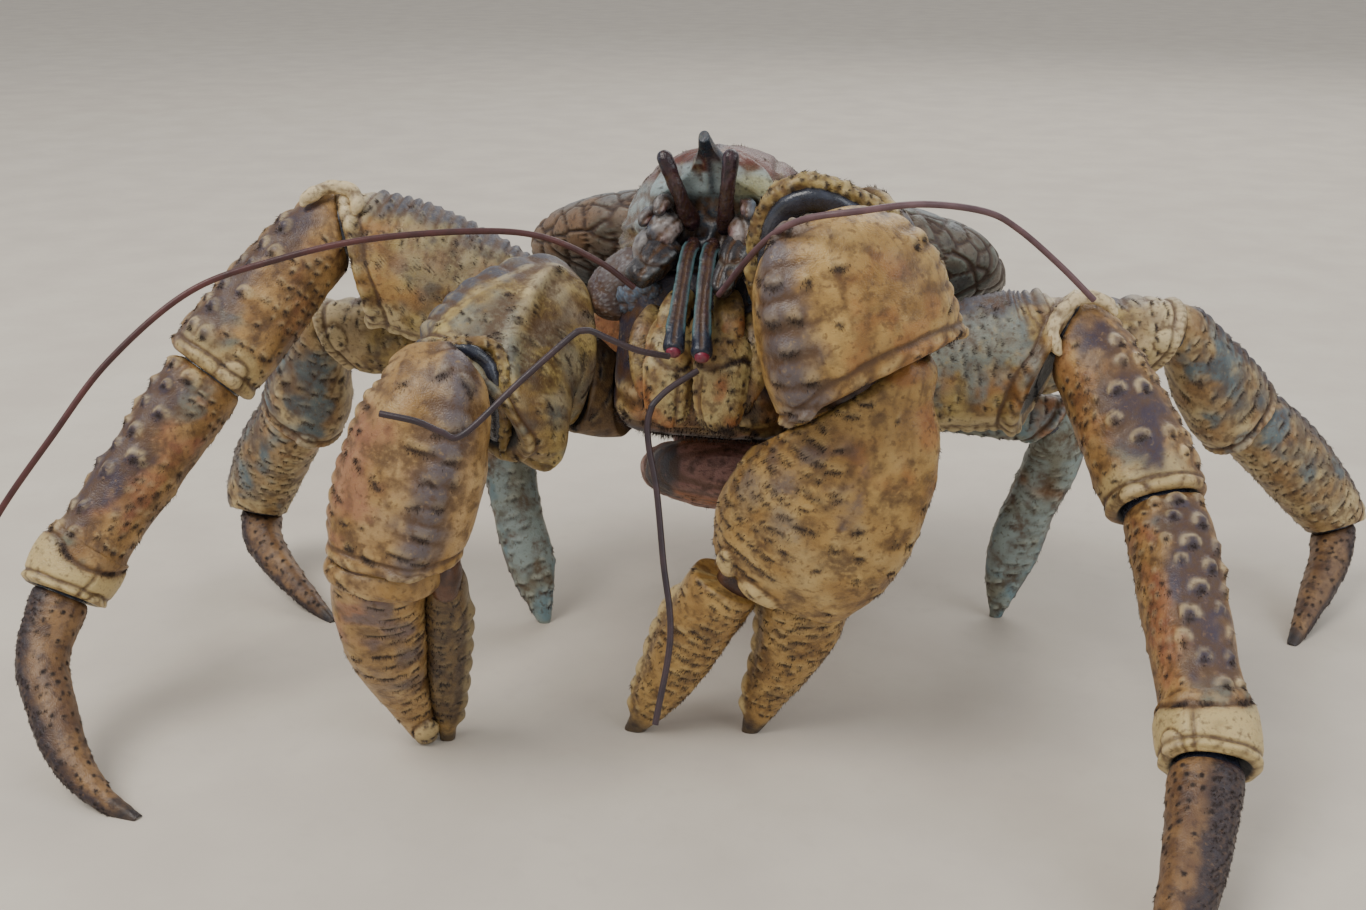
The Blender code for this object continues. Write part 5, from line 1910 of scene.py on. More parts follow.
        skin = lofted(name, self.gill_cover, rows, 250, section)
        places = skin.points + np.stack([noise(skin.points, 9.0, n) for n in (31, 32, 33)], axis=-1)
        nearest, second = cell_walls(places, 10.5, skin.seed)
        wall = second - nearest
        seam = peak(wall, 0.75)
        skin.rise += 0.35 * ramp(wall, 0.0, 2.4) - 0.7 * seam + 0.12 * noise(skin.points, 5.0, 7)
        skin.rise += 0.5 * noise(skin.points, 22.0, 9) + 0.06 * noise(skin.points, 1.6, 10)
        # Painted shade in the seams between the plates.
        skin.mark("groove", seam)
        skin.mark("dark", seam * 0.6)
        rim = 0.3 + 0.6 * ramp(noise(skin.points, 8.0, 3), -0.2, 0.4)
        skin.mark("pale", bell(wall - 1.7, 0.9) * rim * (0.7 if side is Side.LEFT else 0.4))
        up = to_body(skin.points)[2]
        top = ramp(up, 40.0, 52.0) * ramp(noise(skin.points, 10.0, 4), -0.5, 0.2)
        warm = 0.15 if side is Side.LEFT else 0.62
        skin.mark("flush", warm * ramp(noise(skin.points, 14.0, 6), -0.5, 0.3))
        skin.mark("band", np.maximum(0.75 * top, ramp(-up, -34.0, -22.0) * 0.6))
        skin.mark("stain", ramp(noise(skin.points, 3.0, 8), 0.2, 0.6) * 0.7)
        workshop.raise_shell(name, skin, COVER_SHELL, (name,), bristles=None)


@dataclass
class Chest:
    """The head base and the sternum, which carry every limb."""

    head: tuple[tuple[float, ...], ...] = (
        (HEAD_BACK + GAP, TRUNK_HALF_WIDTH, STERNUM_FLOOR), (56.0, TRUNK_HALF_WIDTH, HEAD_FLOOR),
        (70.0, 31.0, HEAD_FLOOR), (79.0, 26.0, -36.0), (FACE, 21.0, -28.0),
    )

    def build(self, workshop: Workshop) -> None:
        """Dresses the head base, its cheeks and the sternum.

        Args:
            workshop: what makes the shells.
        """
        self.build_head_base(workshop)
        for side in Side:
            self.build_cheek(workshop, side)
        self.build_sternum(workshop)

    def build_head_base(self, workshop: Workshop) -> None:
        """Dresses the head base, with its mottled cheeks and its hairy lower edge.

        Args:
            workshop: what makes the shells.
        """
        top = HEAD_TOP - GAP

        def section(angles: np.ndarray, forward: float, width: float, low: float) -> np.ndarray:
            """One ring of the head base."""
            return oval_section(angles, forward, width, (top + low) / 2, (top - low) / 2, 0.35)

        skin = lofted("head_base", self.head, np.linspace(HEAD_BACK + GAP, FACE, 80), 190, section)
        nearest, second = cell_walls(skin.points, 6.0, 4)
        fold = np.sin(skin.points[..., 2] * 0.7 + 2.0 * noise(skin.points, 8.0, 3))
        skin.rise += 0.5 * noise(skin.points, 7.0, 2) + 0.35 * fold + 0.3 * ramp(second - nearest, 0, 2)
        skin.mark("groove", ramp(-fold, 0.4, 0.9) * 0.6)
        x, forward, up = to_body(skin.points)
        cloud = noise(skin.points, 7.0, 5)
        dark = np.maximum(ramp(np.abs(x) + 3.0 * cloud, 13.0, 17.0), ramp(up + 3.0 * cloud, -6.0, 0.0))
        dark = np.maximum(dark * ramp(up + 4.0 * cloud, -28.0, -20.0), 1.0 - ramp(forward, 70.0, 76.0))
        skin.mark("band", dark)
        skin.mark("blue", ramp(noise(skin.points, 10.0, 5), 0.0, 0.3) * 0.5 * dark)
        skin.mark("flush", ramp(cloud, 0.1, 0.5) * 0.5)
        skin.mark("tuft", ramp(-up + 2.0 * cloud, 30.0, 36.0) * ramp(noise(skin.points, 2.5, 8), 0.0, 0.4))
        hair = Cover(density=1.6, length=2.4, lean=0.8)
        workshop.bristles("face", [
            workshop.raise_shell("head_base", skin, FACE_SHELL, ("head_base",), bristles=hair)
        ])

    @staticmethod
    def build_cheek(workshop: Workshop, side: Side) -> None:
        """Dresses one cheek lobe and the strap that runs from it to the mouth.

        Args:
            workshop: what makes the shells.
            side: the side it is on.
        """
        name = "cheek_" + side.word
        lobe = free_limb(
            name, path_in_body(
                ((23, 77, 19), (28, 74, 14), (32.5, 69.5, 9.5), (36, 66, 5), (38, 63.5, 0)), side
            ),
            [(4.5, 4.5), (7.5, 6.5), (9.5, 8.5), (10.5, 8.8), (8.5, 6.5)], side,
            (float(side), -0.5, 0.2), End(4.0, 0.7), End(4.0, 0.4),
        )
        workshop.shell(lobe, CHEEK_SHELL, (
            Uneven(0.5, 6.0), Grains(1.5, 0.3, pale=0.55), Zone("flush", 90, 180, 0.72, 1.3, strength=0.7),
            Zone("pale", 90, 60, 0.1, 0.5, strength=0.3), Streaks(5.0, 1.2),
        ), (), 0.5, None)
        strap = free_limb(
            name + "_strap",
            path_in_body(((29, 73, 5), (24, 78, 4.5), (18.5, 82, 6.5), (15, 85, 8)), side),
            [(6.0, 5.5), (5.0, 4.6), (4.6, 4.2), (3.4, 3.2)], side,
            (0.0, -1.0, 0.3), End(3.0, 0.7), End(2.5, 0.8),
        )
        workshop.shell(strap, CHEEK_SHELL, (
            Uneven(0.7, 3.5, 0.3), Zone("blue", 90, 150, 0.1, 1.1, broken=0.5),
            Grains(1.2, 0.25, pale=0.5), Furrow(60, depth=0.8, bend=2.0),
        ), (), 0.45, None)

    @staticmethod
    def build_sternum(workshop: Workshop) -> None:
        """Dresses the underside of the chest, with its cross seams.

        Args:
            workshop: what makes the shells.
        """
        middle, high = (STERNUM_TOP + STERNUM_FLOOR) / 2, (STERNUM_TOP - STERNUM_FLOOR) / 2
        stations = tuple((f, TRUNK_HALF_WIDTH, middle) for f in (HEAD_BACK, -6.0, -34.0, STERNUM_BACK))

        def block(angles: np.ndarray, forward: float, width: float, centre: float) -> np.ndarray:
            """One ring of the sternum."""
            return oval_section(angles, forward, width, centre, high, 0.35)

        skin = lofted("sternum", stations, np.linspace(STERNUM_BACK, HEAD_BACK, 84), 190, block)
        forward = to_body(skin.points)[1]
        line = ramp(np.abs((forward + 62.0) % 21.0 - 10.5) - 9.3, 0.0, 1.2)
        skin.rise += 0.5 * noise(skin.points, 9.0, 2) - 1.0 * line
        skin.mark("groove", line)
        workshop.raise_shell("sternum", skin, CHEST_SHELL, ("sternum",), bristles=None)


@dataclass
class Abdomen:
    """The soft hind body in four lengths, folded under the chest, with overlapping plates."""

    lengths: tuple[tuple[str, tuple[tuple[float, ...], ...]], ...] = (
        ("abdomen_back", (
            (STERNUM_BACK - GAP, 38.0, -10.5, 24.5), (-73.0, 42.5, -11.0, 26.5),
            (-74.0, 40.5, -11.0, 24.5), (-86.0, 45.5, -11.0, 26.8), (-87.0, 43.5, -11.0, 24.8),
            (ABDOMEN_TURN + GAP, 47.0, -11.5, 26.8),
        )),
        ("abdomen_turn", (
            (ABDOMEN_TURN, 45.5, -25.0, 38.5), (-112.0, 48.0, -25.0, 39.0), (-113.0, 46.0, -25.0, 37.0),
            (-126.0, 43.5, -25.0, 33.5), (-127.0, 41.5, -25.0, 31.5), (-138.0, 33.0, -25.0, 23.0),
            (-145.0, 20.0, -25.0, 13.0), (-148.0, 8.0, -25.0, 5.0),
        )),
        ("abdomen_under", (
            (ABDOMEN_TURN + GAP, 46.0, -51.5, 13.0), (-78.0, 47.0, -52.0, 13.5),
            (-52.0, 45.0, -51.5, 13.5), (ABDOMEN_END, 42.0, -51.0, 13.0),
        )),
        ("abdomen_end", (
            (ABDOMEN_END + GAP, 42.0, -51.0, 13.0), (-10.0, 38.0, -51.0, 13.0),
            (4.0, 32.0, -50.5, 12.0), (13.0, 22.0, -50.0, 9.0), (18.0, 10.0, -50.0, 5.0),
        )),
    )

    def build(self, workshop: Workshop) -> None:
        """Dresses the four lengths.

        Args:
            workshop: what makes the shells.
        """
        grown = []
        for name, stations in self.lengths:
            ends = sorted((stations[0][0], stations[-1][0]))
            count = int((ends[1] - ends[0]) / 0.7)
            skin = lofted(name, stations, np.linspace(ends[0], ends[1], count), 200, oval_section)
            x, forward, up = to_body(skin.points)
            fold = np.sin(forward * 1.1 + 2.4 * noise(skin.points, 11.0, 3))
            skin.rise += 0.9 * noise(skin.points, 12.0, 2) + 0.35 * fold + 0.4 * noise(skin.points, 3.0, 5)
            if name == "abdomen_end":
                skin.rise *= 1.0 - 0.85 * ramp(forward, -2.0, 6.0)
                skin.mark("flush", ramp(forward, -6.0, 2.0) * (1.0 - ramp(forward, 6.0, 11.0)) * 0.9)
                side = ramp(-x + noise(skin.points, 5.0, 9) * 4, 17.0, 21.0)
                skin.mark("band", side * ramp(forward, -8, 0))
            plates = ramp(up, -16.0, -8.0) if name in ("abdomen_back", "abdomen_turn") else 0.0 * up
            skin.mark("groove", ramp(-fold, 0.3, 0.9) * 0.6)
            skin.mark("pale", plates * ramp(noise(skin.points, 9.0, 6), -0.2, 0.5) * 0.5)
            skin.mark("tuft", ramp(noise(skin.points, 2.2, 8), 0.55, 0.75) * 0.6)
            grown.append(workshop.raise_shell(
                name, skin, BELLY_SKIN, (name,), bristles=Cover(density=1.0, length=1.5),
            ))
        workshop.bristles("abdomen", grown)


@dataclass(frozen=True)
class Joints:
    """Joint places of one walking leg, from the chest to the toe."""

    root: Point
    knee: Point
    wrist: Point
    ankle: Point
    toe: tuple[Point, ...]
    toe_sizes: tuple[tuple[float, float], ...]


@dataclass
class WalkingLeg:
    """What the second and third legs share: their joints, their toe and their joint skins."""

    name: str
    side: Side
    joints: Joints

    def places(self) -> list[np.ndarray]:
        """The root, knee, wrist and ankle."""
        j = self.joints
        return [np.array(place, float) for place in (j.root, j.knee, j.wrist, j.ankle)]

    def piece(
        self, word: str, start: np.ndarray, end: np.ndarray,
        rings: tuple[tuple[float, float, float, float], ...], **settings: object,
    ) -> Limb:
        """One piece of the leg, straight between two joints."""
        return between(f"{self.name}_{word}", start, end, self.side, rings, **settings)

    def toe(self, propodus: Limb) -> Limb:
        """The last piece of the leg, cut flat where it stands on the floor.

        Args:
            propodus: the piece before it.

        Returns:
            The piece.
        """
        places = self.joints.toe
        toe = Limb(
            self.name + "_dactylus", list(places), list(self.joints.toe_sizes), self.side,
            run_on=(12.0, 3.0), tip=PLAIN_END,
        )
        _, _, wrist, ankle = self.places()
        rows, low, _ = toe.line()
        step = int(round((len(rows) - RUN_ON_ROWS - 1) / (len(places) - 1)))
        join_at(propodus, toe, ankle, bend_plane(wrist, ankle, rows[low + step, :3]))
        toe.cuts.append(FLOOR)
        return toe

    def dress_joints(self, workshop: Workshop, pieces: list[Limb]) -> None:
        """Puts soft skin in the knee, the wrist and the ankle.

        Args:
            workshop: what makes the shells.
            pieces: the leg's pieces in order, the last four from the merus to the toe.
        """
        workshop.soft_joints(self.name + "_joint_skin", [
            after.joint_skin(place, before.cuts[-1][1])
            for before, after, place in zip(pieces[-4:-1], pieces[-3:], self.places()[1:])
        ], SOFT_JOINT)


@dataclass
class FrontLeg(WalkingLeg):
    """A long second leg: base, merus, carpus, propodus and dactylus."""

    merus_drop: float = -3.5
    carpus_lift: float = 4.0
    propodus_lift: float = 1.5
    band: float = 38.0
    coil: tuple[Point, ...] = ()
    bloom: float = 0.25

    def parts(self) -> list[Limb]:
        """Makes the five pieces, cut where they meet.

        Returns:
            The pieces from the base to the toe.
        """
        root, knee, wrist, ankle = self.places()
        hip = root + (knee - root) * 0.28
        base = self.piece(
            "base", root, hip,
            ((0.0, 11.5, 11.5, 0.0), (0.5, 14.0, 12.0, -1.0), (1.0, 17.0, 12.5, -3.0)),
            run_on=(8.0, 6.0), root=PLAIN_END,
        )
        base.cuts.append(chest_cut(self.joints.root, self.side))
        drop = self.merus_drop
        merus = self.piece(
            "merus", hip, knee,
            ((0.0, 17.5, 12.5, drop), (0.25, 20.5, 13.0, drop), (0.5, 23.0, 13.5, drop),
             (0.75, 23.0, 14.0, drop), (0.92, 19.0, 13.5, drop * 0.6),
             (1.0, 16.0, 13.0, drop * 0.4)),
            run_on=(6.0, REACH), corner=0.95, root=SHORT_ROOT,
        )
        join_at(base, merus, hip, knee - root)
        lift = self.carpus_lift
        carpus = self.piece(
            "carpus", knee, wrist,
            ((0.0, 13.0, 12.5, lift * 0.7), (0.2, 15.0, 13.5, lift), (0.4, 16.0, 14.0, lift),
             (0.6, 17.0, 14.0, lift * 0.8), (0.8, 17.5, 14.0, lift * 0.6),
             (1.0, 16.5, 13.5, lift * 0.3)),
        )
        join_at(merus, carpus, knee, bend_plane(root, knee, wrist))
        lift = self.propodus_lift
        propodus = self.piece(
            "propodus", wrist, ankle,
            ((0.0, 13.5, 12.5, lift * 0.4), (0.15, 14.2, 13.5, lift), (0.45, 13.6, 13.0, lift),
             (0.74, 13.4, 12.5, lift), (0.8, 15.4, 13.8, lift), (0.92, 15.6, 13.8, lift * 0.7),
             (1.0, 14.0, 12.5, lift * 0.5)),
        )
        join_at(carpus, propodus, wrist, bend_plane(knee, wrist, ankle))
        return [base, merus, carpus, propodus, self.toe(propodus)]

    def build(self, workshop: Workshop) -> None:
        """Dresses the leg.

        Args:
            workshop: what makes the shells.
        """
        pieces = self.parts()
        base, merus, carpus, propodus, toe = pieces
        band = self.band
        grown = [
            workshop.shell(base, OCHRE_SHELL, (
                Uneven(0.5, 9.0), Squamae(6.0, 7.0, 0.5, chance=0.6), Zone("flush", 90, 60, strength=0.5),
                Keel(0, 4.0, 1.4, teeth=4), Streaks(),
            )),
            workshop.shell(merus, MERUS_SHELL, (
                Uneven(0.6, 12.0), Keel(0, 7.5, 1.8, teeth=20, tooth=1.8, ribs=0.9),
                Keel(180, 4.0, 1.4, teeth=13, tooth=0.9), Zone("band", 0, 44, size=9.0, broken=0.5),
                Zone("blue", 62, 44, 0.05, 0.75, strength=self.bloom, broken=0.6),
                Zone("pale", 176, 26, strength=0.75, broken=0.5),
                Zone("flush", 100, 40, 0.2, 0.9, strength=0.5, broken=0.8),
                Squamae(4.6, 4.2, 0.35, 25, 165, chance=0.5, tuft=0.95, pale=0.3, cluster=0.4),
                Squamae(7.0, 7.0, 0.5, 195, 345, chance=0.7), Streaks(12.0, 1.4),
                Swell(0.92, 112, 6.5, 5.5, 2.4, ring=0.45), Swell(0.99, 152, 5.0, 4.0, 2.2),
                Zone("collar", 100, 180, 0.95, 1.3, strength=0.85), Rim(2.6, 4.4, 22, 3.4),
            )),
            workshop.shell(carpus, OCHRE_SHELL, (
                Uneven(0.6, 11.0), Keel(2, 6.0, 1.2, teeth=9, tooth=1.3, ribs=0.4),
                Zone("band", band, 26, 0.05, 0.93, broken=0.6, size=11.0),
                Tubercles(9.5, 8.0, 1.3, band - 34, band + 30, 0.1, 0.9, 0.8),
                Squamae(4.6, 4.6, 0.4, band + 32, 185, chance=0.5, pale=0.4, cluster=0.4),
                Squamae(5.5, 5.5, 0.5, band - 110, band - 36, chance=0.75, pale=0.5),
                Squamae(7.0, 7.0, 0.5, 190, 290, chance=0.6),
                Zone("collar", 120, 70, 0.82, 1.3, strength=0.7, broken=0.6),
                Zone("flush", 150, 34, 0.1, 0.6, strength=0.25, broken=0.7), Streaks(),
                Zone("blue", band + 20, 24, 0.66, 0.9, strength=0.7, broken=0.8),
                Swell(0.94, 124, 6.0, 5.0, 1.3, ring=0.25), Rim(0.9, 2.4, 9),
            )),
            workshop.shell(propodus, OCHRE_SHELL, (
                Uneven(0.4, 10.0), Zone("band", band, 34, 0.06, 0.76, broken=0.6, size=9.0),
                Zone("blue", band + 34, 26, 0.0, 0.2, strength=0.8, broken=0.8),
                Zone("blue", band, 34, 0.74, 0.84, strength=0.7, broken=0.8),
                Tubercles(8.6, 7.6, 1.5, band - 48, band + 36, 0.04, 0.78, 0.95),
                Squamae(4.8, 4.6, 0.45, band + 40, 190, 0.03, 0.76, chance=0.6, pale=0.5, cluster=0.3),
                Squamae(5.6, 5.4, 0.6, 195, 310, 0.03, 0.78, chance=0.8),
                Zone("flush", band + 58, 30, 0.05, 0.7, strength=0.5, broken=0.8), Streaks(10, 1.2),
                Collar(0.81, 1.2, 0.45), Furrow(122, 0.84, 1.1, 0.7, 0.8),
                Swell(0.95, 156, 4.5, 4.5, 1.4, ring=0.3), Rim(0.7, 1.8, 14, 1.8),
            )),
            workshop.shell(toe, TOE_SHELL, toe_forms(band), cell=0.5, bristles=TOE_HAIR),
        ]
        if self.coil:
            coil = rope(self.name + "_knee_edge", self.coil, (2.4, 2.3), FRONT, self.side)
            grown.append(workshop.shell(coil, MERUS_SHELL, (
                Uneven(0.5, 4.0), Zone("collar", 90, 180, -0.2, 1.2, strength=0.8), Streaks(4.0, 1.0),
            ), (), 0.5))
        workshop.bristles(self.name, grown)
        self.dress_joints(workshop, pieces)


def toe_forms(band: float = 40.0) -> tuple[Form, ...]:
    """The close dark grains of a walking toe, thick on its outer edge, and its horny tip.

    Args:
        band: the angle of the thickest grains.

    Returns:
        The forms.
    """
    return (
        Uneven(0.3, 8.0), Zone("band", band - 40, 66, -0.2, 0.95, broken=0.25),
        Specks(1.6, 0.62, band - 120, band + 14, 0.02, 0.95, 0.35),
        Specks(3.2, 1.0, band + 10, band + 250, 0.02, 0.93, 0.25), Streaks(8.0, 1.0),
        Zone("dark", 0, 180, 0.93, 1.4, strength=0.8, broken=0.2),
    )


@dataclass
class BackLeg(WalkingLeg):
    """A shorter third leg: merus, carpus, propodus and dactylus."""

    def parts(self) -> list[Limb]:
        """Makes the four pieces, cut where they meet.

        Returns:
            The pieces from the merus to the toe.
        """
        root, knee, wrist, ankle = self.places()
        merus = self.piece(
            "merus", root, knee,
            ((0.0, 10.5, 10.5, 0.0), (0.15, 12.0, 11.0, 0.0), (0.35, 15.0, 11.5, 0.0),
             (0.6, 15.5, 12.0, 0.0), (0.85, 14.0, 12.0, 0.0), (1.0, 12.0, 11.0, 0.0)),
            run_on=(8.0, REACH), corner=0.95, root=PLAIN_END,
        )
        merus.cuts.append(chest_cut(self.joints.root, self.side))
        carpus = self.piece(
            "carpus", knee, wrist,
            ((0.0, 10.0, 10.5, 2.0), (0.2, 11.5, 11.5, 2.0), (0.4, 14.0, 12.5, 1.0),
             (0.6, 16.5, 13.0, 0.0), (0.8, 17.5, 13.0, -0.5), (1.0, 17.0, 12.5, 0.0)),
        )
        join_at(merus, carpus, knee, bend_plane(root, knee, wrist))
        propodus = self.piece(
            "propodus", wrist, ankle,
            ((0.0, 14.0, 12.0, 2.0), (0.2, 14.8, 13.0, 3.5), (0.45, 15.2, 12.5, 4.5),
             (0.7, 14.6, 12.0, 4.5), (0.88, 13.6, 12.0, 4.0), (1.0, 12.0, 11.0, 2.0)),
        )
        join_at(carpus, propodus, wrist, bend_plane(knee, wrist, ankle))
        return [merus, carpus, propodus, self.toe(propodus)]

    def build(self, workshop: Workshop) -> None:
        """Dresses the leg.

        Args:
            workshop: what makes the shells.
        """
        pieces = self.parts()
        merus, carpus, propodus, toe = pieces
        grown = [
            workshop.shell(merus, MERUS_SHELL, (
                Uneven(0.5, 11.0), Keel(0, 5.0, 1.5, teeth=15, tooth=1.5, ribs=0.8),
                Keel(180, 4.0, 1.0, teeth=12), Zone("band", 0, 36, broken=0.5),
                Zone("blue", 90, 70, 0.0, 0.8, strength=0.7, broken=0.8),
                Squamae(5.0, 5.0, 0.5, 20, 340, chance=0.65, pale=0.7), Streaks(),
                Swell(0.92, 110, 5.0, 4.5, 1.5, 0.5, 0.1), Zone("collar", 90, 180, 0.9, 1.3, strength=0.6),
                Rim(1.3, 2.6, 34),
            )),
            workshop.shell(carpus, CREAM_SHELL, (
                Uneven(0.5, 10.0), Keel(3, 5.5, 1.6, teeth=10, tooth=1.5, ribs=0.4),
                Zone("band", 6, 30, 0.0, 0.97, broken=0.45),
                Zone("band", 60, 50, 0.1, 0.9, strength=0.6, broken=1.0, size=5.0),
                Zone("blue", 66, 74, 0.05, 0.95, strength=0.85, broken=0.8, size=8.0),
                Squamae(7.5, 7.0, 0.4, -30, 190, chance=0.85, pale=0.3, tuft=0.9, stray=0.8),
                Squamae(6.0, 6.5, 0.5, 195, 325, chance=0.8), Swell(0.94, 122, 5.0, 4.5, 1.2, 0.4, 0.15),
                Zone("flush", 110, 60, 0.93, 1.2, strength=0.5), Streaks(), Rim(1.0, 2.2, 36),
            )),
            workshop.shell(propodus, CREAM_SHELL, (
                Uneven(0.5, 10.0), Zone("band", 8, 32, 0.0, 0.9, broken=0.45),
                Zone("band", 60, 40, 0.0, 0.7, strength=0.6, broken=1.0, size=5.0),
                Zone("blue", 58, 60, 0.0, 0.7, strength=0.85, broken=0.8, size=8.0),
                Zone("flush", 60, 180, 0.02, 0.12, strength=0.4, broken=0.7),
                Squamae(6.0, 5.4, 0.45, -34, 60, 0.03, 0.86, chance=0.92, pale=0.25),
                Squamae(4.8, 4.4, 0.4, 64, 325, 0.03, 0.82, chance=0.75, pale=0.35), Streaks(),
                Keel(4, 4.5, 1.2, 0.0, 0.9, teeth=10, tooth=1.3), Collar(0.86, 1.2, 0.4),
                Furrow(110, 0.86, 1.1),
            )),
            workshop.shell(toe, TOE_SHELL, toe_forms(), cell=0.5, bristles=TOE_HAIR),
        ]
        workshop.bristles(self.name, grown)
        self.dress_joints(workshop, pieces)


@dataclass
class SmallLeg:
    """The short fourth leg: an arm and a small pincer hand."""

    name: str
    side: Side
    root: Point
    knee: Point
    hand: tuple[Point, ...]

    def build(self, workshop: Workshop) -> None:
        """Dresses the leg.

        Args:
            workshop: what makes the shells.
        """
        root, knee = np.array(self.root, float), np.array(self.knee, float)
        arm = between(
            self.name + "_merus", root, knee, self.side,
            ((0.0, 10.0, 9.5, 0.0), (0.2, 10.5, 9.5, 0.0), (0.5, 11.5, 9.5, 0.0),
             (0.8, 11.0, 9.5, 0.0), (1.0, 9.5, 8.5, 0.0)),
            run_on=(8.0, 14.0), root=PLAIN_END,
        )
        arm.cuts.append(chest_cut(self.root, self.side))
        hand = Limb(
            self.name + "_hand", list(self.hand),
            [(9.5, 8.5), (11.0, 9.0), (10.5, 8.5), (9.8, 7.0), (2.6, 2.2)], self.side,
            run_on=(12.0, 3.0), tip=PLAIN_END,
        )
        rows, low, _ = hand.line()
        normal = bend_plane(root, knee, rows[low + 30, :3])
        join_at(arm, hand, knee, normal)
        hand.cuts.append(FLOOR)
        grown = [
            workshop.shell(arm, BLUE_SHELL, (
                Uneven(0.4, 9.0), Keel(0, 4.5, 1.2, teeth=12),
                Zone("flush", 90, 60, 0.93, 1.2, strength=0.7),
                Squamae(5.6, 6.0, 0.6, chance=0.75, pale=0.8), Streaks(), Rim(0.9, 2.0, 30),
                Zone("blue", 90, 70, 0.2, 1.0, strength=0.8, broken=0.8),
            )),
            workshop.shell(hand, BLUE_SHELL, (
                Uneven(0.5, 9.0), Squamae(5.6, 6.4, 0.6, start=0.02, chance=0.7, pale=0.7, tuft=0.7),
                Zone("blue", 90, 90, 0.1, 0.95, strength=0.8, broken=0.9), Streaks(),
                Zone("flush", 90, 60, 0.3, 0.36, strength=0.6), Zone("band", 0, 30, broken=0.5),
                Zone("pale", 100, 60, 0.1, 0.8, strength=0.4, broken=0.9),
            ), bristles=Cover(density=2.4, length=1.2)),
        ]
        workshop.bristles(self.name, grown)
        workshop.soft_joints(self.name + "_joint_skin", [hand.joint_skin(knee, normal)], SOFT_JOINT)


TOE_HAIR = Cover(density=3.0, length=0.8)
THIRD_TOE = ((9.4, 8.6), (8.2, 7.2), (6.8, 5.8), (4.8, 4.2), (2.4, 2.2))
FRONT_LEGS = (
    FrontLeg("leg_2_right", Side.RIGHT, Joints(
        (-33, -12, 121), (-147, -30, 173), (-187, -66, 123), (-226, -117, 54),
        ((-226, -117, 54), (-226, -132, 37), (-215, -146, 24), (-202, -157, 12),
         (-189, -163, 4.5), (-176, -166, 0)),
        ((10.4, 9.0), (8.8, 7.6), (8.0, 6.8), (6.4, 5.6), (4.2, 3.8), (2.4, 2.2)),
    ), band=58.0, coil=(
        (-157.3, -42.3, 182.7), (-155.4, -40.7, 185.7), (-150.9, -38.7, 188.5), (-145.0, -37.0, 189.5),
        (-139.8, -36.4, 188.2), (-137.4, -37.3, 184.4), (-138.1, -39.2, 179.6),
    )),
    FrontLeg("leg_2_left", Side.LEFT, Joints(
        (33, -12, 121), (120, 0, 141), (153, -42, 91), (168, -119, 36),
        ((168, -119, 36), (165, -138, 24), (161, -158, 16), (155, -179, 8), (149, -199, 0)),
        ((11.4, 9.6), (10.2, 8.4), (8.7, 7.0), (6.2, 5.2), (2.8, 2.4)),
    ), -6.5, 2.5, 2.5, 80.0, (
        (117.1, -16.2, 135.9), (114.7, -15.2, 139.9), (113.6, -13.6, 144.9), (115.9, -11.0, 150.6),
        (120.8, -8.5, 154.3), (126.3, -6.8, 155.6), (131.6, -6.3, 153.6), (135.4, -7.1, 149.3),
    ), 0.75),
)
BACK_LEGS = (
    BackLeg("leg_3_right", Side.RIGHT, Joints(
        (-33, 14, 111), (-166, -9, 127), (-192, 9, 81), (-227, 32, 27),
        ((-227, 32, 27), (-222, 21, 20), (-209, 9, 13), (-192, -3, 6), (-175, -14, 0)),
        THIRD_TOE,
    )),
    BackLeg("leg_3_left", Side.LEFT, Joints(
        (33, 14, 111), (160, 48, 131), (195, 77, 86), (243, 107, 31),
        ((243, 107, 31), (241, 94, 21), (235, 80, 13), (229, 66, 6.5), (223, 52, 0)),
        THIRD_TOE,
    )),
)
SMALL_LEGS = (
    SmallLeg(
        "leg_4_right", Side.RIGHT, (-33, 40, 102), (-110, 58, 90),
        ((-110, 58, 90), (-111, 38, 72), (-102, 22, 46), (-92, 10, 23), (-85, 4, 0)),
    ),
    SmallLeg(
        "leg_4_left", Side.LEFT, (33, 44, 100), (118, 46, 92),
        ((118, 46, 92), (121, 53, 76), (113, 57, 50), (106, 55, 24), (102, 51, 0)),
    ),
)


def claw_carpus_forms(ridge: float, rise: float = 1.0) -> tuple[Form, ...]:
    """What rises from the carpus of a claw.

    Args:
        ridge: the angle of its warty ridge.
        rise: how high its scales and lip stand.

    Returns:
        The forms.
    """
    return (
        Uneven(0.9, 15.0), Keel(4, 6.0, 1.2, teeth=12, tooth=1.2, ribs=0.4),
        Keel(ridge, 7.0, 1.5, -0.1, 1.05, teeth=13, tooth=1.5 * rise, ribs=rise - 0.5),
        Zone("band", ridge, 21, -0.1, 0.97, broken=0.3),
        Squamae(
            8.2, 6.4, 1.25 * rise, ridge - 19, ridge + 21, 0.0, 0.97, 0.97, 0.98, 0.85, 0.22, 0.3,
        ),
        Squamae(
            9.0, 6.6, 0.45 * rise, 12, ridge - 24, 0.04, 0.92, 0.42, 0.5, pale=0.1, cluster=0.5,
        ),
        Squamae(6.5, 6.0, 0.4, 40, ridge - 22, 0.86, 0.99, chance=0.7, pale=0.3),
        Squamae(8.0, 8.0, 0.6 * rise, 200, 330, chance=0.7),
        Zone("flush", 70, 24, 0.25, 0.6, strength=0.4, broken=0.9),
        Zone("flush", 20, 30, 0.5, 1.0, strength=0.4, broken=0.8), Streaks(14.0, 1.8, 0.3, 0.8),
        Swell(0.95, 128, 5.5, 4.5, 1.4 * rise, 0.5, 0.3), Rim(1.1 * rise, 2.6, 22),
    )


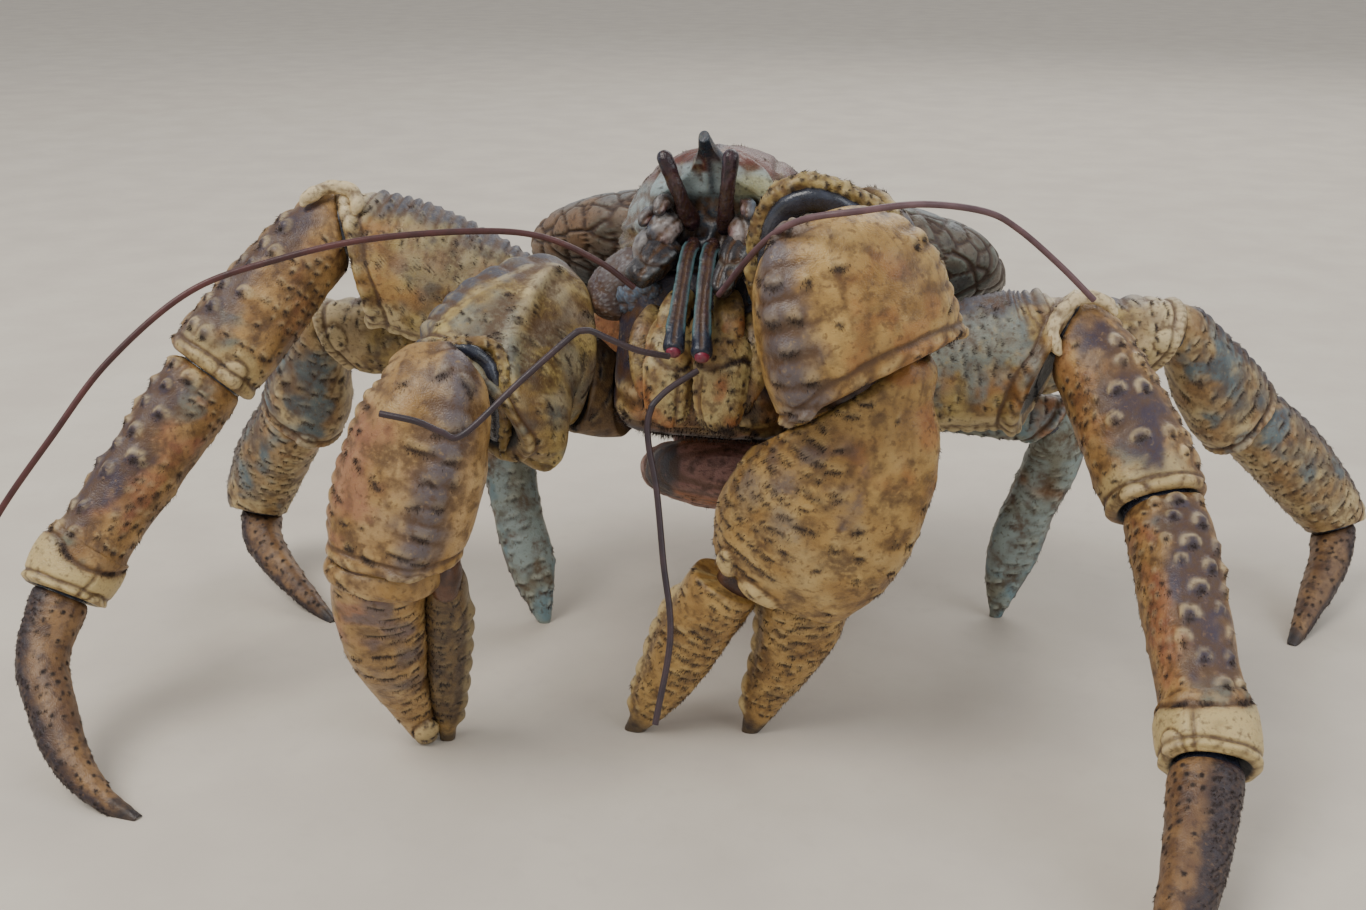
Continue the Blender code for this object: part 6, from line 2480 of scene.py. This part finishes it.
def claw_palm_forms(dense: float, rise: float = 1.0) -> tuple[Form, ...]:
    """What rises from the palm of a claw.

    Args:
        dense: the angle where its tufts stand closest.
        rise: how high its scales stand.

    Returns:
        The forms.
    """
    return (
        Uneven(0.9, 15.0), Zone("band", dense + 4, 26, -0.1, 0.6, strength=0.8, broken=0.8),
        Squamae(
            5.4, 4.8, 0.32 * rise, dense - 26, dense + 44, 0.02, 0.97, 0.93, 0.95, pale=0.2, stray=0.25,
        ),
        Squamae(
            8.5, 6.5, 0.4 * rise, 30, dense - 28, 0.02, 0.97, 0.5, 0.5, pale=0.15, cluster=0.4,
        ),
        Squamae(6.0, 6.0, 0.5 * rise, -30, 28, 0.02, 0.97, chance=0.6, pale=0.3),
        Squamae(7.0, 8.0, 0.6 * rise, dense + 46, 326, chance=0.7),
        Zone("flush", 60, 60, -0.2, 0.26, strength=0.6, broken=0.8),
        Swell(0.93, dense + 8, 6.0, 4.5, 2.4, ring=0.3), Swell(0.97, dense - 22, 5.0, 6.0, 1.8, ring=0.2),
        Streaks(14.0, 1.8, 0.3, 0.8), Zone("pale", 100, 40, 0.5, 0.9, strength=0.3, broken=0.9),
    )


@dataclass
class Claw:
    """What both claws share: how their pieces are named and their joints dressed."""

    name: str
    side: Side

    def piece(self, word: str, points: list[Point], sizes: Sizes, **settings: object) -> Limb:
        """One piece of the claw."""
        return Limb(f"{self.name}_{word}", points, sizes, self.side, **settings)

    def dress_joints(self, workshop: Workshop, lining: Limb, elbow: Limb, wrist: list[Limb]) -> None:
        """Puts the soft skin of the joints in place.

        Args:
            workshop: what makes the shells.
            lining: the skin inside the open end of the merus.
            elbow: the skin between merus and carpus.
            wrist: the skins of the palm's two joints.
        """
        workshop.soft_joints(self.name + "_merus_lining", [lining], SOFT_JOINT)
        workshop.soft_joints(self.name + "_joint_skin", [elbow], SOFT_JOINT)
        workshop.soft_joints(self.name + "_wrist_skin", wrist, BROWN_JOINT)


@dataclass
class LeftClaw(Claw):
    """The larger claw, folded down in front of the mouth."""

    name: str = "claw_left"
    side: Side = Side.LEFT

    def build(self, workshop: Workshop) -> None:
        """Dresses the claw.

        Args:
            workshop: what makes the shells.
        """
        side = self.side
        base = self.piece(
            "base", [(33, -45, 127), (43, -52, 137), (52, -57, 147)],
            [(12.5, 12.5), (13.5, 13.0), (16.0, 14.0)], run_on=(8.0, 6.0), root=PLAIN_END,
        )
        base.cuts.append(chest_cut((33, -45, 127), side))
        merus = self.piece(
            "merus", [(52, -57, 147), (57, -66, 158), (53, -74, 169), (46.5, -81, 178.5)],
            [(16.0, 14.0), (18.5, 16.0), (23.0, 17.5), (25.5, 19.0)], face=(0.0, 1.0, -0.3),
            run_on=(6.0, 12.0), narrow=0.92, root=SHORT_ROOT, tip=End(1.6, 0.08, 9.0),
        )
        join_at(base, merus, (52, -57, 147), (6, -6, 13))
        carpus = self.piece(
            "carpus",
            [(41, -106, 199), (46, -110, 187), (52, -110, 170), (57, -103, 151), (61, -96.5, 134)],
            [(12.0, 9.0), (25.0, 18.0), (29.5, 21.0), (30.0, 20.5), (29.0, 19.0)],
            run_on=(0.0, 10.0), narrow=0.9, root=End(3.0, 0.1),
        )
        join_at(merus, carpus, (53, -84, 176), (0.1, -0.92, -0.25))
        palm = self.piece(
            "palm", [(60, -92, 145), (52.5, -92, 119), (38, -86, 89), (28, -80, 70)],
            [(17.5, 15.5), (28.0, 17.8), (31.5, 20.0), (26.0, 17.0)],
            run_on=(13.0, 0.0), narrow=0.82, root=End(6.0, 0.3), tip=End(5.0, 0.25),
        )
        join_at(carpus, palm, (56, -92, 144), (0.50, -0.19, -0.84))
        fixed = self.piece(
            "fixed_finger",
            [(39, -80, 78), (35, -73, 53.5), (29, -68, 33), (21.5, -66, 15), (16, -66, 0)],
            [(16.0, 14.0), (15.0, 12.5), (11.0, 9.5), (6.8, 6.0), (3.0, 2.6)],
            run_on=(0.0, 3.0), root=End(0.5, 0.02), tip=PLAIN_END,
        )
        fixed.cuts.append(FLOOR)
        finger = self.piece(
            "finger",
            [(11, -84, 70), (0.5, -80, 50.5), (-8, -77, 33.5), (-17, -75, 15.5), (-26, -74, 0)],
            [(12.8, 12.0), (12.5, 11.0), (11.4, 9.5), (8.0, 7.0), (3.2, 2.8)],
            run_on=(12.0, 3.0), narrow=0.9, root=End(5.0, 0.12), tip=PLAIN_END,
        )
        join_at(palm, finger, (21, -80, 63), (-0.45, 0.04, -0.89))
        finger.cuts.append(FLOOR)
        grown = [
            workshop.shell(base, OCHRE_SHELL, (Uneven(0.5, 9.0), Squamae(6.0, 7.0, 0.5))),
            workshop.shell(merus, MERUS_SHELL, (
                Uneven(0.6, 12.0), Squamae(6.0, 7.0, 0.6, chance=0.8), Zone("band", 0, 50),
                Rim(0.8, 2.4, 30, 2.4),
            )),
            workshop.shell(carpus, CLAW_SHELL, claw_carpus_forms(140)),
            workshop.shell(palm, CLAW_SHELL, claw_palm_forms(122), cell=0.8),
            workshop.shell(fixed, CLAW_SHELL, finger_forms(), ()),
            workshop.shell(finger, CLAW_SHELL, finger_forms()),
        ]
        ring = (
            (19.1, -85.5, 166.0), (18.8, -88.4, 176.0), (19.7, -90.7, 187.2), (22.0, -93.0, 197.0),
            (27.0, -94.4, 204.0), (34.7, -94.7, 207.4), (43.0, -93.3, 206.3), (53.0, -90.7, 201.7),
            (60.9, -88.4, 196.0), (68.4, -85.3, 188.1), (74.6, -83.4, 181.0), (77.3, -80.0, 169.0),
        )
        middle = np.array((47.0, -92.0, 176.0))
        inner = tuple(tuple(np.array(p) + unit(middle - p) * 5.4 - (0, 2.0, 0)) for p in ring)
        edge = rope(self.name + "_merus_edge", ring, (2.8, 2.7), (-0.1, 0.92, 0.25), side)
        grown.append(workshop.shell(edge, MERUS_SHELL, claw_edge_forms(0.7, 0.6, 0.85, 0.4), (), 0.5))
        workshop.bristles(self.name, grown)
        lining = rope(self.name + "_merus_lining", inner, (4.0, 2.8), (-0.1, 0.92, 0.25), side)
        elbow = carpus.joint_skin(np.array((53, -84, 176.0)), (0.1, -0.92, -0.25), 0.9)
        self.dress_joints(workshop, lining, elbow, [
            palm.joint_skin(np.array((56, -92, 144.0)), (0.50, -0.19, -0.84), 0.8),
            finger.joint_skin(np.array((14, -82, 67.0)), (-0.45, 0.04, -0.89), 0.6),
        ])


def finger_forms() -> tuple[Form, ...]:
    """What rises from a claw finger.

    Returns:
        Its tufts, its teeth and its dark tip.
    """
    return (
        Uneven(0.5, 11.0), Squamae(4.4, 4.2, 0.3, -30, 100, 0.02, 0.88, 0.9, pale=0.3, stray=0.3),
        Specks(2.3, 0.6, -40, 150, 0.03, 0.86, 0.15, 0.8),
        Squamae(6.0, 5.5, 0.3, 105, 170, 0.02, 0.88, chance=0.6),
        Keel(180, 3.5, 1.8, 0.15, 0.95, teeth=7, tooth=1.4), Zone("pale", 180, 18, 0.1, 0.9),
        Zone("dark", 0, 180, 0.92, 1.4, strength=0.8, broken=0.2),
    )


def claw_edge_forms(uneven: float, height: float, often: float, pale: float) -> tuple[Form, ...]:
    """What rises from the raised edge round a claw's merus."""
    return Uneven(uneven, 4.0), Squamae(3.4, 3.6, height, chance=often, pale=pale), Streaks(5.0, 1.0)


@dataclass
class RightClaw(Claw):
    """The smaller claw, hanging beside the mouth."""

    name: str = "claw_right"
    side: Side = Side.RIGHT

    def build(self, workshop: Workshop) -> None:
        """Dresses the claw.

        Args:
            workshop: what makes the shells.
        """
        side = self.side
        base = self.piece(
            "base", [(-33, -46, 119), (-41, -56, 123), (-49, -67, 131)],
            [(13.0, 13.0), (15.0, 13.5), (18.0, 13.0)], run_on=(8.0, 6.0), root=PLAIN_END,
        )
        base.cuts.append(chest_cut((-33, -46, 119), side))
        merus = self.piece(
            "merus",
            [(-49, -67, 131), (-54, -75, 138), (-62, -87, 140), (-71, -98, 138), (-77, -106, 136)],
            [(19.0, 12.5), (35.0, 14.5), (32.0, 16.5), (27.0, 17.5), (21.0, 17.5)],
            run_on=(6.0, 8.0), root=SHORT_ROOT, tip=End(1.6, 0.08, 8.0),
        )
        join_at(base, merus, (-49, -67, 131), (-14, -17, 4))
        carpus = self.piece(
            "carpus",
            [(-79, -112, 152), (-77, -122, 140), (-81, -127, 124), (-87, -129, 105), (-93, -131, 88)],
            [(12.0, 9.0), (18.0, 13.5), (22.0, 16.0), (22.5, 16.0), (20.0, 15.0)],
            run_on=(0.0, 10.0), root=End(3.0, 0.1),
        )
        join_at(merus, carpus, (-76, -107, 137), (-0.35, -0.83, -0.43))
        palm = self.piece(
            "palm", [(-94, -131, 86), (-97, -129, 79), (-99, -127, 74)],
            [(20.0, 15.0), (19.0, 14.5), (17.0, 13.6)], run_on=(12.0, 0.0),
            root=End(7.0, 0.2), tip=End(6.0, 0.3),
        )
        join_at(carpus, palm, (-93, -130, 88), (-0.1, 0.1, -0.98))
        fixed = self.piece(
            "fixed_finger",
            [(-97, -129, 82), (-101, -123, 66), (-102, -117, 48), (-103, -108, 31), (-101, -101, 14),
             (-98, -98, 0)],
            [(15.5, 13.5), (15.5, 13.0), (14.0, 12.0), (11.0, 9.5), (7.0, 6.0), (3.0, 2.8)],
            run_on=(0.0, 3.0), root=End(0.5, 0.02), tip=PLAIN_END,
        )
        fixed.cuts.append(FLOOR)
        finger = self.piece(
            "finger",
            [(-79, -119, 80), (-80, -114.5, 66), (-83.5, -108, 48), (-87.5, -101, 28), (-90.5, -96, 12),
             (-91, -95, 0)],
            [(6.4, 9.5), (7.0, 9.5), (6.8, 8.5), (6.0, 7.0), (4.6, 4.8), (2.8, 2.8)],
            run_on=(10.0, 3.0), root=End(6.0, 0.2), tip=PLAIN_END,
        )
        join_at(palm, finger, (-92, -127, 77), (-0.1, 0.15, -0.98))
        finger.cuts.append(FLOOR)
        grown = [
            workshop.shell(base, OCHRE_SHELL, (
                Uneven(0.5, 9.0), Squamae(6.0, 7.0, 0.5, chance=0.5), Zone("dark", 90, 180, strength=0.55),
                Streaks(),
            )),
            workshop.shell(merus, MERUS_SHELL, (
                Uneven(0.6, 12.0), Keel(0, 6.0, 2.0, teeth=9, tooth=1.2, ribs=0.7),
                Keel(-10, 5.5, 2.6, 0.24, 0.8, twist=140.0, teeth=6, tooth=0.3),
                Zone("band", 0, 24, broken=0.5), Squamae(6.0, 5.0, 0.35, 20, 340, chance=0.4, pale=0.3),
                Zone("flush", 60, 40, 0.0, 0.5, strength=0.4, broken=0.9), Streaks(20.0, 1.5, 0.05, 0.95),
                Streaks(16.0, 2.4, 0.2, 0.5, "pale"),
                Zone("blue", 90, 60, 0.0, 1.0, strength=0.5, broken=0.9), Rim(1.2, 2.6, 30, 2.4),
            )),
            workshop.shell(carpus, ROSY_CLAW_SHELL, claw_carpus_forms(116, 0.62) + (
                Zone("flush", 40, 26, 0.34, 0.78, strength=0.6, broken=0.6),
            )),
            workshop.shell(palm, ROSY_CLAW_SHELL, (
                Uneven(0.5, 12.0), Squamae(7.5, 7.0, 0.5, chance=0.5, pale=0.3), Streaks(),
            )),
            workshop.shell(fixed, ROSY_CLAW_SHELL, claw_palm_forms(112, 0.55)[:-3] + (
                Zone("dark", 0, 180, 0.94, 1.4, strength=0.8, broken=0.2),
            ), ()),
            workshop.shell(finger, CLAW_SHELL, finger_forms() + (
                # Painted shade: the movable finger is darkened all round over most of its length.
                Zone("dark", 90, 180, -0.1, 0.9, strength=0.6, broken=0.4),
            )),
        ]
        edge = rope(self.name + "_merus_edge", (
            (-84, -110, 151), (-78, -112, 154), (-70.7, -110.5, 155), (-66, -108, 154.8),
            (-61.5, -106.5, 152.2), (-59, -108.5, 146), (-58.5, -110, 138), (-60.5, -104, 129),
            (-62.5, -99, 120), (-63, -99, 112),
        ), (2.3, 2.2), (0.35, 0.83, 0.43), side)
        lining = rope(self.name + "_merus_lining", (
            (-88, -106, 147), (-82, -110.5, 150.8), (-75, -111.5, 152), (-68.5, -110.5, 151.5),
            (-64.5, -109, 147.5), (-63, -110, 141), (-65, -103, 129), (-66.5, -98, 118),
        ), (4.2, 2.6), (0.35, 0.83, 0.43), side)
        grown.append(workshop.shell(edge, MERUS_SHELL, claw_edge_forms(0.4, 0.5, 0.8, 0.5), (), 0.5))
        workshop.bristles(self.name, grown)
        elbow = carpus.joint_skin(np.array((-76, -107, 137.0)), (-0.35, -0.83, -0.43), 0.9)
        self.dress_joints(workshop, lining, elbow, [
            palm.joint_skin(np.array((-93, -130, 88.0)), (-0.1, 0.1, -0.98)),
            finger.joint_skin(np.array((-77, -122, 79.0)), (-0.1, 0.15, -0.98), 0.8),
        ])


def face_limb(name: str, places: tuple[Point, ...], sizes: Sizes, tip: End, side: int = 1) -> Limb:
    """A head piece whose root lies flat on the face under the rostrum.

    Args:
        name: the piece's name.
        places: its path across, along and up the trunk.
        sizes: its half widths and half thicknesses.
        tip: how its tip closes.
        side: which way its outer edge lies.

    Returns:
        The piece.
    """
    limb = Limb(
        name, path_in_body(places), sizes, side, run_on=(4.0, 0.0), root=PLAIN_END, tip=tip
    )
    limb.cuts.append((in_body(0.0, FACE + GAP, 0.0), -FORWARD))
    return limb


class Head:
    """Eyes, feeler bases and mouthparts on the flat face under the rostrum."""

    def build(self, workshop: Workshop) -> None:
        """Dresses the head pieces.

        Args:
            workshop: what makes the shells.
        """
        self.build_eyes(workshop)
        self.build_columns(workshop)
        self.build_bases(workshop)
        for side, shift in ((Side.RIGHT, 0.0), (Side.LEFT, -2.0)):
            self.build_brow(workshop, side, shift)
        grown = []
        for side, place, growth in ((Side.RIGHT, 7.6, 1.0), (Side.LEFT, 10.0, 1.1)):
            grown += self.build_mouth(workshop, side, place, growth)
        workshop.bristles("mouth", grown)

    @staticmethod
    def build_eyes(workshop: Workshop) -> None:
        """Dresses the two eye stalks with their dark ends.

        Args:
            workshop: what makes the shells.
        """
        for name, places in (
            ("eye_right", ((-6.5, 85, 30), (-8.5, 92, 35), (-11.5, 97, 42), (-14.4, 100, 48.6))),
            ("eye_left", ((5.6, 85, 29), (6.6, 92, 34), (7.6, 97, 42), (8.2, 99.5, 50))),
        ):
            sizes = [(size, size) for size in (3.2, 2.4, 2.5, 2.9)]
            workshop.shell(face_limb(name, places, sizes, End(3.4, 0.97)), HEAD_DARK, (
                # Painted highlight: the narrow pale streak along the front of the upper stalk.
                Uneven(0.25, 4.0), Zone("pale", 100, 16, 0.55, 0.98, strength=0.35, broken=0.8),
                Grains(1.0, 0.16, start=0.0, end=0.6, pale=0.25),
                Streaks(4.0, 0.8, name="pale", strength=0.3), Zone("band", 0, 60, 0.8, 1.3, strength=0.8),
            ), None, 0.35, None)

    @staticmethod
    def build_columns(workshop: Workshop) -> None:
        """Dresses the two columns that carry the short feelers, with their red joint balls.

        Args:
            workshop: what makes the shells.
        """
        for word, places in (
            ("right", ((-5, 85, 20.5), (-4.9, 92, 15), (-4, 103, -3), (-2.8, 110.5, -16.6))),
            ("left", ((1.7, 85, 20.5), (1.9, 92, 15), (3.9, 103, -4), (6.2, 110, -17.6))),
        ):
            sizes = [(2.6, 2.7), (2.3, 2.6), (2.5, 2.8), (3.6, 3.3)]
            limb = face_limb("antennule_column_" + word, places, sizes, End(2.2, 0.45))
            workshop.shell(limb, HEAD_DARK, (
                Keel(34, 1.0, 0.7, 0.0, 0.9), Keel(146, 1.0, 0.7, 0.0, 0.9), Keel(270, 1.5, 0.4),
                Grains(0.9, 0.2, 56, 124, pale=0.22, end=0.8), Uneven(0.15, 3.0),
                Zone("band", 90, 180, 0.8, 1.3, strength=0.9, broken=0.2),
                Furrow(90, depth=0.4, width=0.5, bend=0.4),
            ), None, 0.35, None)
            end, before = np.array(limb.points[-1]), np.array(limb.points[-2])
            way, size = unit(end - before), 2.3
            name = "antennule_joint_" + word
            steps = [tuple(end + way * size * step) for step in (-0.8, -0.3, 0.3, 0.8)]
            ball = free_limb(
                name, steps, [(size * k, size * k) for k in (0.6, 0.97, 0.97, 0.6)], 1, FRONT,
                End(1.0, 0.95),
            )
            skin = replace(ball, corner=1.0).skin(0.35)
            skin.rise += 0.2 * noise(skin.points, 2.0, 3)
            show(name, shell_mesh(name, skin, (0.0, 0.0)), RED_BALL)

    @staticmethod
    def build_bases(workshop: Workshop) -> None:
        """Dresses the bases of the two long feelers.

        Args:
            workshop: what makes the shells.
        """
        for name, places, sizes in (
            ("antenna_base_right", ((-14.5, 86, 18), (-17, 91, 13), (-20.3, 97.3, 6.8)), (6.2, 5.6, 3.6)),
            ("antenna_base_left", ((11.6, 85, 24), (10.2, 92.5, 14.5), (8.2, 99.2, 3.6)), (4.8, 4.9, 3.0)),
        ):
            limb = face_limb(name, places, [(size, size * 0.9) for size in sizes], End(2.4, 0.7))
            workshop.shell(limb, PEDUNCLE_SHELL, (
                Uneven(0.5, 5.0), Keel(60, 1.6, 0.8, teeth=4, tooth=0.5), Keel(200, 1.8, 0.5),
                Furrow(115, depth=0.7, width=0.8), Collar(0.52, 0.6, 0.3, pale=0.4),
                Streaks(5.0, 0.9, name="pale", strength=0.1),
            ), None, 0.4, None)

    @staticmethod
    def build_brow(workshop: Workshop, side: Side, shift: float) -> None:
        """Dresses the folds between an eye and the shield's edge.

        Args:
            workshop: what makes the shells.
            side: the side they are on.
            shift: how much farther out they lie, in millimetres.
        """
        for number, (size, places) in enumerate((
            (5.4, ((12.5, 83, 30), (14.5, 87.5, 26), (16.5, 89, 20))),
            (5.0, ((17.5, 82, 25), (19.5, 85.5, 20), (20.5, 86, 13))),
            (2.7, ((13.5, 84, 35), (15.0, 90, 34), (16.0, 92.5, 29))),
            (2.2, ((18.0, 82, 33), (20.5, 87, 30), (22.0, 89, 26))),
        ), 1):
            fold = free_limb(
                f"brow_fold_{side.word}_{number}", path_in_body(places, side, shift),
                [(size * 0.8, size * 0.7), (size, size * 0.8), (size * 0.7, size * 0.6)],
                side, FRONT, End(2.0, 0.8), End(2.5, 0.9),
            )
            workshop.shell(fold, FOLD_SHELL, (
                Uneven(0.5, 3.0, 0.3), Zone("blue", 20, 50, strength=0.7, broken=0.7),
                # Painted highlight: the pale zone on the front of each fold, weaker on the later folds.
                Zone("pale", 80, 70, 0.1, 1.0, strength=0.75 - 0.1 * number, broken=0.8, size=4.0),
                Zone("flush", 130, 40, 0.3, 0.9, strength=0.5),
                Furrow(96, depth=0.5, width=0.6, bend=2.0),
            ), (), 0.4, None)

    @staticmethod
    def build_mouth(
        workshop: Workshop, side: Side, place: float, growth: float
    ) -> list[bpy.types.Mesh | None]:
        """Dresses the outer mouthpart of one side and the plates round it.

        Args:
            workshop: what makes the shells.
            side: the side it is on.
            place: how far from the middle it hangs, in millimetres.
            growth: how wide it is, as a share of its usual width.

        Returns:
            The meshes of their bristles, where they have any.
        """
        path = tuple(
            (place * side, forward, up)
            for forward, up in ((84, -5), (92, -12), (94.5, -22), (92, -32), (87, -38.5))
        )
        sizes = [
            (wide * growth, thick)
            for wide, thick in ((6.6, 4.6), (7.8, 4.6), (7.6, 4.2), (6.8, 4.0), (4.2, 3.0))
        ]
        limb = face_limb("maxilliped_" + side.word, path, sizes, End(3.0, 0.6), side)
        grown = [workshop.shell(limb, MOUTH_SHELL, (
            Uneven(0.3, 7.0), Keel(176, 2.2, 0.9, teeth=12, tooth=0.4), Keel(8, 1.6, 0.5),
            Squamae(4.5, 3.6, 0.2, chance=0.35, pale=0.2), Specks(3.0, 0.7, height=0.1),
            Collar(0.44, 0.49, 0.2, pale=0.3), Zone("flush", 30, 60, 0.3, 1.0, strength=0.6, broken=0.8),
            Furrow(130, 0.5, 1.0, 0.5, 0.7), Streaks(7.0, 1.0), Zone("tuft", 90, 180, 0.93, 1.3, broken=0.6),
        ), None, 0.45, Cover(density=2.5, length=2.2, lean=0.8))]
        for word, finish, size, row in (
            ("side", FACE_SHELL, (5.0, 3.2), ((16, 82, 0), (18.5, 88, -9), (18, 89.5, -21), (14.5, 87, -33))),
            ("top", MOUTH_SHELL, (4.6, 3.0), ((6.5, 84, 6), (9, 90, 0), (10.5, 92.5, -7), (11, 91, -13))),
            ("inner", MOUTH_SHELL, (2.2, 2.4), ((1.0, 84, 0), (1.2, 91, -7), (1.2, 92, -18), (1.2, 88, -30))),
        ):
            plate = free_limb(
                f"mouth_{word}_plate_{side.word}",
                [tuple(in_body(side * x + 1.2, forward, up)) for x, forward, up in row],
                [(size[0] * k, size[1] * k) for k in (0.8, 1.0, 0.9, 0.5)],
                side, FRONT, End(2.0, 0.6), End(3.0, 0.7),
            )
            grown.append(workshop.shell(plate, finish, (
                Uneven(0.3, 5.0), Keel(176, 1.4, 0.6, teeth=10, tooth=0.4), Specks(2.6, 0.6, height=0.1),
                Zone("flush", 60, 60, 0.4, 1.0, strength=0.6, broken=0.8), Streaks(6.0, 1.0),
                Zone("tuft", 90, 180, 0.9, 1.3, broken=0.6),
            ), (), 0.45, Cover(density=2.5, length=2.0, lean=0.8)))
        return grown


@dataclass(frozen=True)
class Feeler:
    """A feeler as a tube of fine rings along a curve."""

    name: str
    stands_for: tuple[str, ...]
    path: tuple[Point, ...]
    radii: tuple[float, ...]
    finish: Plain
    ring: float = 1.1

    def build(self, workshop: Workshop) -> None:
        """Grows the tube along its curve.

        Args:
            workshop: what holds the node trees.
        """
        keys = np.array([(*place, radius) for place, radius in zip(self.path, self.radii)], float)
        rows = curve_through(keys, 12)
        line = bpy.data.curves.new(self.name + "_line", "CURVE")
        line.dimensions = "3D"
        spline = line.splines.new("POLY")
        spline.points.add(len(rows) - 1)
        for point, row in zip(spline.points, rows):
            point.co = (*((row[:3] - CENTRE) * MM), 1.0)
            point.radius = row[3]
        mesh = workshop.feeler_tree.grow(
            self.name, line, ring=self.ring * MM, waist=0.16, finish=self.finish.material()
        )
        show(self.name, mesh, self.finish, self.stands_for)


FEELERS = (
    Feeler(
        "long_feeler_right", ("antenna_right_1", "antenna_right_2", "antenna_right_3"),
        ((-20, -90, 171), (-30, -95, 180), (-45, -104, 189), (-63, -113, 192), (-93, -127, 191),
         (-118, -138, 186), (-141, -151, 178), (-162, -165, 159), (-176, -178, 138),
         (-189, -188, 118), (-196, -196, 102)),
        (1.9, 1.7, 1.5, 1.3, 1.2, 1.1, 1.0, 0.9, 0.8, 0.75, 0.7), RED_FEELER,
    ),
    Feeler(
        "long_feeler_left", ("antenna_left_1", "antenna_left_2"),
        ((8, -91.5, 170.5), (25, -114, 192), (38, -126, 202), (55, -129, 206), (72, -120, 207),
         (89, -106, 203), (99, -95, 196), (112, -87, 184), (123, -83, 173)),
        (2.2, 1.8, 1.5, 1.3, 1.2, 1.1, 1.0, 0.85, 0.7), LONG_FEELER,
    ),
    Feeler(
        "stalk_right", ("antennule_stalk_right",),
        ((-3, -114, 156), (-11, -120, 159), (-19, -125.5, 163.8), (-24, -128.3, 166.8),
         (-27.5, -130.5, 166.8)),
        (1.6, 1.8, 1.6, 1.4, 1.1), DARK_FEELER, 4.0,
    ),
    Feeler(
        "whip_right", ("antennule_whip_right_1", "antennule_whip_right_2"),
        ((-25.5, -129.2, 166.9), (-28.5, -131.6, 165.8), (-41, -143.5, 154.5), (-55, -156, 141),
         (-61, -158, 142), (-68, -159, 145), (-79, -160, 147)),
        (1.0, 1.0, 0.9, 0.8, 0.75, 0.7, 0.6), DARK_FEELER, 0.9,
    ),
    Feeler(
        "stalk_left", ("antennule_stalk_left",),
        ((6, -114, 152), (-1, -120, 148), (-4.5, -124, 145), (-6, -126, 143)),
        (1.6, 1.7, 1.6, 1.4), DARK_FEELER, 4.0,
    ),
    Feeler(
        "whip_left", ("antennule_whip_left",),
        ((-5.6, -125.8, 143.6), (-6.6, -127.6, 138.5), (-5.6, -129.8, 131), (-2.6, -133, 119),
         (1, -140, 99), (5, -148, 78), (3, -160, 54)),
        (1.3, 1.2, 1.1, 1.0, 0.9, 0.8, 0.6), DARK_FEELER, 0.9,
    ),
)


@dataclass
class Studio:
    """The plain floor, the soft light and the camera at the photograph's angle."""

    camera_place: Point = (0.0900, -0.5117, 0.2860)
    right: Point = (0.976, 0.216, 0.0)
    look: Point = (-0.203, 0.917, -0.342)
    lens: float = 39.74

    def build(self) -> None:
        """Puts the camera, lights and floor in the scene."""
        scene = bpy.context.scene
        right = Vector(self.right).normalized()
        look = Vector(self.look).normalized()
        up = right.cross(look).normalized()
        right = look.cross(up).normalized()
        data = bpy.data.cameras.new("camera")
        data.lens, data.sensor_width, data.clip_start = self.lens, 36.0, 0.01
        camera = bpy.data.objects.new("camera", data)
        turn = Matrix((right, up, -look)).transposed()
        camera.matrix_world = Matrix.Translation(self.camera_place) @ turn.to_4x4()
        scene.collection.objects.link(camera)
        scene.camera = camera
        aim = (0.0, 0.0, 0.08)
        self.light("key_light", (-0.9, -1.0, 1.9), aim, 1.3, 36.0, (1.0, 0.97, 0.92))
        self.light("side_light", (1.7, -0.6, 1.2), aim, 1.4, 13.0, (0.92, 0.96, 1.0))
        self.light("back_light", (0.3, 1.8, 1.6), aim, 1.4, 16.0, (1.0, 0.98, 0.95))
        world = bpy.data.worlds.new("studio")
        world.use_nodes = True
        world.node_tree.nodes["Background"].inputs[0].default_value = (0.93, 0.94, 0.96, 1.0)
        world.node_tree.nodes["Background"].inputs[1].default_value = 0.62
        scene.world = world
        mesh = bpy.data.meshes.new("floor")
        size = 6.0
        mesh.from_pydata(
            [(-size, -size, 0), (size, -size, 0), (size, size, 0), (-size, size, 0)], [], [(0, 1, 2, 3)]
        )
        floor = bpy.data.objects.new("floor", mesh)
        scene.collection.objects.link(floor)
        finish = Plain("floor", "", (0.66, 0.60, 0.51), (0.60, 0.54, 0.46), 0.9, 60.0, 0.0, 0.05)
        mesh.materials.append(finish.material())

    @staticmethod
    def light(name: str, place: Point, aim: Point, size: float, power: float, tint: Colour) -> None:
        """Adds one soft square light.

        Args:
            name: its name.
            place: where it hangs.
            aim: what it points at.
            size: the length of its side in metres.
            power: its power in watts.
            tint: its colour.
        """
        data = bpy.data.lights.new(name, "AREA")
        data.energy, data.size, data.color = power, size, tint
        lamp = bpy.data.objects.new(name, data)
        lamp.location = place
        lamp.rotation_euler = (Vector(aim) - Vector(place)).to_track_quat("-Z", "Y").to_euler()
        bpy.context.scene.collection.objects.link(lamp)


def main() -> None:
    """Builds the dressed crab over the solids."""
    logging.basicConfig(level=logging.INFO, format="%(message)s")
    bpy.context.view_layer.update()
    Studio().build()
    workshop = Workshop()
    pieces = (
        Carapace(), Chest(), Abdomen(), Head(), *FEELERS, *FRONT_LEGS, *BACK_LEGS, *SMALL_LEGS,
        LeftClaw(), RightClaw(),
    )
    for piece in pieces:
        piece.build(workshop)


if __name__ == "__main__":
    main()
